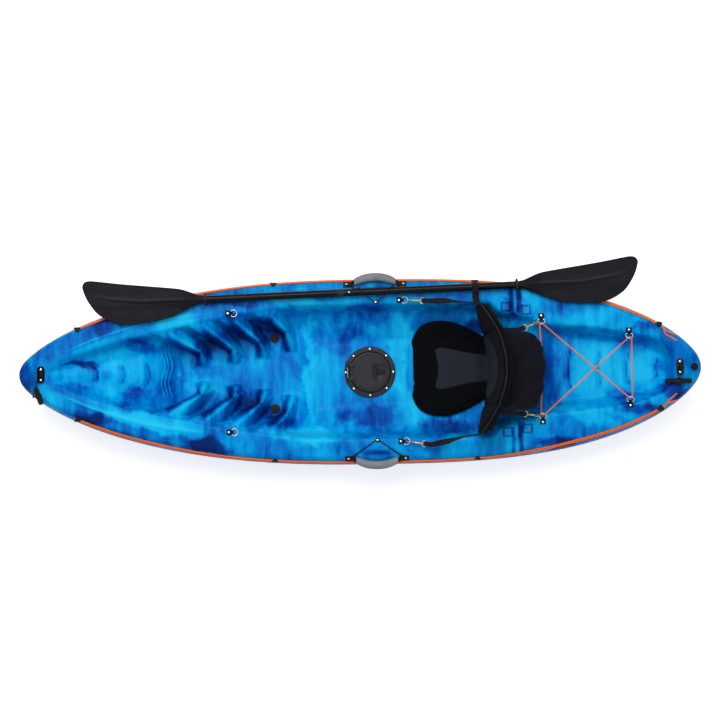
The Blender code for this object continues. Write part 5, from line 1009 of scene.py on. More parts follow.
@cache
def blade_plastic():
    """Black blade plastic with a painted highlight on the spine's crest and painted shade under it; the point
    attribute spine says where.
    """
    dark, light = (0.0038, 0.0035, 0.0058), (0.0080, 0.0074, 0.0110)
    made = moulded_plastic("blade_moulding", dark, light, 0.46, 1500.0, gloss=0.07)
    tree = made.node_tree
    shader = tree.nodes["Principled BSDF"]
    spine = node(tree, "ShaderNodeAttribute", attribute_name="spine").outputs["Fac"]
    # painted highlight on the spine's crest
    mixed_in(tree, shader, maths(tree, "MAXIMUM", spine, 0.0), (0.0210, 0.0205, 0.0270))
    # painted shade under the spine
    painted_shade_under_spine = maths(tree, "MAXIMUM", maths(tree, "MULTIPLY", spine, -1.0), 0.0)
    mixed_in(tree, shader, painted_shade_under_spine, (0.0012, 0.0012, 0.0020))
    return made


def shaft_coating():
    dark, light = (0.0014, 0.0014, 0.0018), (0.0036, 0.0036, 0.0042)
    return moulded_plastic("shaft_coating", dark, light, 0.20, gloss=0.10)


def grey_rubber():
    return moulded_plastic("grip_rubber", (0.150, 0.160, 0.185), (0.215, 0.230, 0.265), 0.55, 600.0, 0.0002)


def black_rubber():
    return moulded_plastic("black_rubber", (0.007, 0.007, 0.008), (0.014, 0.014, 0.015), 0.62, 800.0)


def steel():
    return metal("bright_steel", (0.36, 0.36, 0.38), (0.62, 0.62, 0.65), 0.26)


def brass():
    return metal("plated_brass", (0.34, 0.17, 0.035), (0.66, 0.39, 0.11), 0.28)


def insert_brass():
    return metal("insert_brass", (0.13, 0.050, 0.010), (0.24, 0.100, 0.028), 0.52)


def orange_braid():
    return braided_cord("orange_braid", (0.80, 0.075, 0.004), (1.0, 0.200, 0.016))


def black_braid():
    return braided_cord("black_braid", (0.003, 0.003, 0.004), (0.012, 0.012, 0.014), 0.0024)


def black_webbing():
    return woven_webbing("black_webbing", (0.0010, 0.0010, 0.0014), (0.0050, 0.0050, 0.0060))


def seat_black():
    return padded_textile("seat_black_cloth", (0.0010, 0.0011, 0.0018), (0.0034, 0.0036, 0.0052))


@cache
def seat_cloth():
    """The seat's two cloths in one material; the point attribute panel says where the grey one shows."""
    made = padded_textile("seat_cloth", (0.0010, 0.0011, 0.0018), (0.0034, 0.0036, 0.0052))
    tree = made.node_tree
    threads = noise_of(tree, coordinates(tree), 900.0, 3.0)
    grey = ramp(tree, threads, (0.3, (0.012, 0.014, 0.021)), (0.7, (0.029, 0.033, 0.048)))
    share = node(tree, "ShaderNodeAttribute", attribute_name="panel").outputs["Fac"]
    mixed_in(tree, tree.nodes["Principled BSDF"], share, grey)
    return made


def seat_grey():
    return padded_textile("seat_grey_cloth", (0.020, 0.022, 0.030), (0.036, 0.039, 0.052))


def bag_cloth():
    return padded_textile("bag_cloth", (0.0026, 0.0028, 0.0045), (0.0085, 0.0088, 0.0130), 0.0014, 0.78)


# Camera, light and floor
CAMERA_TARGET, CAMERA_DISTANCE, CAMERA_LENS = (-0.0011, 0.0442, 0.25), 5.5, 70.85
CAMERA_ELEVATION, CAMERA_ROLL = 87.72, -0.743
LAMP_AIM = (0, 0, 0.2)
LAMPS = (((-0.4, 1.9, 4.6), 178, 3.0), ((1.8, -2.6, 4.6), 22, 2.6))

def white_where_seen(tree):
    """1 for rays that the camera, a gloss or glass sends out, 0 for those that only light the boat."""
    path = tree.nodes.new("ShaderNodeLightPath")
    seen = maths(tree, "MAXIMUM", path.outputs["Is Camera Ray"], path.outputs["Is Glossy Ray"])
    return maths(tree, "MAXIMUM", seen, path.outputs["Is Transmission Ray"])


def add_stage():
    bpy.context.scene.view_settings.view_transform = "Standard"
    elevation, roll = math.radians(CAMERA_ELEVATION), math.radians(CAMERA_ROLL)
    back = Vector((0, -math.cos(elevation), math.sin(elevation)))
    right, up = Vector((1, 0, 0)), back.cross(Vector((1, 0, 0)))
    rolled = right * math.cos(roll) + up * math.sin(roll)
    turn = Matrix((rolled, back.cross(rolled), back)).transposed().to_euler()
    bpy.ops.object.camera_add(location=Vector(CAMERA_TARGET) + back * CAMERA_DISTANCE, rotation=turn)
    camera = bpy.context.active_object
    camera.data.lens = CAMERA_LENS
    camera.data.clip_end = 60
    bpy.context.scene.camera = camera

    bpy.ops.mesh.primitive_plane_add(size=80, location=(0, 0, 0))
    floor = added("studio_floor")
    paper, tree, shader = surface_of("white_paper", (0.82, 0.82, 0.82), 0.9)
    seen = white_where_seen(tree)
    grain = noise_of(tree, coordinates(tree), 3.0, 2.0)
    tree.links.new(ramp(tree, grain, (0.0, 0.81), (1.0, 0.83)), shader.inputs["Base Color"])
    shader.inputs["Emission Color"].default_value = (1, 1, 1, 1)
    tree.links.new(maths(tree, "MULTIPLY", seen, 0.60), shader.inputs["Emission Strength"])
    coloured(floor, paper)

    world = bpy.context.scene.world or bpy.data.worlds.new("studio")
    bpy.context.scene.world = world
    world.use_nodes = True
    sky = world.node_tree
    sky.nodes["Background"].inputs["Color"].default_value = (1, 1, 1, 1)
    strength = maths(sky, "MULTIPLY_ADD", white_where_seen(sky), 0.64, 0.36)
    sky.links.new(strength, sky.nodes["Background"].inputs["Strength"])
    for place, power, size in LAMPS:
        turn = (Vector(LAMP_AIM) - Vector(place)).to_track_quat("-Z", "Y").to_euler()
        bpy.ops.object.light_add(type="AREA", location=place, rotation=turn)
        lamp = bpy.context.active_object.data
        lamp.energy = power
        lamp.size = size


# Rigging cords
LINE_RADIUS = 0.0028
LINE_CLEARANCE = 0.0007
LINE_BOW, LINE_STERN = -1.097, 1.160
LINE_CORNERS = (1.171, 1.166)
LINE_TAILS = (
    (((1.178, 0.136), (1.196, 0.128), (1.216, 0.122)), ((1.172, 0.126), (1.190, 0.114), (1.214, 0.100))),
    (((1.178, 0.130), (1.196, 0.114), (1.210, 0.102)), ((1.172, 0.138), (1.192, 0.134), (1.212, 0.128))),
)
GUIDES = (-1.085, -0.333, 0.447, 1.148)


def line_inset(x, side):
    """How much further in than its track the rigging line lies towards the two ends."""
    bow = eased(min(1.0, max(0.0, (-0.40 - x) / 0.45)))
    stern = eased(min(1.0, max(0.0, (x - 0.42) / 0.45)))
    return 0.008 * bow + (0.011 if side > 0 else 0.019) * stern


def edge_frame(x, side, across):
    """Placement on the hull's rounded edge: Z square to it. across runs up the slope from the track."""
    line = drawn_flank(np.array([float(x)]))[0]
    top = line[:int(np.argmax(line[:, 0])) + 1]
    profile = np.concatenate([[[top[0, 0] - 0.060, top[0, 1]]], top])[::-1]
    run = np.concatenate([[0.0], np.cumsum(np.hypot(*np.diff(profile, axis=0).T))])
    track = float(np.interp(float(half_breadth(x)) - LINE_TRACK_INSET, profile[::-1, 0], run[::-1]))
    here = track + across + line_inset(x, side)
    (y, z), (y1, z1), (y2, z2) = (
        [float(np.interp(here + step, run, profile[:, k])) for k in (0, 1)] for step in (0, -0.002, 0.002)
    )
    normal = Vector((0, side * (z2 - z1), y1 - y2)).normalized()
    return frame_at((x, side * y, z), (1, 0, 0), normal)


def line_point(x, side, across):
    return edge_frame(x, side, across) @ Vector((0, 0, LINE_RADIUS + LINE_CLEARANCE))


def build_perimeter_lines():
    """Each line runs aft along the shoulder and back beside itself, tied off at the stern."""
    for side, word in SIDES:
        stations = list(np.linspace(LINE_BOW + 0.010, LINE_STERN, 92))
        outer = [line_point(x, side, LINE_RADIUS) for x in stations]
        inner = [line_point(x, side, LINE_RADIUS * 3.4) for x in stations]
        turn = line_point(LINE_BOW, side, LINE_RADIUS * 2.2)
        ends = []
        for tail in LINE_TAILS[0 if side > 0 else 1]:
            lift = LINE_RADIUS + 3 * LINE_CLEARANCE
            ends.append([Vector((x, side * y, float(sheer(x)) + lift)) for x, y in tail])
        corners = []
        for x in LINE_CORNERS:
            shoulder = float(section(x)[4])
            height = float(sheer(x)) + LINE_RADIUS + 4 * LINE_CLEARANCE
            corners.append(Vector((x, side * (shoulder + 0.002), height)))
        first = smooth_path(ends[0][::-1] + [corners[0], outer[-1]], 4)[:-1]
        last = smooth_path([inner[-1], corners[1]] + ends[1], 4)[1:]
        path = first + outer[::-1] + [turn] + inner + last
        line = swept(f"rigging_line_{word}", path, LINE_RADIUS, 10)
        coloured(line, orange_braid())
        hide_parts(f"perimeter_line_{word}")
        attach(line, "boat")


# Screws, made once and copied

def screws(name, places, radius=0.0045, height=0.0024):
    """Bright pan-head screws with a cross recess, one at each placement, as one piece."""
    profile = [
        (0, -0.0006), (radius, -0.0006), (radius, height * 0.30), (radius * 0.95, height * 0.55),
        (radius * 0.80, height * 0.82), (radius * 0.50, height * 0.98), (0, height),
    ]
    model = spun("pan_head", profile, 24)
    for turn in (20, 110):
        slot = block("drive", (radius * 1.25, radius * 0.26, 0.004), (0, 0, height + 0.0009))
        cut_away(model, settle(slot, Matrix.Rotation(math.radians(turn), 4, "Z")))
    heads = []
    for i, place in enumerate(places):
        heads.append(copied(model, f"{name}_{i}", place @ Matrix.Rotation(0.8 * i, 4, "Z")))
    bpy.data.objects.remove(model)
    whole = joined(name, heads)
    soft_shade(whole, 25)
    coloured(whole, steel())
    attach(whole, "boat")
    return whole


def shaped(piece, test, operator, **settings):
    """Runs an edit-mode operator on the points that pass a test."""
    pick(piece)
    for element in (*piece.data.vertices, *piece.data.edges, *piece.data.polygons):
        element.select = False
    for point in piece.data.vertices:
        point.select = bool(test(point.co))
    bpy.ops.object.mode_set(mode="EDIT")
    bpy.context.tool_settings.mesh_select_mode = (True, False, False)
    operator(**settings)
    bpy.ops.object.mode_set(mode="OBJECT")
    return piece


def standing(piece, body, *nodes):
    """The piece rides on a body and stands for its CAD nodes."""
    if nodes:
        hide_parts(*nodes)
    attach(piece, body)
    return piece


def finish_node(name, surface):
    """A CAD node whose shape is right keeps it and gets a better surface."""
    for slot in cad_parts[name].material_slots:
        slot.link = "OBJECT"
        slot.material = surface


# Hatch
HATCH_SEAT = Matrix.Translation((HATCH_PLACE, 0, SEAT_FLOOR + GAP))
LID_RADIUS, HATCH_FLANGE, LID_TOP = 0.0805, 0.006, 0.0085
LATCH_SPINDLE = 0.0230
HINGE_OFFSET, HINGE_HEIGHT = -0.0885, 0.0105
SIDEWAYS = (math.radians(90), 0, 0)


def build_hatch():
    edge = HATCH_FLANGE
    rim_profile = [
        (0.1010, 0), (0.1010, 0.0030), (0.1004, 0.0047), (0.0990, 0.0057), (0.0972, edge), (0.0850, edge),
        (0.0846, 0.0054), (0.0838, 0.0054), (0.0834, edge), (0.0826, edge), (0.0818, 0.0054),
        (0.0815, 0.0045),
        (0.0815, -0.010), (0.072, -0.010), (0.072, -0.013), (0.0838, -0.013), (0.0838, -0.026),
        (0.0868, -0.026),
        (0.0868, 0),
    ]
    rim = spun("hatch_ring", rim_profile, 128, ring=True)
    ears = []
    for side in (1, -1):
        y = side * 0.0380
        ear = block("ear", (0.0085, 0.0060, 0.0090), (HINGE_OFFSET, y, edge + 0.0035), 0.0012, 3)
        ears.append(ear)
        ears.append(rod("ear_top", 0.0042, 0.0060, (HINGE_OFFSET, y, HINGE_HEIGHT), 32, 0.0006, SIDEWAYS))
    pad = block("hinge_pad", (0.0130, 0.0860, 0.0018), (HINGE_OFFSET - 0.0005, 0, edge + 0.0002), 0.0008, 2)
    rim = joined("hatch_ring", [rim, pad, *ears])
    standing(coloured(settle(rim, HATCH_SEAT), hatch_plastic()), "boat", "hatch_rim")

    places = []
    for i in range(8):
        x, y = 0.0915 * math.cos(math.tau * i / 8), 0.0915 * math.sin(math.tau * i / 8)
        places.append(HATCH_SEAT @ Matrix.Translation((max(x, -0.0915) - 0.0045 * (i == 4), y, edge)))
    screws("hatch_screws", places, 0.0040, 0.0019)

    lid_profile = [
        (0, 0.0025), (0.0755, 0.0025), (0.0755, -0.0060), (LID_RADIUS, -0.0060), (LID_RADIUS, 0.0048),
        (0.0800, 0.0066), (0.0786, 0.0078), (0.0765, LID_TOP), (0.0700, LID_TOP), (0.0692, 0.0079),
        (0.0680, 0.0076),
        (0.0668, 0.0079), (0.0660, LID_TOP - 0.0001), (0.0300, LID_TOP - 0.0002), (0, LID_TOP - 0.0002),
    ]
    lid = spun("hatch_cover", lid_profile, 128)
    pocket = block("latch_pocket", (0.0500, 0.0640, 0.004), (0.0345, 0, LID_TOP + 0.0005), 0.0012, 3)
    cut_away(lid, pocket)
    soft_shade(lid, 30)
    parts = [lid]
    for side in (1, -1):
        y = side * 0.027
        arm = block("lid_arm", (0.0280, 0.0190, 0.0032), (-0.0745, y, LID_TOP + 0.0006), 0.0010, 3)
        narrower = {"value": (1, 0.74, 1), "center_override": (0, y, 0)}
        shaped(arm, lambda p: p.x < -0.080, bpy.ops.transform.resize, **narrower)
        parts.append(soft_shade(arm))
        parts.append(rod("knuckle", 0.0042, 0.0140, (HINGE_OFFSET, y, HINGE_HEIGHT), 32, 0.0007, SIDEWAYS))
        for along in (-0.0665, -0.0745):
            parts.append(rod("rivet", 0.0022, 0.0030, (along, y, LID_TOP + 0.0016), 20, 0.0008))
    lid = joined("hatch_cover", parts)
    standing(coloured(settle(lid, HATCH_SEAT), hatch_plastic()), "hatch_lid", "hatch_lid")

    arc = []
    for y in np.linspace(-0.029, 0.029, 15):
        arc.append(Vector((0.0205 + 0.0060 * (y / 0.029) ** 2, y, LID_TOP + 0.0034)))
    widths = [0.0125 - 0.0050 * abs(v) ** 3 for v in np.linspace(-1, 1, 15)]
    bar = band("latch_bar", arc, widths, 0.0062, [Vector((0, 0, 1))] * 15)
    stem = block("latch_stem", (0.0290, 0.0200, 0.0062), (0.0425, 0, LID_TOP + 0.0034), 0.0020, 4)
    narrower = {"value": (1, 0.62, 1), "center_override": (0, 0, 0)}
    shaped(stem, lambda p: p.x > 0.050, bpy.ops.transform.resize, **narrower)
    latch = combined(bar, stem, "UNION")
    for i in range(4):
        x = 0.0370 + i * 0.0048
        cut_away(latch, block("grip_groove", (0.0014, 0.0110, 0.0016), (x, 0, LID_TOP + 0.0067), 0.0003, 1))
    cut_away(latch, rod("spindle_socket", 0.0042, 0.003, (LATCH_SPINDLE, 0, LID_TOP + 0.0072), 32))
    spindle = rod("spindle", 0.0034, 0.0022, (LATCH_SPINDLE, 0, LID_TOP + 0.0054), 6, 0.0003)
    latch = joined("latch_handle", [latch, spindle])
    soft_shade(latch, 30)
    standing(coloured(settle(latch, HATCH_SEAT), black_plastic()), "hatch_latch", "hatch_latch")
    finish_node("hatch_seal", black_rubber())
    finish_node("hatch_hinge_pin", metal("pin_steel", (0.10, 0.10, 0.11), (0.22, 0.22, 0.24), 0.4))


# Plugs and inserts

def build_plugs():
    for side, word in SIDES:
        profile = [
            (0, -0.022), (0.0112, -0.022), (0.0126, -0.012), (0.0134, -0.001), (0.0134, 0), (0.0175, 0),
            (0.0175, 0.0022), (0.0170, 0.0036), (0.0158, 0.0046), (0.0145, 0.0050), (0.0118, 0.0050),
            (0.0110, 0.0040),
            (0.0096, 0.0038), (0.0078, 0.0044), (0.0070, 0.0056), (0.0064, 0.0078), (0.0052, 0.0088),
            (0, 0.0090),
        ]
        plug = spun("scupper_stopper", profile, 64)
        place = Matrix.Translation((SCUPPER_PLACE[0], side * SCUPPER_PLACE[1], FOOTWELL_FLOOR + GAP))
        plug = coloured(settle(plug, place), black_rubber())
        plug.name = f"scupper_stopper_{word}"
        standing(plug, f"scupper_plug_{word}", f"scupper_plug_{word}")

    seat = deck_frame(DRAIN_PLACE, 0, lift=0.003 + GAP)
    base = 0.0015 + GAP
    profile = [
        (0, -0.018), (0.0080, -0.018), (0.0094, -0.016), (0.0094, base), (0.0140, base),
        (0.0140, base + 0.0040),
        (0.0136, base + 0.0052), (0.0126, base + 0.0060), (0.0105, base + 0.0060),
        (0.0098, base + 0.0052), (0, base + 0.0050),
    ]
    plug = spun("drain_stopper", profile, 64)
    cut_away(plug, block("coin_slot", (0.0180, 0.0026, 0.0040), (0, 0, base + 0.0056)))
    for i in range(16):
        a = math.tau * i / 16
        flute = rod("flute", 0.0009, 0.0080, (0.0143 * math.cos(a), 0.0143 * math.sin(a), base + 0.0040), 10)
        cut_away(plug, flute)
    soft_shade(plug, 30)
    standing(coloured(settle(plug, seat), black_plastic()), "drain_plug", "drain_plug")
    finish_node("drain_plug_seal", black_rubber())

    rings = []
    for side, word in SIDES:
        for x, y in INSERT_PLACES:
            profile = [
                (0.0049, -0.0046), (0.0049, -0.0034), (0.0046, -0.0030), (0.0038, -0.0030),
                (0.0032, -0.0036),
                (0.0030, -0.0150), (0.0048, -0.0150), (0.0048, -0.0046),
            ]
            rings.append(settle(spun("insert_sleeve", profile, 36, ring=True), deck_frame(x, side * y)))
    inserts = joined("threaded_inserts", rings)
    coloured(inserts, insert_brass())
    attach(inserts, "boat")


# Eyes and toggles at the two ends
BOW_EYE, STERN_EYE = -1.2220, 1.2245
TOGGLE_RADIUS, TOGGLE_CORD = 0.0125, 0.0020
EYE_CORD_HEIGHT = 0.0088
EYE_RADIUS, EYE_BAR = 0.0115, 0.0030


def build_pad_eye(end, x):
    name = f"{end}_eye"
    seat = deck_frame(x, 0, heading=90, lift=GAP)
    base = block(name, (0.0640, 0.0280, 0.0045), (0, 0, 0.00225))
    heights = [point.co.z for point in base.data.vertices]
    upright = [e for e in base.data.edges if abs(heights[e.vertices[0]] - heights[e.vertices[1]]) > 0.002]
    pick(base)
    for item in (*base.data.vertices, *base.data.edges, *base.data.polygons):
        item.select = False
    for item in upright:
        item.select = True
    bpy.ops.object.mode_set(mode="EDIT")
    bpy.context.tool_settings.mesh_select_mode = (False, True, False)
    bpy.ops.mesh.bevel(offset=0.0132, segments=12, affect="EDGES")
    bpy.ops.object.mode_set(mode="OBJECT")
    bevelled(base, 0.0011, 3, 50)
    turns = [math.pi * i / 24 for i in range(25)]
    arch = [(EYE_RADIUS * math.cos(a), 0, 0.0030 + EYE_RADIUS * math.sin(a)) for a in turns]
    sizes = [EYE_BAR * (1.25 - 0.25 * math.sin(a)) for a in turns]
    eye = joined(name, [soft_shade(base, 30), swept("arch", arch, sizes, 16)])
    standing(coloured(settle(eye, seat), black_plastic()), "boat", f"{end}_pad_eye")
    return [seat @ Matrix.Translation((side * 0.0205, 0, 0.0045)) for side in (1, -1)]


def build_toggle(end, eye_x, length, at, axis, enter):
    """A ribbed grip on a loop of cord that is knotted behind the eye."""
    half = length / 2
    profile = [(0, -half), (0.0070, -half + 0.0003), (0.0093, -half + 0.0022), (0.0100, -half + 0.0050)]
    for i in range(5):
        start = -half * 0.82 + i * half * 0.11
        profile += [(0.0100, start), (0.0090, start + half * 0.03), (0.0100, start + half * 0.06)]
    profile += [(0.0112, -half * 0.20), (TOGGLE_RADIUS, -half * 0.12)]
    profile += [(TOGGLE_RADIUS, half * 0.12), (0.0112, half * 0.20)]
    for i in range(5):
        start = half * 0.32 + i * half * 0.11
        profile += [(0.0100, start), (0.0090, start + half * 0.03), (0.0100, start + half * 0.06)]
    profile += [(0.0100, half - 0.0050), (0.0093, half - 0.0022), (0.0070, half - 0.0003), (0, half)]
    grip = spun(f"{end}_grip", profile, 40, angle=40)
    placement = frame_at(at, axis, -Vector(enter))
    settle(grip, placement @ Matrix.Rotation(math.radians(90), 4, "Y"))
    standing(coloured(grip, black_plastic()), f"{end}_toggle", f"{end}_toggle")

    eye = deck_frame(eye_x, 0, lift=GAP)
    near = [(0.0130, 0), (0.0118, 0), (0.0090, 0), (0, 0), (-0.008, -0.001), (-0.012, -0.010)]
    stops = [eye @ Vector((x, y, EYE_CORD_HEIGHT)) for x, y in near]
    enter = Vector(enter)
    entry = Vector(at) - enter * (TOGGLE_RADIUS + 0.004)
    stops.append((stops[-1] + entry) / 2 + Vector((0, 0, 0.002)))
    stops += [entry - enter * 0.005, entry, Vector(at) + enter * 0.003]
    path = smooth_path(stops, 5)
    knot = TOGGLE_CORD * 2.0
    sizes = smooth_values([knot * 0.6, knot, TOGGLE_CORD * 1.1] + [TOGGLE_CORD] * 7, 5)
    cord = swept(f"{end}_cord", path, sizes, 12)
    coloured(cord, black_braid())
    standing(cord, f"{end}_toggle", f"{end}_toggle_cord")


def bow_toggle_place():
    """The bow toggle tips over the edge of the deck, touching its corner."""
    ends = []
    for x in (BOW_EYE - 0.004, BOW_EYE + 0.004):
        ends.append((float(section(x)[4]), float(sheer(x))))
    (y0, z0), (y1, z1) = ends
    edge = Vector((0.008, y0 - y1, z1 - z0)).normalized()
    corner = Vector((BOW_EYE, -(y0 + y1) / 2, (z0 + z1) / 2))
    axis = Vector((0.200, -0.830, -0.520)).normalized()
    normal = edge.cross(axis).normalized()
    if normal.z < 0:
        normal = -normal
    return corner + normal * (TOGGLE_RADIUS + 2 * GAP) - axis * 0.012, axis


def build_end_fittings():
    places = build_pad_eye("bow", BOW_EYE) + build_pad_eye("stern", STERN_EYE)
    screws("eye_screws", places, 0.0045, 0.0022)
    x, y = 1.2150, -0.055
    slope = math.atan2(float(sheer(x + 0.004) - sheer(x - 0.004)), 0.008)
    at = Vector((x, y, float(sheer(x)) + TOGGLE_RADIUS + GAP))
    build_toggle("stern", STERN_EYE, 0.103, at, (math.cos(slope), 0, math.sin(slope)), (0, -1, 0))
    at, axis = bow_toggle_place()
    enter = Vector((1, 0, 0)) - axis * axis.x
    build_toggle("bow", BOW_EYE, 0.072, at, axis, enter.normalized())


# Tabs and rings
RING_RADIUS, RING_WIRE, RING_BAR_OFFSET = 0.0135, 0.0015, 0.0070
TAB_SIZE, SLEEVE_RADIUS = 0.022, 0.0042
FRONT_RING, SIDE_RING = (-0.507, 0.229), (0.154, 0.272)
TANK_FRONT_RING, TANK_REAR_RING = (0.699, 0.203), (1.034, 0.143)
LOADED_TILT = 24.0


def ring_points(count=44):
    centre = RING_RADIUS - RING_BAR_OFFSET
    angle = math.acos(-centre / RING_RADIUS)
    turns = [-angle + 2 * angle * i / count for i in range(count + 1)]
    points = [Vector((centre + RING_RADIUS * math.cos(a), RING_RADIUS * math.sin(a), 0)) for a in turns]
    bar = [points[-1].lerp(points[0], (i + 1) / 7) for i in range(6)]
    return points + bar


def build_ring(name, place):
    ring = swept(name, ring_points(), RING_WIRE, 14, closed=True)
    return coloured(settle(ring, place), steel())


def build_tab(name, seat):
    """A square of webbing folded round the ring's bar and screwed down."""
    r = SLEEVE_RADIUS - 0.0011
    stops = [(-0.0235, 0.0011), (-0.015, 0.0011), (-0.0070, 0.0011), (-0.0030, 0.0010)]
    for a in range(-70, 181, 25):
        stops.append((r * math.cos(math.radians(a)), SLEEVE_RADIUS + r * math.sin(math.radians(a))))
    stops = [s for s in stops if s[0] > -0.0031 or s[1] < 0.0012]
    stops += [(-0.0052, 0.0046), (-0.0075, 0.0036), (-0.0110, 0.0031), (-0.0170, 0.0031), (-0.0235, 0.0031)]
    path = [Vector((x, 0, z)) for x, z in stops]
    ups = [Vector((way.z, 0, -way.x)) for way in directions(path)]
    widths = [TAB_SIZE if p.x < -0.009 else max(0.0135, TAB_SIZE - (p.x + 0.009) * 1.6) for p in path]
    tab = band(name, path, widths, 0.0020, ups)
    return coloured(settle(tab, seat), black_webbing())


def tab_screw(seat):
    return seat @ Matrix.Translation((-0.0150, 0, 0.0041))


def ring_frame(seat, tilt):
    return seat @ Matrix.Translation((0, 0, SLEEVE_RADIUS)) @ Matrix.Rotation(math.radians(-tilt), 4, "Y")


def loaded_seats():
    """Seats of the six rings that hold straps or the shock cord."""
    found = {}
    for side, word in SIDES:
        for name, (x, y), heading in (
            (f"side_ring_{word}", SIDE_RING, 0), (f"tank_front_ring_{word}", TANK_FRONT_RING, -side * 90),
            (f"tank_rear_ring_{word}", TANK_REAR_RING, -side * 90),
        ):
            out = Matrix.Rotation(math.radians(heading), 4, "Z") @ Vector((0.013, 0, 0))
            found[name] = deck_frame(x + out.x, side * y + out.y, heading, GAP)
    return found


def build_rings():
    places = []
    for side, word in SIDES:
        seat = deck_frame(FRONT_RING[0] + 0.013, side * FRONT_RING[1], lift=GAP)
        standing(build_tab(f"front_tab_{word}", seat), "boat", f"front_ring_tab_{word}")
        ring = build_ring(f"front_loop_{word}", ring_frame(seat, -6.0))
        standing(ring, f"front_ring_{word}", f"front_ring_{word}")
        places.append(tab_screw(seat))
    for name, seat in loaded_seats().items():
        standing(build_tab(f"{name}_tab", seat), "boat", name)
        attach(build_ring(f"{name}_loop", ring_frame(seat, LOADED_TILT)), "boat")
        places.append(tab_screw(seat))
    screws("tab_screws", places, 0.0046, 0.0024)


# Snap hooks
HOOK_RADIUS, HOOK_WIRE, HOOK_BODY, HOOK_SEAT = 0.0062, 0.0020, 0.0042, 0.0016
EYE_START, EYE_REACH, EYE_HALF_WIDTH, EYE_WIRE = 0.0490, 0.0120, 0.0115, 0.0018
TRIGGER_HEIGHT = 0.0062
HOOK_TARGETS = {
    "front_starboard": ("side_ring_starboard", (0.300, 0.262, 0.335)),
    "front_port": ("side_ring_port", (0.300, -0.290, 0.335)),
    "rear_starboard": ("tank_front_ring_starboard", (0.600, 0.146, 0.325)),
    "rear_port": ("tank_front_ring_port", (0.600, -0.170, 0.325)),
}


def hook_frame(ring_name, target):
    """A hook holds the ring's wire just ahead of its origin and points along +X to its strap."""
    ring = ring_frame(loaded_seats()[ring_name], LOADED_TILT)
    centre = Vector((RING_RADIUS - RING_BAR_OFFSET, 0, 0))
    toward = ring.inverted() @ Vector(target) - centre
    angle = math.atan2(toward.y, toward.x)
    contact = ring @ (centre + Vector((math.cos(angle), math.sin(angle), 0)) * RING_RADIUS)
    tangent = ring.to_3x3() @ Vector((-math.sin(angle), math.cos(angle), 0))
    along = (Vector(target) - contact).normalized()
    up = along.cross(tangent)
    if up.z < 0:
        up = -up
    return frame_at(contact + along * HOOK_SEAT, along, up)


def build_hook(word, place):
    r = HOOK_RADIUS
    stops = [
        (0.0036, r), (0.0, r * 1.02), (-r * 0.71, r * 0.71), (-r, 0), (-r * 0.71, -r * 0.71), (0.001, -r),
        (0.010, -r * 0.72), (0.016, -r * 0.12), (0.020, 0),
    ]
    path = smooth_path([(x, 0, z) for x, z in stops], 6)
    w = HOOK_WIRE
    sizes = [w * 0.85, w, w, w * 1.05, w, w, w * 1.1, w * 1.3, HOOK_BODY]
    curve = swept("hook_curve", path, smooth_values(sizes, 6), 16)
    barrel_profile = [
        (0, 0.0185), (0.0034, 0.0188), (0.0040, 0.0200), (0.0036, 0.0250), (0.0030, 0.0330),
        (0.0030, 0.0372),
        (0.0038, 0.0380), (0.0038, 0.0392), (0.0028, 0.0398), (0.0028, 0.0408), (0.0042, 0.0414),
        (0.0044, 0.0430),
        (0.0038, 0.0446), (0.0022, 0.0454), (0.0020, 0.0500), (0, 0.0500),
    ]
    barrel = settle(spun("hook_barrel", barrel_profile, 32), Matrix.Rotation(math.radians(90), 4, "Y"))
    wide, far = EYE_HALF_WIDTH, EYE_START + EYE_REACH
    half = [
        (EYE_START - 0.0002, 0), (EYE_START + 0.0006, 0.0045), (EYE_START + 0.0040, wide - 0.0006),
        (EYE_START + 0.0080, wide), (far - 0.0008, wide - 0.0006), (far, wide - 0.0026), (far, 0.004),
    ]
    around = half + [(x, -y) for x, y in half[:0:-1]]
    loop = smooth_path([(x, y, 0) for x, y in around], 5)
    eye = swept("swivel_eye", loop, EYE_WIRE, 14, closed=True)
    hook = joined(f"hook_{word}", [curve, barrel, eye])
    standing(coloured(settle(hook, place), brass()), "boat", f"snap_hook_{word}")

    bolt_profile = [
        (0, 0.0036), (0.0011, 0.0037), (0.0014, 0.0042), (0.0014, 0.0200), (0.0011, 0.0205), (0, 0.0205),
    ]
    lying = Matrix.Translation((0, 0, TRIGGER_HEIGHT)) @ Matrix.Rotation(math.radians(90), 4, "Y")
    bolt = settle(spun("bolt", bolt_profile, 24), lying)
    thumb_profile = [
        (0, 0), (0.0013, 0), (0.0012, 0.0030), (0.0020, 0.0040), (0.0020, 0.0047), (0.0014, 0.0052),
        (0, 0.0053),
    ]
    thumb = settle(spun("thumb", thumb_profile, 24), Matrix.Translation((0.0165, 0, TRIGGER_HEIGHT)))
    trigger = joined(f"trigger_{word}", [bolt, thumb])
    standing(coloured(settle(trigger, place), brass()), f"snap_trigger_{word}", f"snap_trigger_{word}")


# Carrying handles and paddle keepers
HANDLE_PLACE, HANDLE_INSET, HANDLE_HALF = 0.060, 0.0325, 0.110
HANDLE_BAND = 0.0035
HANDLE_SHAPE = (
    (-1.0, 0.0, 0.0), (-0.92, 0.0, 0.0), (-0.83, 0.002, 0.010), (-0.74, 0.009, 0.014),
    (-0.36, 0.024, 0.015),
    (0.0, 0.028, 0.015), (0.36, 0.024, 0.015), (0.74, 0.009, 0.014), (0.83, 0.002, 0.010), (0.92, 0.0, 0.0),
    (1.0, 0.0, 0.0),
)
GRIP_LENGTH, GRIP_WIDTH, GRIP_THICK = 0.160, 0.032, 0.020


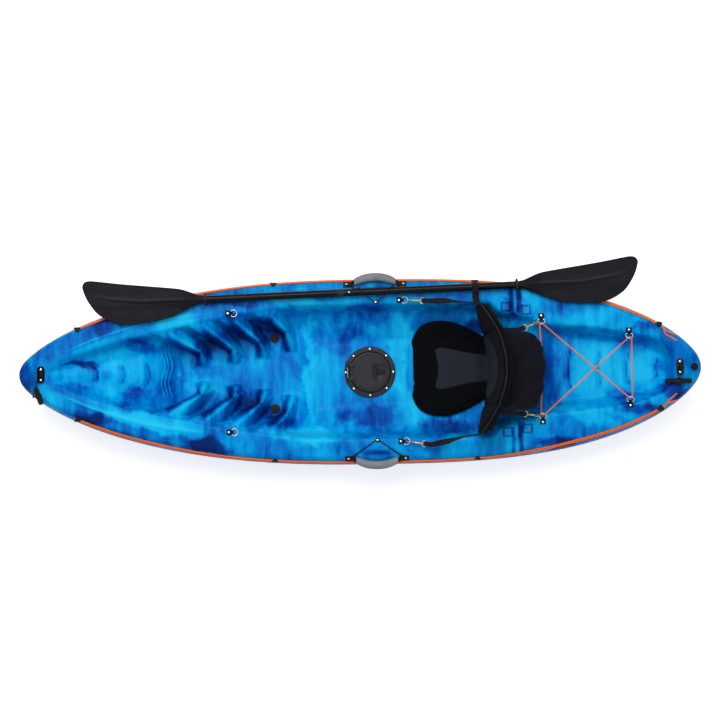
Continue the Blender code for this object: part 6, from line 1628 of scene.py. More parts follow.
def shoulder_frame(x, side, inset):
    """Placement on the sloping shoulder: Z square to the slope, X along the hull."""
    breadth, _, deck, _, shoulder, track, *_ = (float(v) for v in section(x))
    share = (breadth - inset - shoulder) / (track - shoulder)
    slope = Vector((0, LINE_TRACK_DROP, track - shoulder)).normalized()
    normal = Vector((0, side * slope.y, slope.z))
    place = (x, side * (shoulder + (track - shoulder) * share), deck - LINE_TRACK_DROP * share)
    return frame_at(place, (1, 0, 0), normal), normal


def handle_path(side):
    seat, normal = shoulder_frame(HANDLE_PLACE, side, HANDLE_INSET)
    base = seat.to_translation() + normal * (HANDLE_BAND / 2 + GAP)
    path = [base + Vector((u * HANDLE_HALF, side * out, up)) for u, out, up in HANDLE_SHAPE]
    shares = [1.0, 1.0, 0.5, 0.0, 0.0, 0.0, 0.0, 0.0, 0.5, 1.0, 1.0]
    return path, [(normal * b + Vector((0, 0, 1)) * (1 - b)).normalized() for b in shares]


def build_handles():
    places = []
    for side, word in SIDES:
        path, ups = handle_path(side)
        seat = shoulder_frame(HANDLE_PLACE, side, HANDLE_INSET)[0]
        steps = 5
        full = [path[0] - Vector((0.009, 0, 0)), *path, path[-1] + Vector((0.009, 0, 0))]
        line = smooth_path(full, steps)
        looks = [ups[0], *ups, ups[-1]]
        faces_up = smooth_looks(looks, steps)
        wide = smooth_values([0.0185] * 4 + [0.0145] * 5 + [0.0185] * 4, steps)
        for i, narrow in enumerate((0.42, 0.68, 0.84, 0.93, 0.98)):
            wide[i] *= narrow
            wide[-1 - i] *= narrow
        pads = []
        for end in (-1, 1):
            middle = (end * (HANDLE_HALF - 0.002), 0, HANDLE_BAND + GAP + 0.0011)
            pads.append(settle(block("pad", (0.0290, 0.0235, 0.0022), middle, 0.0009, 3), seat))
            places.append(seat @ Matrix.Translation((end * HANDLE_HALF, 0, HANDLE_BAND + GAP + 0.0022)))
        half = len(line) // 2 + 1
        for end, part in ((-1, slice(0, half)), (1, slice(half - 1, None))):
            strap = band(f"handle_band_{word}_{end}", line[part], wide[part], HANDLE_BAND, faces_up[part])
            coloured(strap, black_webbing())
            if end < 0:
                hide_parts(f"handle_strap_{word}")
            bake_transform(strap)
        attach(coloured(joined(f"handle_pads_{word}", pads), black_plastic()), "boat")

        rings = []
        count = 84
        xs, ys, zs = ([p[k] for p in line] for k in range(3))
        for i in range(count + 1):
            u = -1 + 2 * i / count
            x = path[5].x + u * GRIP_LENGTH / 2
            y, z = float(np.interp(x, xs, ys)), float(np.interp(x, xs, zs))
            swell = 0.66 + 0.34 * math.sqrt(max(0.0, 1 - u ** 6))
            swell *= 1 - 0.030 * (i % 2) * (abs(u) < 0.9)
            turns = [math.tau * k / 32 for k in range(32)]
            rings.append([
                Vector((
                    x, y + GRIP_WIDTH / 2 * swell * math.cos(a), z + GRIP_THICK / 2 * swell * math.sin(a),
                ))
                for a in turns
            ])
        grip = skinned(f"grip_{word}", rings, angle=50)
        slot = band("slot", line[steps:-steps], 0.0158, HANDLE_BAND + 0.0012, faces_up[steps:-steps])
        cut_away(grip, slot)
        standing(coloured(grip, grey_rubber()), f"handle_grip_{word}", f"handle_grip_{word}")
    screws("handle_screws", places, 0.0046, 0.0024)


KEEPER_BUTTON, KEEPER_RADIUS, KEEPER_REACH, KEEPER_END = (0.062, 0.266), 0.0020, 0.088, 0.3240
SHAFT_RADIUS = 0.0140


def build_keepers():
    """The bungee loops beside the seat: one holds the paddle, the other lies free on the deck."""
    places = []
    for side, word in SIDES:
        bx, by = KEEPER_BUTTON
        deck = float(sheer(bx))
        low = deck + KEEPER_RADIUS + GAP
        knot = KEEPER_RADIUS * 1.7
        halves = []
        for way in (-1, 1):
            half = [(KEEPER_REACH + 0.002, KEEPER_END + 0.0015, deck + 0.0055)]
            half.append((KEEPER_REACH, KEEPER_END, deck + 0.0045))
            if side > 0:
                half.append((KEEPER_REACH - 0.008, KEEPER_END - 0.007, deck + 0.0115))
                reach = SHAFT_RADIUS + KEEPER_RADIUS + 0.0008
                for step in range(7):
                    along = 0.064 - 0.005 * step
                    shaft = paddle_axis_at(bx + way * along)
                    angle = math.radians(6 + 28 * step)
                    half.append((along, shaft.y + reach * math.cos(angle), shaft.z + reach * math.sin(angle)))
            else:
                half.append((0.045, by + 0.028, low + 0.001))
            half += [(0.0065, by + 0.001, low + 0.0005), (0.0045, by - 0.0055, low + 0.0005)]
            halves.append([Vector((bx + way * dx, side * y, z)) for dx, y, z in half])
        stops = halves[0] + [Vector((bx, side * (by - 0.0072), low + 0.0005))] + halves[1][::-1]
        path = smooth_path(stops, 5)
        end_sizes = [knot * 0.75, knot, KEEPER_RADIUS * 1.1]
        sizes = end_sizes + [KEEPER_RADIUS] * (len(stops) - 6) + end_sizes[::-1]
        cord = swept(f"keeper_cord_{word}", path, smooth_values(sizes, 5), 12)
        standing(coloured(cord, black_braid()), "boat", f"paddle_bungee_{word}")
        profile = [
            (0, 0), (0.0048, 0), (0.0046, 0.0040), (0.0075, 0.0046), (0.0086, 0.0054),
            (0.0086, 0.0064), (0.0078, 0.0074),
            (0.0055, 0.0080), (0, 0.0080),
        ]
        place = Matrix.Translation((bx, side * by, deck + GAP))
        button = settle(spun(f"keeper_button_{word}", profile, 40), place)
        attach(coloured(button, black_plastic()), "boat")
        places.append(place @ Matrix.Translation((0, 0, 0.0080)))
    screws("keeper_screws", places, 0.0042, 0.0018)


def build_guides():
    """Small saddle clips that hold the two runs of the rigging line at four places a side."""
    saddles = []
    for side, _ in SIDES:
        for x in GUIDES:
            seat = edge_frame(x, side, LINE_RADIUS * 2.2)
            half = [(0.0140, 0.0010), (0.0118, 0.0012), (0.0090, 0.0048), (0.0042, 0.0075)]
            path = smooth_path([(0, -y, z) for y, z in half] + [(0, y, z) for y, z in half[::-1]], 4)
            widths = smooth_values([0.012, 0.012, 0.016, 0.028, 0.028, 0.016, 0.012, 0.012], 4)
            saddles.append(settle(band("saddle", path, widths, 0.0018, Vector((0, 0, 1))), seat))
            for y in (-0.0128, 0.0128):
                saddles.append(settle(rod("rivet", 0.0026, 0.0014, (0, y, 0.0024), 20, 0.0005), seat))
    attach(coloured(joined("line_saddles", saddles), black_plastic()), "boat")


# Shock cord over the tank well
BUNGEE_RADIUS = 0.0025


def bungee_corner(seat, come_from, go_to):
    """The cord turns inside a ring, from above its wire to below it."""
    ring = ring_frame(seat, LOADED_TILT)
    back = ring.inverted()
    centre = Vector((RING_RADIUS - RING_BAR_OFFSET + 0.0160, 0))
    radius = 0.0076
    start = (centre - (back @ Vector(come_from)).xy).normalized()
    end = ((back @ Vector(go_to)).xy - centre).normalized()
    turn = math.atan2(start.x * end.y - start.y * end.x, start.dot(end))
    points = []
    for i in range(9):
        a = turn * i / 8
        c, s = math.cos(a), math.sin(a)
        way = Vector((start.x * c - start.y * s, start.x * s + start.y * c))
        side = Vector((-way.y, way.x)) * math.copysign(1, turn)
        spot = centre - side * radius
        points.append(ring @ Vector((spot.x, spot.y, 0.0046 * math.cos(math.pi * i / 8))))
    return points


def straight_run(start, end, lift):
    """Points between two turns, close together near them; lift bows the run up or down where it crosses."""
    length = (end - start).length
    near = [d / length for d in (0.003, 0.009, 0.027) if d < length * 0.4]
    shares = near + [0.5] + [1 - s for s in near[::-1]]
    return [start.lerp(end, s) + Vector((0, 0, lift * math.sin(math.pi * s))) for s in shares]


def build_tank_bungee():
    """One shock cord through four rings: a run across at each end and a cross between them."""
    seats = loaded_seats()
    corner = {}
    for end in ("front", "rear"):
        for _, word in SIDES:
            seat = seats[f"tank_{end}_ring_{word}"]
            corner[end, word] = seat, ring_frame(seat, LOADED_TILT) @ Vector((0.012, 0, 0))
    order = [("front", "starboard"), ("rear", "port"), ("rear", "starboard"), ("front", "port")]
    spots = [corner[key][1] for key in order]
    crossing = spots[0].lerp(spots[3], 0.62)
    path = [crossing + Vector((0.0027, 0.006, 0.0008)), crossing + Vector((0.0027, 0.016, 0.0004))]
    for i, key in enumerate(order):
        before = crossing if i == 0 else spots[i - 1]
        after = spots[i + 1] if i < 3 else crossing
        turn = bungee_corner(corner[key][0], before, after)
        path += straight_run(path[-1], turn[0], (0, 0.0036, 0, -0.0036)[i]) + turn
    last = crossing + Vector((-0.0027, -0.016, 0.0004))
    path += straight_run(path[-1], last, 0) + [last, crossing + Vector((-0.0027, -0.006, 0.0008))]
    path = smooth_path(path, 3)
    cord = swept("tank_cord", path, BUNGEE_RADIUS, 12)
    standing(coloured(cord, orange_braid()), "boat", "tank_bungee")
    clip_path = [
        (0.0060 * math.cos(a), 0, 0.0034 * math.sin(a)) for a in [math.tau * i / 28 for i in range(28)]
    ]
    clip = settle(swept("cord_clip", clip_path, 0.0009, 10, closed=True), Matrix.Translation(crossing))
    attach(coloured(clip, steel()), "boat")


# Paddle
PADDLE_FRONT_NECK, PADDLE_REAR_NECK = (-0.614, 0.282), (0.627, 0.324)
SHAFT_SEAM, BUTTON_PLACE = -0.072, -0.040
BLADE_LENGTH = 0.454
BLADE_UPPER = (
    (-0.03, 0.0160), (0.0, 0.0165), (0.030, 0.028), (0.072, 0.043), (0.130, 0.0515), (0.200, 0.060),
    (0.300, 0.072),
    (0.400, 0.0860), (0.428, 0.0880), (0.443, 0.0840), (0.451, 0.0760), (0.454, 0.0665),
)
BLADE_LOWER = (
    (-0.03, -0.0160), (0.0, -0.0165), (0.037, -0.030), (0.072, -0.046), (0.109, -0.061), (0.180, -0.078),
    (0.266, -0.085), (0.315, -0.080), (0.348, -0.069), (0.380, -0.052), (0.405, -0.031), (0.430, 0.004),
    (0.443, 0.028), (0.451, 0.050), (0.454, 0.0635),
)


BLADE_SPINE = ((0.0, 0.0), (0.12, 0.002), (0.22, 0.001), (0.30, 0.010), (0.36, 0.018), (0.454, 0.038))
BLADE_TIP_TRIM = 0.010


def paddle_frame():
    """The shaft's own frame: origin at the front neck, X along the shaft towards the stern."""
    fx, fy = PADDLE_FRONT_NECK
    rx, ry = PADDLE_REAR_NECK
    front = Vector((fx, fy, float(sheer(fx + 0.022)) + 0.0245 + 0.0020))
    rear = Vector((rx, ry, float(sheer(rx)) + 0.0225))
    return frame_at(front, rear - front, (0, 0, 1)), (rear - front).length


def paddle_axis_at(x):
    place, length = paddle_frame()
    start, end = place.to_translation(), place @ Vector((length, 0, 0))
    return start + (end - start) * (x - start.x) / (end.x - start.x)


def spine_relief_and_shade(a, y):
    """The blade's curved spine, from its crest at 1 to the hollow under it at -0.6: a small rise in the
    shape, and a painted highlight and painted shade in the colour.
    """
    middle = read_line(BLADE_SPINE, a)
    fade = np.clip((a - 0.02) / 0.07, 0, 1) * np.clip((0.43 - a) / 0.10, 0, 1)
    return (line_bump(y - middle - 0.003, 0.0055) - 0.6 * line_bump(y - middle + 0.0085, 0.0065)) * fade


def build_blade(name, outward):
    """An asymmetric spoon blade with a spine that fades out towards its tip."""
    upper = np.array([p.xy for p in smooth_path([(a, y, 0) for a, y in BLADE_UPPER], 6)])
    lower = np.array([p.xy for p in smooth_path([(a, y, 0) for a, y in BLADE_LOWER], 6)])
    tip_turns = np.linspace(0.12, math.pi / 2, 14)
    stations = np.concatenate([np.linspace(-0.012, 0.42, 64), 0.454 - 0.034 * np.cos(tip_turns)])
    shares = np.sin(np.linspace(-math.pi / 2, math.pi / 2, 65))
    rings = []
    for a in stations:
        reach = outward * (a - BLADE_TIP_TRIM * (max(a, 0) / BLADE_LENGTH) ** 3)
        high, low = np.interp(a, upper[:, 0], upper[:, 1]), np.interp(a, lower[:, 0], lower[:, 1])
        centre, half = (high + low) / 2, max((high - low) / 2, 0.0012)
        neck = eased(min(1.0, max(0.0, 1 - a / 0.085)))
        crown = 0.0110 * max(0.18, 1 - a / (BLADE_LENGTH * 0.9)) / 2
        spoon = 0.022 * (max(a, 0) / BLADE_LENGTH) ** 2
        y = centre + half * shares
        tube_half = 0.0165 * np.sqrt(np.maximum(0, 1 - shares ** 2))
        rib = np.clip(1 - np.abs(y) / 0.034, 0, 1)
        lip = 0.0007 * np.exp(-((half * (1 - np.abs(shares)) - 0.0035) / 0.0024) ** 2)
        flat = 0.00175 * np.sqrt(np.maximum(0, 1 - shares ** 8)) + crown * rib ** 2 * (3 - 2 * rib)
        flat = flat + lip * (a > 0.03) + 0.0014 * spine_relief_and_shade(a, y)
        thick = neck * tube_half + (1 - neck) * flat
        thick[0] = thick[-1] = 0
        top = [Vector((reach, v, t + spoon)) for v, t in zip(y, thick)]
        bottom = [Vector((reach, v, -t + spoon)) for v, t in zip(y[1:-1], thick[1:-1])]
        rings.append(top + bottom[::-1])
    blade = outward_faced(skinned(name, rings, angle=60))
    places, _ = points_of(blade)
    # the spine's painted highlight and shade, for the blade's material
    layer = blade.data.attributes.new("spine", "FLOAT", "POINT")
    layer.data.foreach_set("value", spine_relief_and_shade(np.abs(places[:, 0]), places[:, 1]).astype(np.float32))
    return blade


def outward_faced(piece):
    return soft_shade(outward(piece), 60)


def build_paddle():
    place, length = paddle_frame()
    start = place.to_translation().x
    scale = length / (PADDLE_REAR_NECK[0] - PADDLE_FRONT_NECK[0])
    seam = (SHAFT_SEAM - start) * scale
    lying = Matrix.Rotation(math.radians(90), 4, "Y")
    button_at = place @ Matrix.Translation(((BUTTON_PLACE - start) * scale, 0, 0))
    front_profile = [
        (SHAFT_RADIUS, -0.016), (SHAFT_RADIUS, seam - 0.0008), (SHAFT_RADIUS - 0.0006, seam),
        (0.0113, seam),
        (0.0113, seam + 0.150), (0.0093, seam + 0.150), (0.0093, -0.016),
    ]
    front = settle(spun("front_shaft", front_profile, 48, ring=True), place @ lying)
    rear_profile = [
        (SHAFT_RADIUS - 0.0006, seam + GAP), (SHAFT_RADIUS, seam + 0.0011), (SHAFT_RADIUS, length + 0.016),
        (0.0118, length + 0.016), (0.0118, seam + GAP),
    ]
    rear = settle(spun("rear_shaft", rear_profile, 48, ring=True), place @ lying)
    for shaft in (front, rear):
        cut_away(shaft, settle(rod("button_hole", 0.0039, 0.016, (0, 0, 0.012), 32), button_at))
        soft_shade(shaft, 30)
        coloured(shaft, shaft_coating())
    standing(front, "paddle", "paddle_shaft_front")
    standing(rear, "paddle", "paddle_shaft_rear")
    collar_profile = [(0.0141, -0.014), (0.0147, -0.0130), (0.0147, 0.0130), (0.0141, 0.014)]
    collar = spun("shaft_collar", collar_profile, 48, ring=True)
    settle(collar, place @ Matrix.Translation((seam, 0, 0)) @ lying)
    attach(coloured(collar, black_rubber()), "paddle")
    button_profile = [
        (0, 0.0075), (0.0036, 0.0075), (0.0036, 0.0156), (0.0032, 0.0166), (0.0022, 0.0172), (0, 0.0174),
    ]
    button = settle(spun("lock_button", button_profile, 32), button_at)
    standing(coloured(button, steel()), "paddle_snap_button", "paddle_snap_button")
    for word, at, outward_sign in (("front", 0.0, -1), ("rear", length, 1)):
        spot = place @ Matrix.Translation((at, 0, 0))
        blade = settle(build_blade(f"{word}_blade", outward_sign), spot)
        standing(coloured(blade, blade_plastic()), "paddle", f"paddle_blade_{word}")
        drip_profile = [
            (0.0143, -0.005), (0.0170, -0.005), (0.0178, -0.0042), (0.0184, -0.0034),
            (0.0205, -0.0028), (0.0238, -0.0024),
            (0.0245, -0.0012), (0.0245, 0.0020), (0.0236, 0.0030), (0.0205, 0.0032), (0.0185, 0.0040),
            (0.0165, 0.0050),
            (0.0143, 0.0050),
        ]
        cup = spun(f"{word}_drip_cup", [(a, z * outward_sign) for a, z in drip_profile], 64, ring=True)
        settle(cup, place @ Matrix.Translation((at - outward_sign * 0.022, 0, 0)) @ lying)
        standing(coloured(cup, black_rubber()), f"drip_ring_{word}", f"drip_ring_{word}")


# Seat
CUSHION_FRONT, CUSHION_REAR, CUSHION_HALF_WIDTH, CUSHION_OFFSET = 0.199, 0.492, 0.190, 0.010
CUSHION_OUTLINE = (
    (0.0, 0.55), (0.03, 0.67), (0.07, 0.79), (0.12, 0.88), (0.20, 0.95), (0.30, 0.99), (0.40, 1.0),
    (0.52, 0.98),
    (0.64, 0.93), (0.76, 0.86), (0.88, 0.76), (1.0, 0.66),
)
CUSHION_THICK, CUSHION_DISH, CUSHION_FRONT_ROLL, CUSHION_DRAW_IN = 0.040, 0.010, 0.008, 0.027
BACKREST_PLACE, BACKREST_HALF_WIDTH, BACKREST_BOTTOM, BACKREST_TOP = 0.515, 0.245, 0.150, 0.570
BACKREST_THICK, BACKREST_WRAP, BACKREST_LEAN = 0.034, 0.080, 0.030
BACKREST_WING_RISE, BACKREST_WING_DROP = 0.175, 0.110
BAG_LENGTH, BAG_WIDTH, BAG_HEIGHT, BAG_OFFSET, BAG_BOTTOM = 0.152, 0.296, 0.200, -0.010, 0.252
SWELL_FRAMES = 20


def backrest_face(v, height):
    lean = BACKREST_LEAN * (height - BACKREST_BOTTOM) / (BACKREST_TOP - BACKREST_BOTTOM)
    return BACKREST_PLACE - BACKREST_WRAP * v * v + lean


def backrest_limits(v):
    low = BACKREST_BOTTOM + BACKREST_WING_RISE * abs(v) ** 2.4
    return low, BACKREST_TOP - BACKREST_WING_DROP * abs(v) ** 2.2


def points_of(piece):
    """The mesh's points and their normals as two arrays."""
    count = len(piece.data.vertices)
    places, normals = np.zeros(count * 3), np.zeros(count * 3)
    piece.data.vertices.foreach_get("co", places)
    piece.data.vertex_normals.foreach_get("vector", normals)
    return places.reshape(-1, 3), normals.reshape(-1, 3)


def moved_to(piece, places):
    piece.data.vertices.foreach_set("co", places.ravel())
    piece.data.update()
    return piece


def stuffed(piece, voxel, pressure, reach, held):
    """Swells a closed cover under pressure. held picks the points that stay, and none moves past reach."""
    step = piece.modifiers.new("even_mesh", "REMESH")
    step.mode = "VOXEL"
    step.voxel_size = voxel
    bake_modifiers(piece)
    start, _ = points_of(piece)
    group = piece.vertex_groups.new(name="held")
    group.add([i for i, p in enumerate(start) if held(p)], 1.0, "REPLACE")
    cloth = piece.modifiers.new("swell", "CLOTH")
    cloth.settings.use_pressure = True
    cloth.settings.uniform_pressure_force = pressure
    cloth.settings.vertex_group_mass = "held"
    cloth.settings.effector_weights.gravity = 0
    cloth.settings.quality = 3
    for tick in range(1, SWELL_FRAMES + 1):
        bpy.context.scene.frame_set(tick)
    bake_modifiers(piece)
    bpy.context.scene.frame_set(1)
    piece.vertex_groups.clear()
    swollen, _ = points_of(piece)
    shift = swollen - start
    length = np.linalg.norm(shift, axis=1)
    moved_to(piece, start + shift * np.minimum(1.0, reach / np.maximum(length, 1e-9))[:, None])
    return subdivided(piece)


def sewn(piece, relief):
    """Moves points along their normals by relief(places, normals): seams, channels and quilting."""
    places, normals = points_of(piece)
    return moved_to(piece, places + normals * relief(places, normals)[:, None])


def toned(piece, inside, softness, faces=None):
    """Writes on the points how much of the grey cloth shows; inside says how far in the panel each is."""
    places, normals = points_of(piece)
    tone = np.clip(0.5 + inside(places) / softness, 0, 1)
    if faces:
        tone = tone * faces(normals)
    layer = piece.data.attributes.new("panel", "FLOAT", "POINT")
    layer.data.foreach_set("value", tone.astype(np.float32))
    return piece


def laid_on(piece, points, lift):
    """The nearest places on a piece's surface, lifted off it."""
    found = []
    for point in points:
        hit, place, normal, _ = piece.closest_point_on_mesh(Vector(point))
        found.append(place + normal * lift if hit else Vector(point))
    return found


def cushion_edge(places):
    """How far inside the cushion's outline each point is, and how far inside its grey panel."""
    x, y = places[:, 0], np.abs(places[:, 1] - CUSHION_OFFSET)
    share = np.clip((x - CUSHION_FRONT) / (CUSHION_REAR - CUSHION_FRONT), 0, 1)
    half = read_line(CUSHION_OUTLINE, share) * CUSHION_HALF_WIDTH
    slope = 0.55 * np.clip(1 - share / 0.30, 0, 1) + 0.30 * np.clip((share - 0.7) / 0.3, 0, 1)
    front = CUSHION_FRONT + CUSHION_DRAW_IN * (1 - np.clip(y / CUSHION_HALF_WIDTH, 0, 1) ** 2)
    edge = np.minimum((half - y) * (1 - slope), x - front)
    width = np.interp(x, (0.290, 0.330, 0.400, 0.440, 0.492), (0.0825, 0.0815, 0.066, 0.057, 0.054))
    panel = np.minimum(width - y, x - (0.306 - 0.013 * np.clip(y / 0.07, 0, 1) ** 2))
    corner = np.hypot(np.clip(0.314 - x, 0, 1), np.clip(y - 0.061, 0, 1))
    return edge, np.where((x < 0.314) & (y > 0.061), np.minimum(panel, 0.0210 - corner), panel)


def build_cushion():
    """A foam cushion with a rolled rim, dished in the middle, its front edge drawn in."""
    rings = []
    shares = np.sin(np.linspace(-math.pi / 2, math.pi / 2, 27))
    for u in 0.5 - 0.5 * np.cos(np.linspace(0.02, math.pi - 0.02, 46)):
        half = float(read_line(CUSHION_OUTLINE, u)) * CUSHION_HALF_WIDTH - 0.002
        end = min(u, 1 - u) / 0.060
        rounding = math.sqrt(max(0.0, 1 - max(0.0, 1 - end) ** 2))
        drawn_in = CUSHION_DRAW_IN * (1 - shares ** 2) * (1 - u)
        x = CUSHION_FRONT + 0.001 + (CUSHION_REAR - CUSHION_FRONT) * u + drawn_in
        y = CUSHION_OFFSET + half * shares
        base = deck_height(x, y) + 2 * GAP
        roll = CUSHION_DISH * np.exp(-((np.abs(shares) - 0.86) / 0.12) ** 2)
        roll = np.maximum(roll, CUSHION_FRONT_ROLL * math.exp(-((u - 0.06) / 0.07) ** 2))
        edge = np.sqrt(np.maximum(0.0, 1 - np.abs(shares) ** 7))
        thick = CUSHION_THICK - CUSHION_DISH + roll - 0.004
        thick = thick * (0.30 + 0.70 * rounding) * (0.36 + 0.64 * edge)
        top = [Vector(p) for p in zip(x, y, base + thick)]
        bottom = [Vector(p) for p in zip(x, y, base)]
        rings.append(top + bottom[::-1])
    cushion = outward(skinned("cushion_cover", rings))
    cushion = stuffed(cushion, 0.005, 4.0, 0.004, lambda p: p[2] < float(deck_height(p[0], p[1])) + 0.006)

    def relief(places, normals):
        edge, panel = cushion_edge(places)
        up = np.clip((normals[:, 2] - 0.25) / 0.4, 0, 1)
        cut = -0.0055 * line_bump(edge - 0.0230, 0.0034) - 0.0040 * line_bump(panel + 0.002, 0.0036)
        cut += -0.0016 * line_bump(edge - 0.0105, 0.0018) + 0.0020 * np.clip(panel / 0.004, 0, 1)
        grain = np.array([noise.noise(Vector(p) * 16.0) for p in places]) * 0.0016
        return (cut + grain) * up

    sewn(cushion, relief)
    places, _ = points_of(cushion)
    places[:, 2] = np.maximum(places[:, 2], deck_height(places[:, 0], places[:, 1]) + GAP)
    moved_to(cushion, places)
    toned(cushion, lambda places: cushion_edge(places)[1], 0.0024, lambda normals: normals[:, 2] > 0)
    soft_shade(cushion, 70)
    coloured(cushion, seat_cloth())
    standing(cushion, "boat", "seat_cushion")

    outline = []
    for y in np.linspace(-0.100, 0.100, 13):
        outline.append((CUSHION_FRONT + CUSHION_DRAW_IN * (1 - (y / CUSHION_HALF_WIDTH) ** 2), y))
    flank = [(u, half * CUSHION_HALF_WIDTH) for u, half in CUSHION_OUTLINE]
    run = CUSHION_REAR - CUSHION_FRONT
    outline += [(CUSHION_FRONT + run * u, half) for u, half in flank]
    outline += [(CUSHION_REAR, y) for y in np.linspace(0.105, -0.105, 11)]
    outline += [(CUSHION_FRONT + run * u, -half) for u, half in flank[::-1]]
    rim = []
    for x, y in outline:
        y += CUSHION_OFFSET
        rim.append((x, y, float(deck_height(x, y)) + 0.020))
    rim = laid_on(cushion, rim, 0.0004)
    path = smooth_path(rim + rim[:1], 4)[:-1]
    piping = swept("cushion_piping", path, 0.0018, 8, closed=True)
    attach(coloured(piping, seat_black()), "boat")

    stops = [(0.4780, 0.1600), (0.4850, 0.1640), (0.4930, 0.1640), (0.5020, 0.1670)]
    fold = [p + Vector((0, CUSHION_OFFSET, 0)) for p in smooth_path([(x, 0, z) for x, z in stops], 4)]
    hinge = band("seat_hinge_cloth", fold, 0.232, 0.0016, Vector((0, 0, 1)))
    hinge = subdivided(hinge, 2)
    toned(hinge, lambda places: 0.054 - np.abs(places[:, 1] - CUSHION_OFFSET), 0.004)
    coloured(hinge, seat_cloth())
    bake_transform(hinge)


def backrest_panel(places):
    """How far inside the grey panel of the backrest's front each point is."""
    y, z = np.abs(places[:, 1] - 0.008), places[:, 2]
    width = np.interp(z, (0.16, 0.30, 0.42), (0.100, 0.126, 0.126))
    top = 0.412 - 0.14 * np.clip(y / 0.124, 0, 1) ** 3
    return np.minimum(width - y, top - z)


def build_backrest():
    """A padded, wrapped backrest: black sides and top, and a grey ribbed panel low on its front."""
    rings = []
    count = 48
    for i in range(count + 1):
        v = math.sin(math.pi / 2 * (-1 + 2 * i / count)) * 0.992
        low, high = backrest_limits(v)
        low, high = low + 0.002, high - 0.004
        edge = 0.22 + 0.78 * math.sqrt(max(0.0, 1 - abs(v) ** 8))
        loop_front, loop_back = [], []
        for share in [0.5 - 0.5 * math.cos(math.pi * k / 22) for k in range(23)]:
            z = low + (high - low) * share
            power = 40 if share < 0.5 else 14
            rounding = math.sqrt(max(0.0, 1 - abs(2 * share - 1) ** power))
            thick = (BACKREST_THICK - 0.005) * edge * (0.30 + 0.70 * rounding)
            x, y = backrest_face(v, z), BACKREST_HALF_WIDTH * v
            loop_front.append(Vector((x - thick / 2, y, z)))
            loop_back.append(Vector((x + thick / 2, y, z)))
        rings.append(loop_front + loop_back[::-1])
    backrest = outward(skinned("backrest_cover", rings))
    backrest = stuffed(backrest, 0.0055, 4.0, 0.0035, lambda p: False)

    def relief(places, normals):
        panel = backrest_panel(places)
        ahead = np.clip((-normals[:, 0] - 0.2) / 0.4, 0, 1)
        z = places[:, 2]
        inside = np.clip(panel / 0.004, 0, 1)
        ribs = line_bump((z - 0.160) % 0.030 - 0.015, 0.0042)
        cut = -0.0040 * line_bump(panel, 0.0030) - 0.0042 * ribs * inside
        v = np.abs(places[:, 1]) / BACKREST_HALF_WIDTH
        bolster = np.clip((v - 0.56) / 0.10, 0, 1)
        cut += 0.0030 * bolster - 0.0040 * line_bump(v - 0.56, 0.020)
        low = BACKREST_BOTTOM + BACKREST_WING_RISE * v ** 2.4
        high = BACKREST_TOP - BACKREST_WING_DROP * v ** 2.2
        rim = np.minimum(np.minimum(z - low, high - z), BACKREST_HALF_WIDTH - np.abs(places[:, 1]))
        both = np.clip((np.abs(normals[:, 0]) - 0.2) / 0.4, 0, 1)
        grain = np.array([noise.noise(Vector(p) * 17.0) for p in places]) * 0.0018
        return cut * ahead + (grain - 0.0030 * line_bump(rim - 0.017, 0.0028)) * both

    sewn(backrest, relief)
    toned(backrest, backrest_panel, 0.003, lambda normals: normals[:, 0] < -0.2)
    soft_shade(backrest, 70)
    coloured(backrest, seat_cloth())
    standing(backrest, "backrest", "seat_backrest")

    edge = []
    across = np.linspace(0.97, -0.97, 44)
    ahead = BACKREST_THICK * 0.45
    for t in across:
        high = backrest_limits(t)[1]
        edge.append((backrest_face(t, high) - ahead, BACKREST_HALF_WIDTH * t, high - 0.002))
    side = backrest_limits(1.0)
    rise = [side[0] + (side[1] - side[0]) * share for share in (0.85, 0.6, 0.35, 0.12)]
    edge += [(backrest_face(1.0, z), -BACKREST_HALF_WIDTH - 0.002, z) for z in rise]
    for t in -across:
        low = backrest_limits(t)[0]
        edge.append((backrest_face(t, low) + 0.006, BACKREST_HALF_WIDTH * t, low - 0.002))
    edge += [(backrest_face(1.0, z), BACKREST_HALF_WIDTH + 0.002, z) for z in rise[::-1]]
    trim = laid_on(backrest, edge, 0.0007)
    path = smooth_path(trim + trim[:1], 3)[:-1]
    piping = swept("backrest_piping", path, 0.0020, 8, closed=True)
    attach(coloured(piping, seat_grey()), "backrest")

    for side, word in SIDES:
        behind, faces = [], []
        for v in np.linspace(0.76, 0.975, 19):
            back = backrest_face(v, 0.430) + BACKREST_THICK / 2 + 0.0055
            behind.append(Vector((back, side * BACKREST_HALF_WIDTH * v, 0.430)))
            faces.append(Vector((1, side * 2 * BACKREST_WRAP * v / BACKREST_HALF_WIDTH, 0)).normalized())
        thick = [0.0062 + 0.0024 * math.sin(2.1 * i) for i in range(19)]
        tab = band(f"wing_webbing_{word}", behind, [0.030] * 19, thick, faces)
        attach(coloured(tab, black_webbing()), "backrest")


BAG_REACH = ((0.0, 0.10), (0.05, 0.72), (0.35, 0.92), (0.62, 1.0), (0.90, 0.95), (1.0, 0.34))
BAG_GATHERS = (-0.128, -0.098, -0.083, -0.046, -0.034, -0.006, 0.012, 0.042, 0.060, 0.096, 0.122)


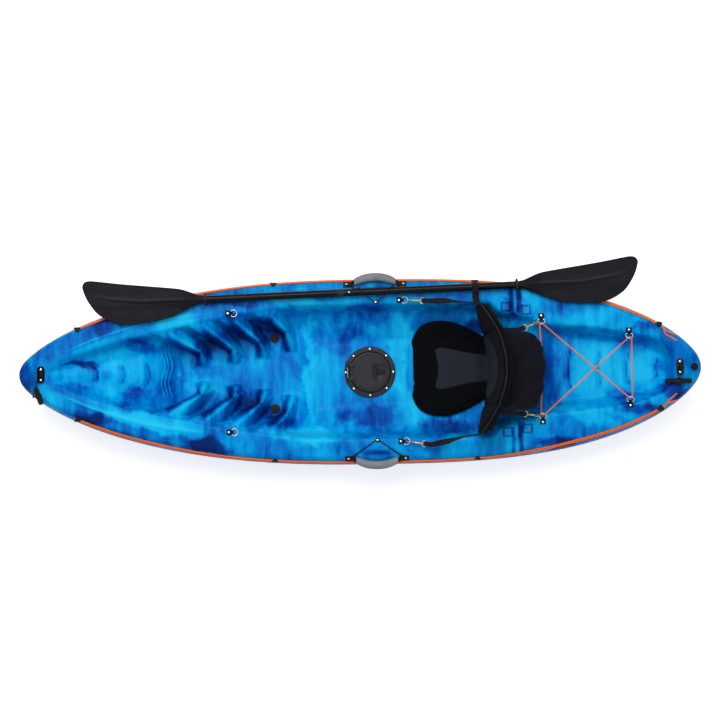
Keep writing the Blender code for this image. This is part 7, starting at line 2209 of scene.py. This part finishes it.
def build_bag():
    """A soft bag behind the backrest: a shell that sags over its contents, gathered at its rear edge."""
    rings = []
    count = 30
    for i in range(count + 1):
        v = math.sin(math.pi / 2 * (-1 + 2 * i / count))
        y = BAG_OFFSET + (BAG_WIDTH / 2 - 0.002) * v
        ends = 0.84 + 0.16 * math.sqrt(max(0.0, 1 - abs(v) ** (4 if v > 0 else 12)))
        low = BAG_BOTTOM + 0.003 + (1 - ends) * 0.05
        high = BAG_BOTTOM + (BAG_HEIGHT - 0.006) * ends
        share = y / BACKREST_HALF_WIDTH
        front, back = [], []
        for k in range(19):
            h = 0.5 - 0.5 * math.cos(math.pi * k / 18)
            z = low + (high - low) * h
            face = backrest_face(share, z) + BACKREST_THICK / 2 + 0.004
            front.append(Vector((face, y, z)))
            back.append(Vector((face + (BAG_LENGTH - 0.005) * float(read_line(BAG_REACH, h)) * ends, y, z)))
        rings.append(front + back[::-1])
    bag = outward(skinned("bag_shell", rings))

    def against(p):
        return p[0] < backrest_face(p[1] / BACKREST_HALF_WIDTH, p[2]) + BACKREST_THICK / 2 + 0.010

    bag = stuffed(bag, 0.005, 3.0, 0.0035, against)

    def relief(places, normals):
        x, y, z = places.T
        depth = (x - backrest_face(y / BACKREST_HALF_WIDTH, z) - BACKREST_THICK / 2) / BAG_LENGTH
        free = np.clip((depth - 0.12) / 0.15, 0, 1)
        across = (y - BAG_OFFSET) / (BAG_WIDTH / 2)
        folds = []
        for p in places:
            broad = noise.noise(Vector((p[0] * 10, p[1] * 24, p[2] * 8)))
            folds.append(broad + 0.6 * noise.noise(Vector(p) * 38.0))
        sides = np.clip((np.abs(normals[:, 1]) - 0.3) / 0.4, 0, 1)
        gathered = np.clip((depth - 0.66) / 0.12, 0, 1) * (1 - sides)
        cut = -0.0034 * line_bump(np.abs(across) - 0.91, 0.014) * (1 - sides)
        cut -= 0.0036 * line_bump(depth - 0.70, 0.018) * (1 - sides)
        for place in BAG_GATHERS:
            slant = (depth - 0.85) * 0.020 * math.sin(place * 230)
            cut -= 0.0036 * line_bump(y - BAG_OFFSET - place - slant, 0.0036) * gathered
        return (np.array(folds) * 0.0042 + cut) * free

    sewn(bag, relief)
    places, _ = points_of(bag)
    limit = backrest_face(places[:, 1] / BACKREST_HALF_WIDTH, places[:, 2]) + BACKREST_THICK / 2 + 2 * GAP
    places[:, 0] = np.maximum(places[:, 0], limit)
    moved_to(bag, places)
    soft_shade(bag, 70)
    coloured(bag, bag_cloth())
    standing(bag, "backrest", "seat_bag")


# Webbing straps
STRAP_THICK, WEBBING = 0.005, 0.0022
STRAP_WING_HEIGHT, PADDLE_STRAP_X = 0.400, 0.446


def strap_start(place):
    """The strap's end folded round the bar of a hook's eye, as points and the ways its face looks."""
    bar = EYE_START + EYE_REACH
    reach = EYE_WIRE + 3 * GAP + WEBBING / 2
    local = [
        (bar + 0.022, reach - WEBBING - 0.0006), (bar + 0.012, -0.0008), (bar + 0.003, -reach * 0.96),
        (bar - reach * 0.62, -reach * 0.80), (bar - reach * 1.02, 0), (bar - reach * 0.62, reach * 0.80),
        (bar + 0.003, reach * 1.0), (bar + 0.014, reach), (bar + 0.026, reach),
    ]
    looks = [(0.1, -1), (0.15, -1), (-0.1, -1), (-0.7, -0.7), (-1, 0), (-0.7, 0.7), (-0.1, 1), (0, 1), (0, 1)]
    turn = place.to_3x3()
    points = [place @ Vector((x, 0, z)) for x, z in local]
    return points, [turn @ Vector((x, 0, z)).normalized() for x, z in looks]


def strap_band(name, node_name, path, ups, widths, thick, start, end):
    """A strap from the boat to the backrest; start and end are not used."""
    steps = 4
    line = smooth_path(path, steps)
    widths, thick = smooth_values(widths, steps), smooth_values(thick, steps)
    strap = band(name, line, widths, thick, smooth_looks(ups, steps))
    coloured(strap, black_webbing())
    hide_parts(node_name)
    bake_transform(strap)
    return strap


def build_straps():
    for side, word in SIDES:
        ring, target = HOOK_TARGETS[f"front_{word}"]
        path, ups = strap_start(hook_frame(ring, target))
        edge_x = backrest_face(1.0, STRAP_WING_HEIGHT)
        out = BACKREST_HALF_WIDTH + STRAP_THICK / 2 + 6 * GAP
        wing = Vector((edge_x + 0.006, side * out, STRAP_WING_HEIGHT))
        lead = wing + Vector((-0.070, side * 0.007, -0.034))
        start = path.pop()
        ups.pop()
        middle = start.lerp(lead, 0.5) + Vector((0, side * 0.002, 0.003))
        rest = smooth_path([start, middle, lead, wing - Vector((0.020, -side * GAP, 0.010))], 2) + [wing]
        flat = Vector((-0.35, 0, 0.94))
        for i in range(len(rest)):
            share = min(1.0, i / 4)
            ups.append((flat * (1 - share) + Vector((0, side, 0.1)) * share).normalized())
        thick = [WEBBING] * (len(path) + 1) + [STRAP_THICK] * (len(rest) - 1)
        widths = [0.018] * len(path) + [0.019, 0.023, 0.024, 0.023, 0.018] + [0.016] * (len(rest) - 5)
        path += rest
        names = f"front_strap_{word}", f"seat_strap_front_{word}"
        strap_band(*names, path, ups, widths, thick, path[8], path[-2])

        ring, target = HOOK_TARGETS[f"rear_{word}"]
        path, ups = strap_start(hook_frame(ring, target))
        edge_y = side * BAG_WIDTH / 2 + BAG_OFFSET + side * 0.010
        back = backrest_face(edge_y / BACKREST_HALF_WIDTH, 0.400) + BACKREST_THICK / 2
        anchor = Vector((back + WEBBING / 2 + GAP, edge_y, 0.400))
        path += [Vector((back + 0.022, edge_y, 0.365)), anchor, anchor + Vector((0.0035, 0, 0.030))]
        turned_out = 2 * BACKREST_WRAP * edge_y / BACKREST_HALF_WIDTH ** 2
        square = Vector((1, turned_out, -0.107)).normalized()
        ups += [Vector((0.9, turned_out * 0.8, 0.3)).normalized(), square, square]
        count = len(path)
        widths, thick = [0.018] * count, [WEBBING] * count
        names = f"rear_strap_{word}", f"seat_strap_rear_{word}"
        strap_band(*names, path, ups, widths, thick, path[8], path[-3])

    shaft = paddle_axis_at(PADDLE_STRAP_X)
    reach = SHAFT_RADIUS + 0.0016 + GAP * 2
    tail = [
        Vector((PADDLE_STRAP_X + 0.004, BACKREST_HALF_WIDTH + 0.006, shaft.z + 0.0345)),
        Vector((PADDLE_STRAP_X + 0.002, 0.268, shaft.z + 0.0015)),
        Vector((PADDLE_STRAP_X, shaft.y - 0.030, shaft.z + 0.001)),
    ]
    turns = [math.radians(a) for a in range(120, -121, -30)]
    path = tail + [shaft + Vector((0, -0.0185, 0.010))]
    path += [shaft + Vector((0, math.cos(a), math.sin(a))) * reach for a in turns]
    ups = []
    for point in path:
        radial = Vector((0, point.y - shaft.y, point.z - shaft.z))
        ups.append(radial.normalized() if radial.length < 0.024 else Vector((0, 0.4, 1)).normalized())
    count = len(path)
    strap_band(
        "shaft_strap", "paddle_strap", path, ups, [0.025] * count, [0.0022] * count,
        Vector((PADDLE_STRAP_X, 0.268, shaft.z)), Vector((PADDLE_STRAP_X, 0.251, shaft.z + 0.034)),
    )


def make_visual():
    add_stage()
    build_perimeter_lines()
    build_end_fittings()
    build_keepers()
    build_tank_bungee()
    build_hull()
    build_hatch()
    build_plugs()
    build_rings()
    for word, (ring, target) in HOOK_TARGETS.items():
        build_hook(word, hook_frame(ring, target))
    build_handles()
    build_guides()
    build_paddle()
    build_cushion()
    build_backrest()
    build_bag()
    build_straps()


make_visual()
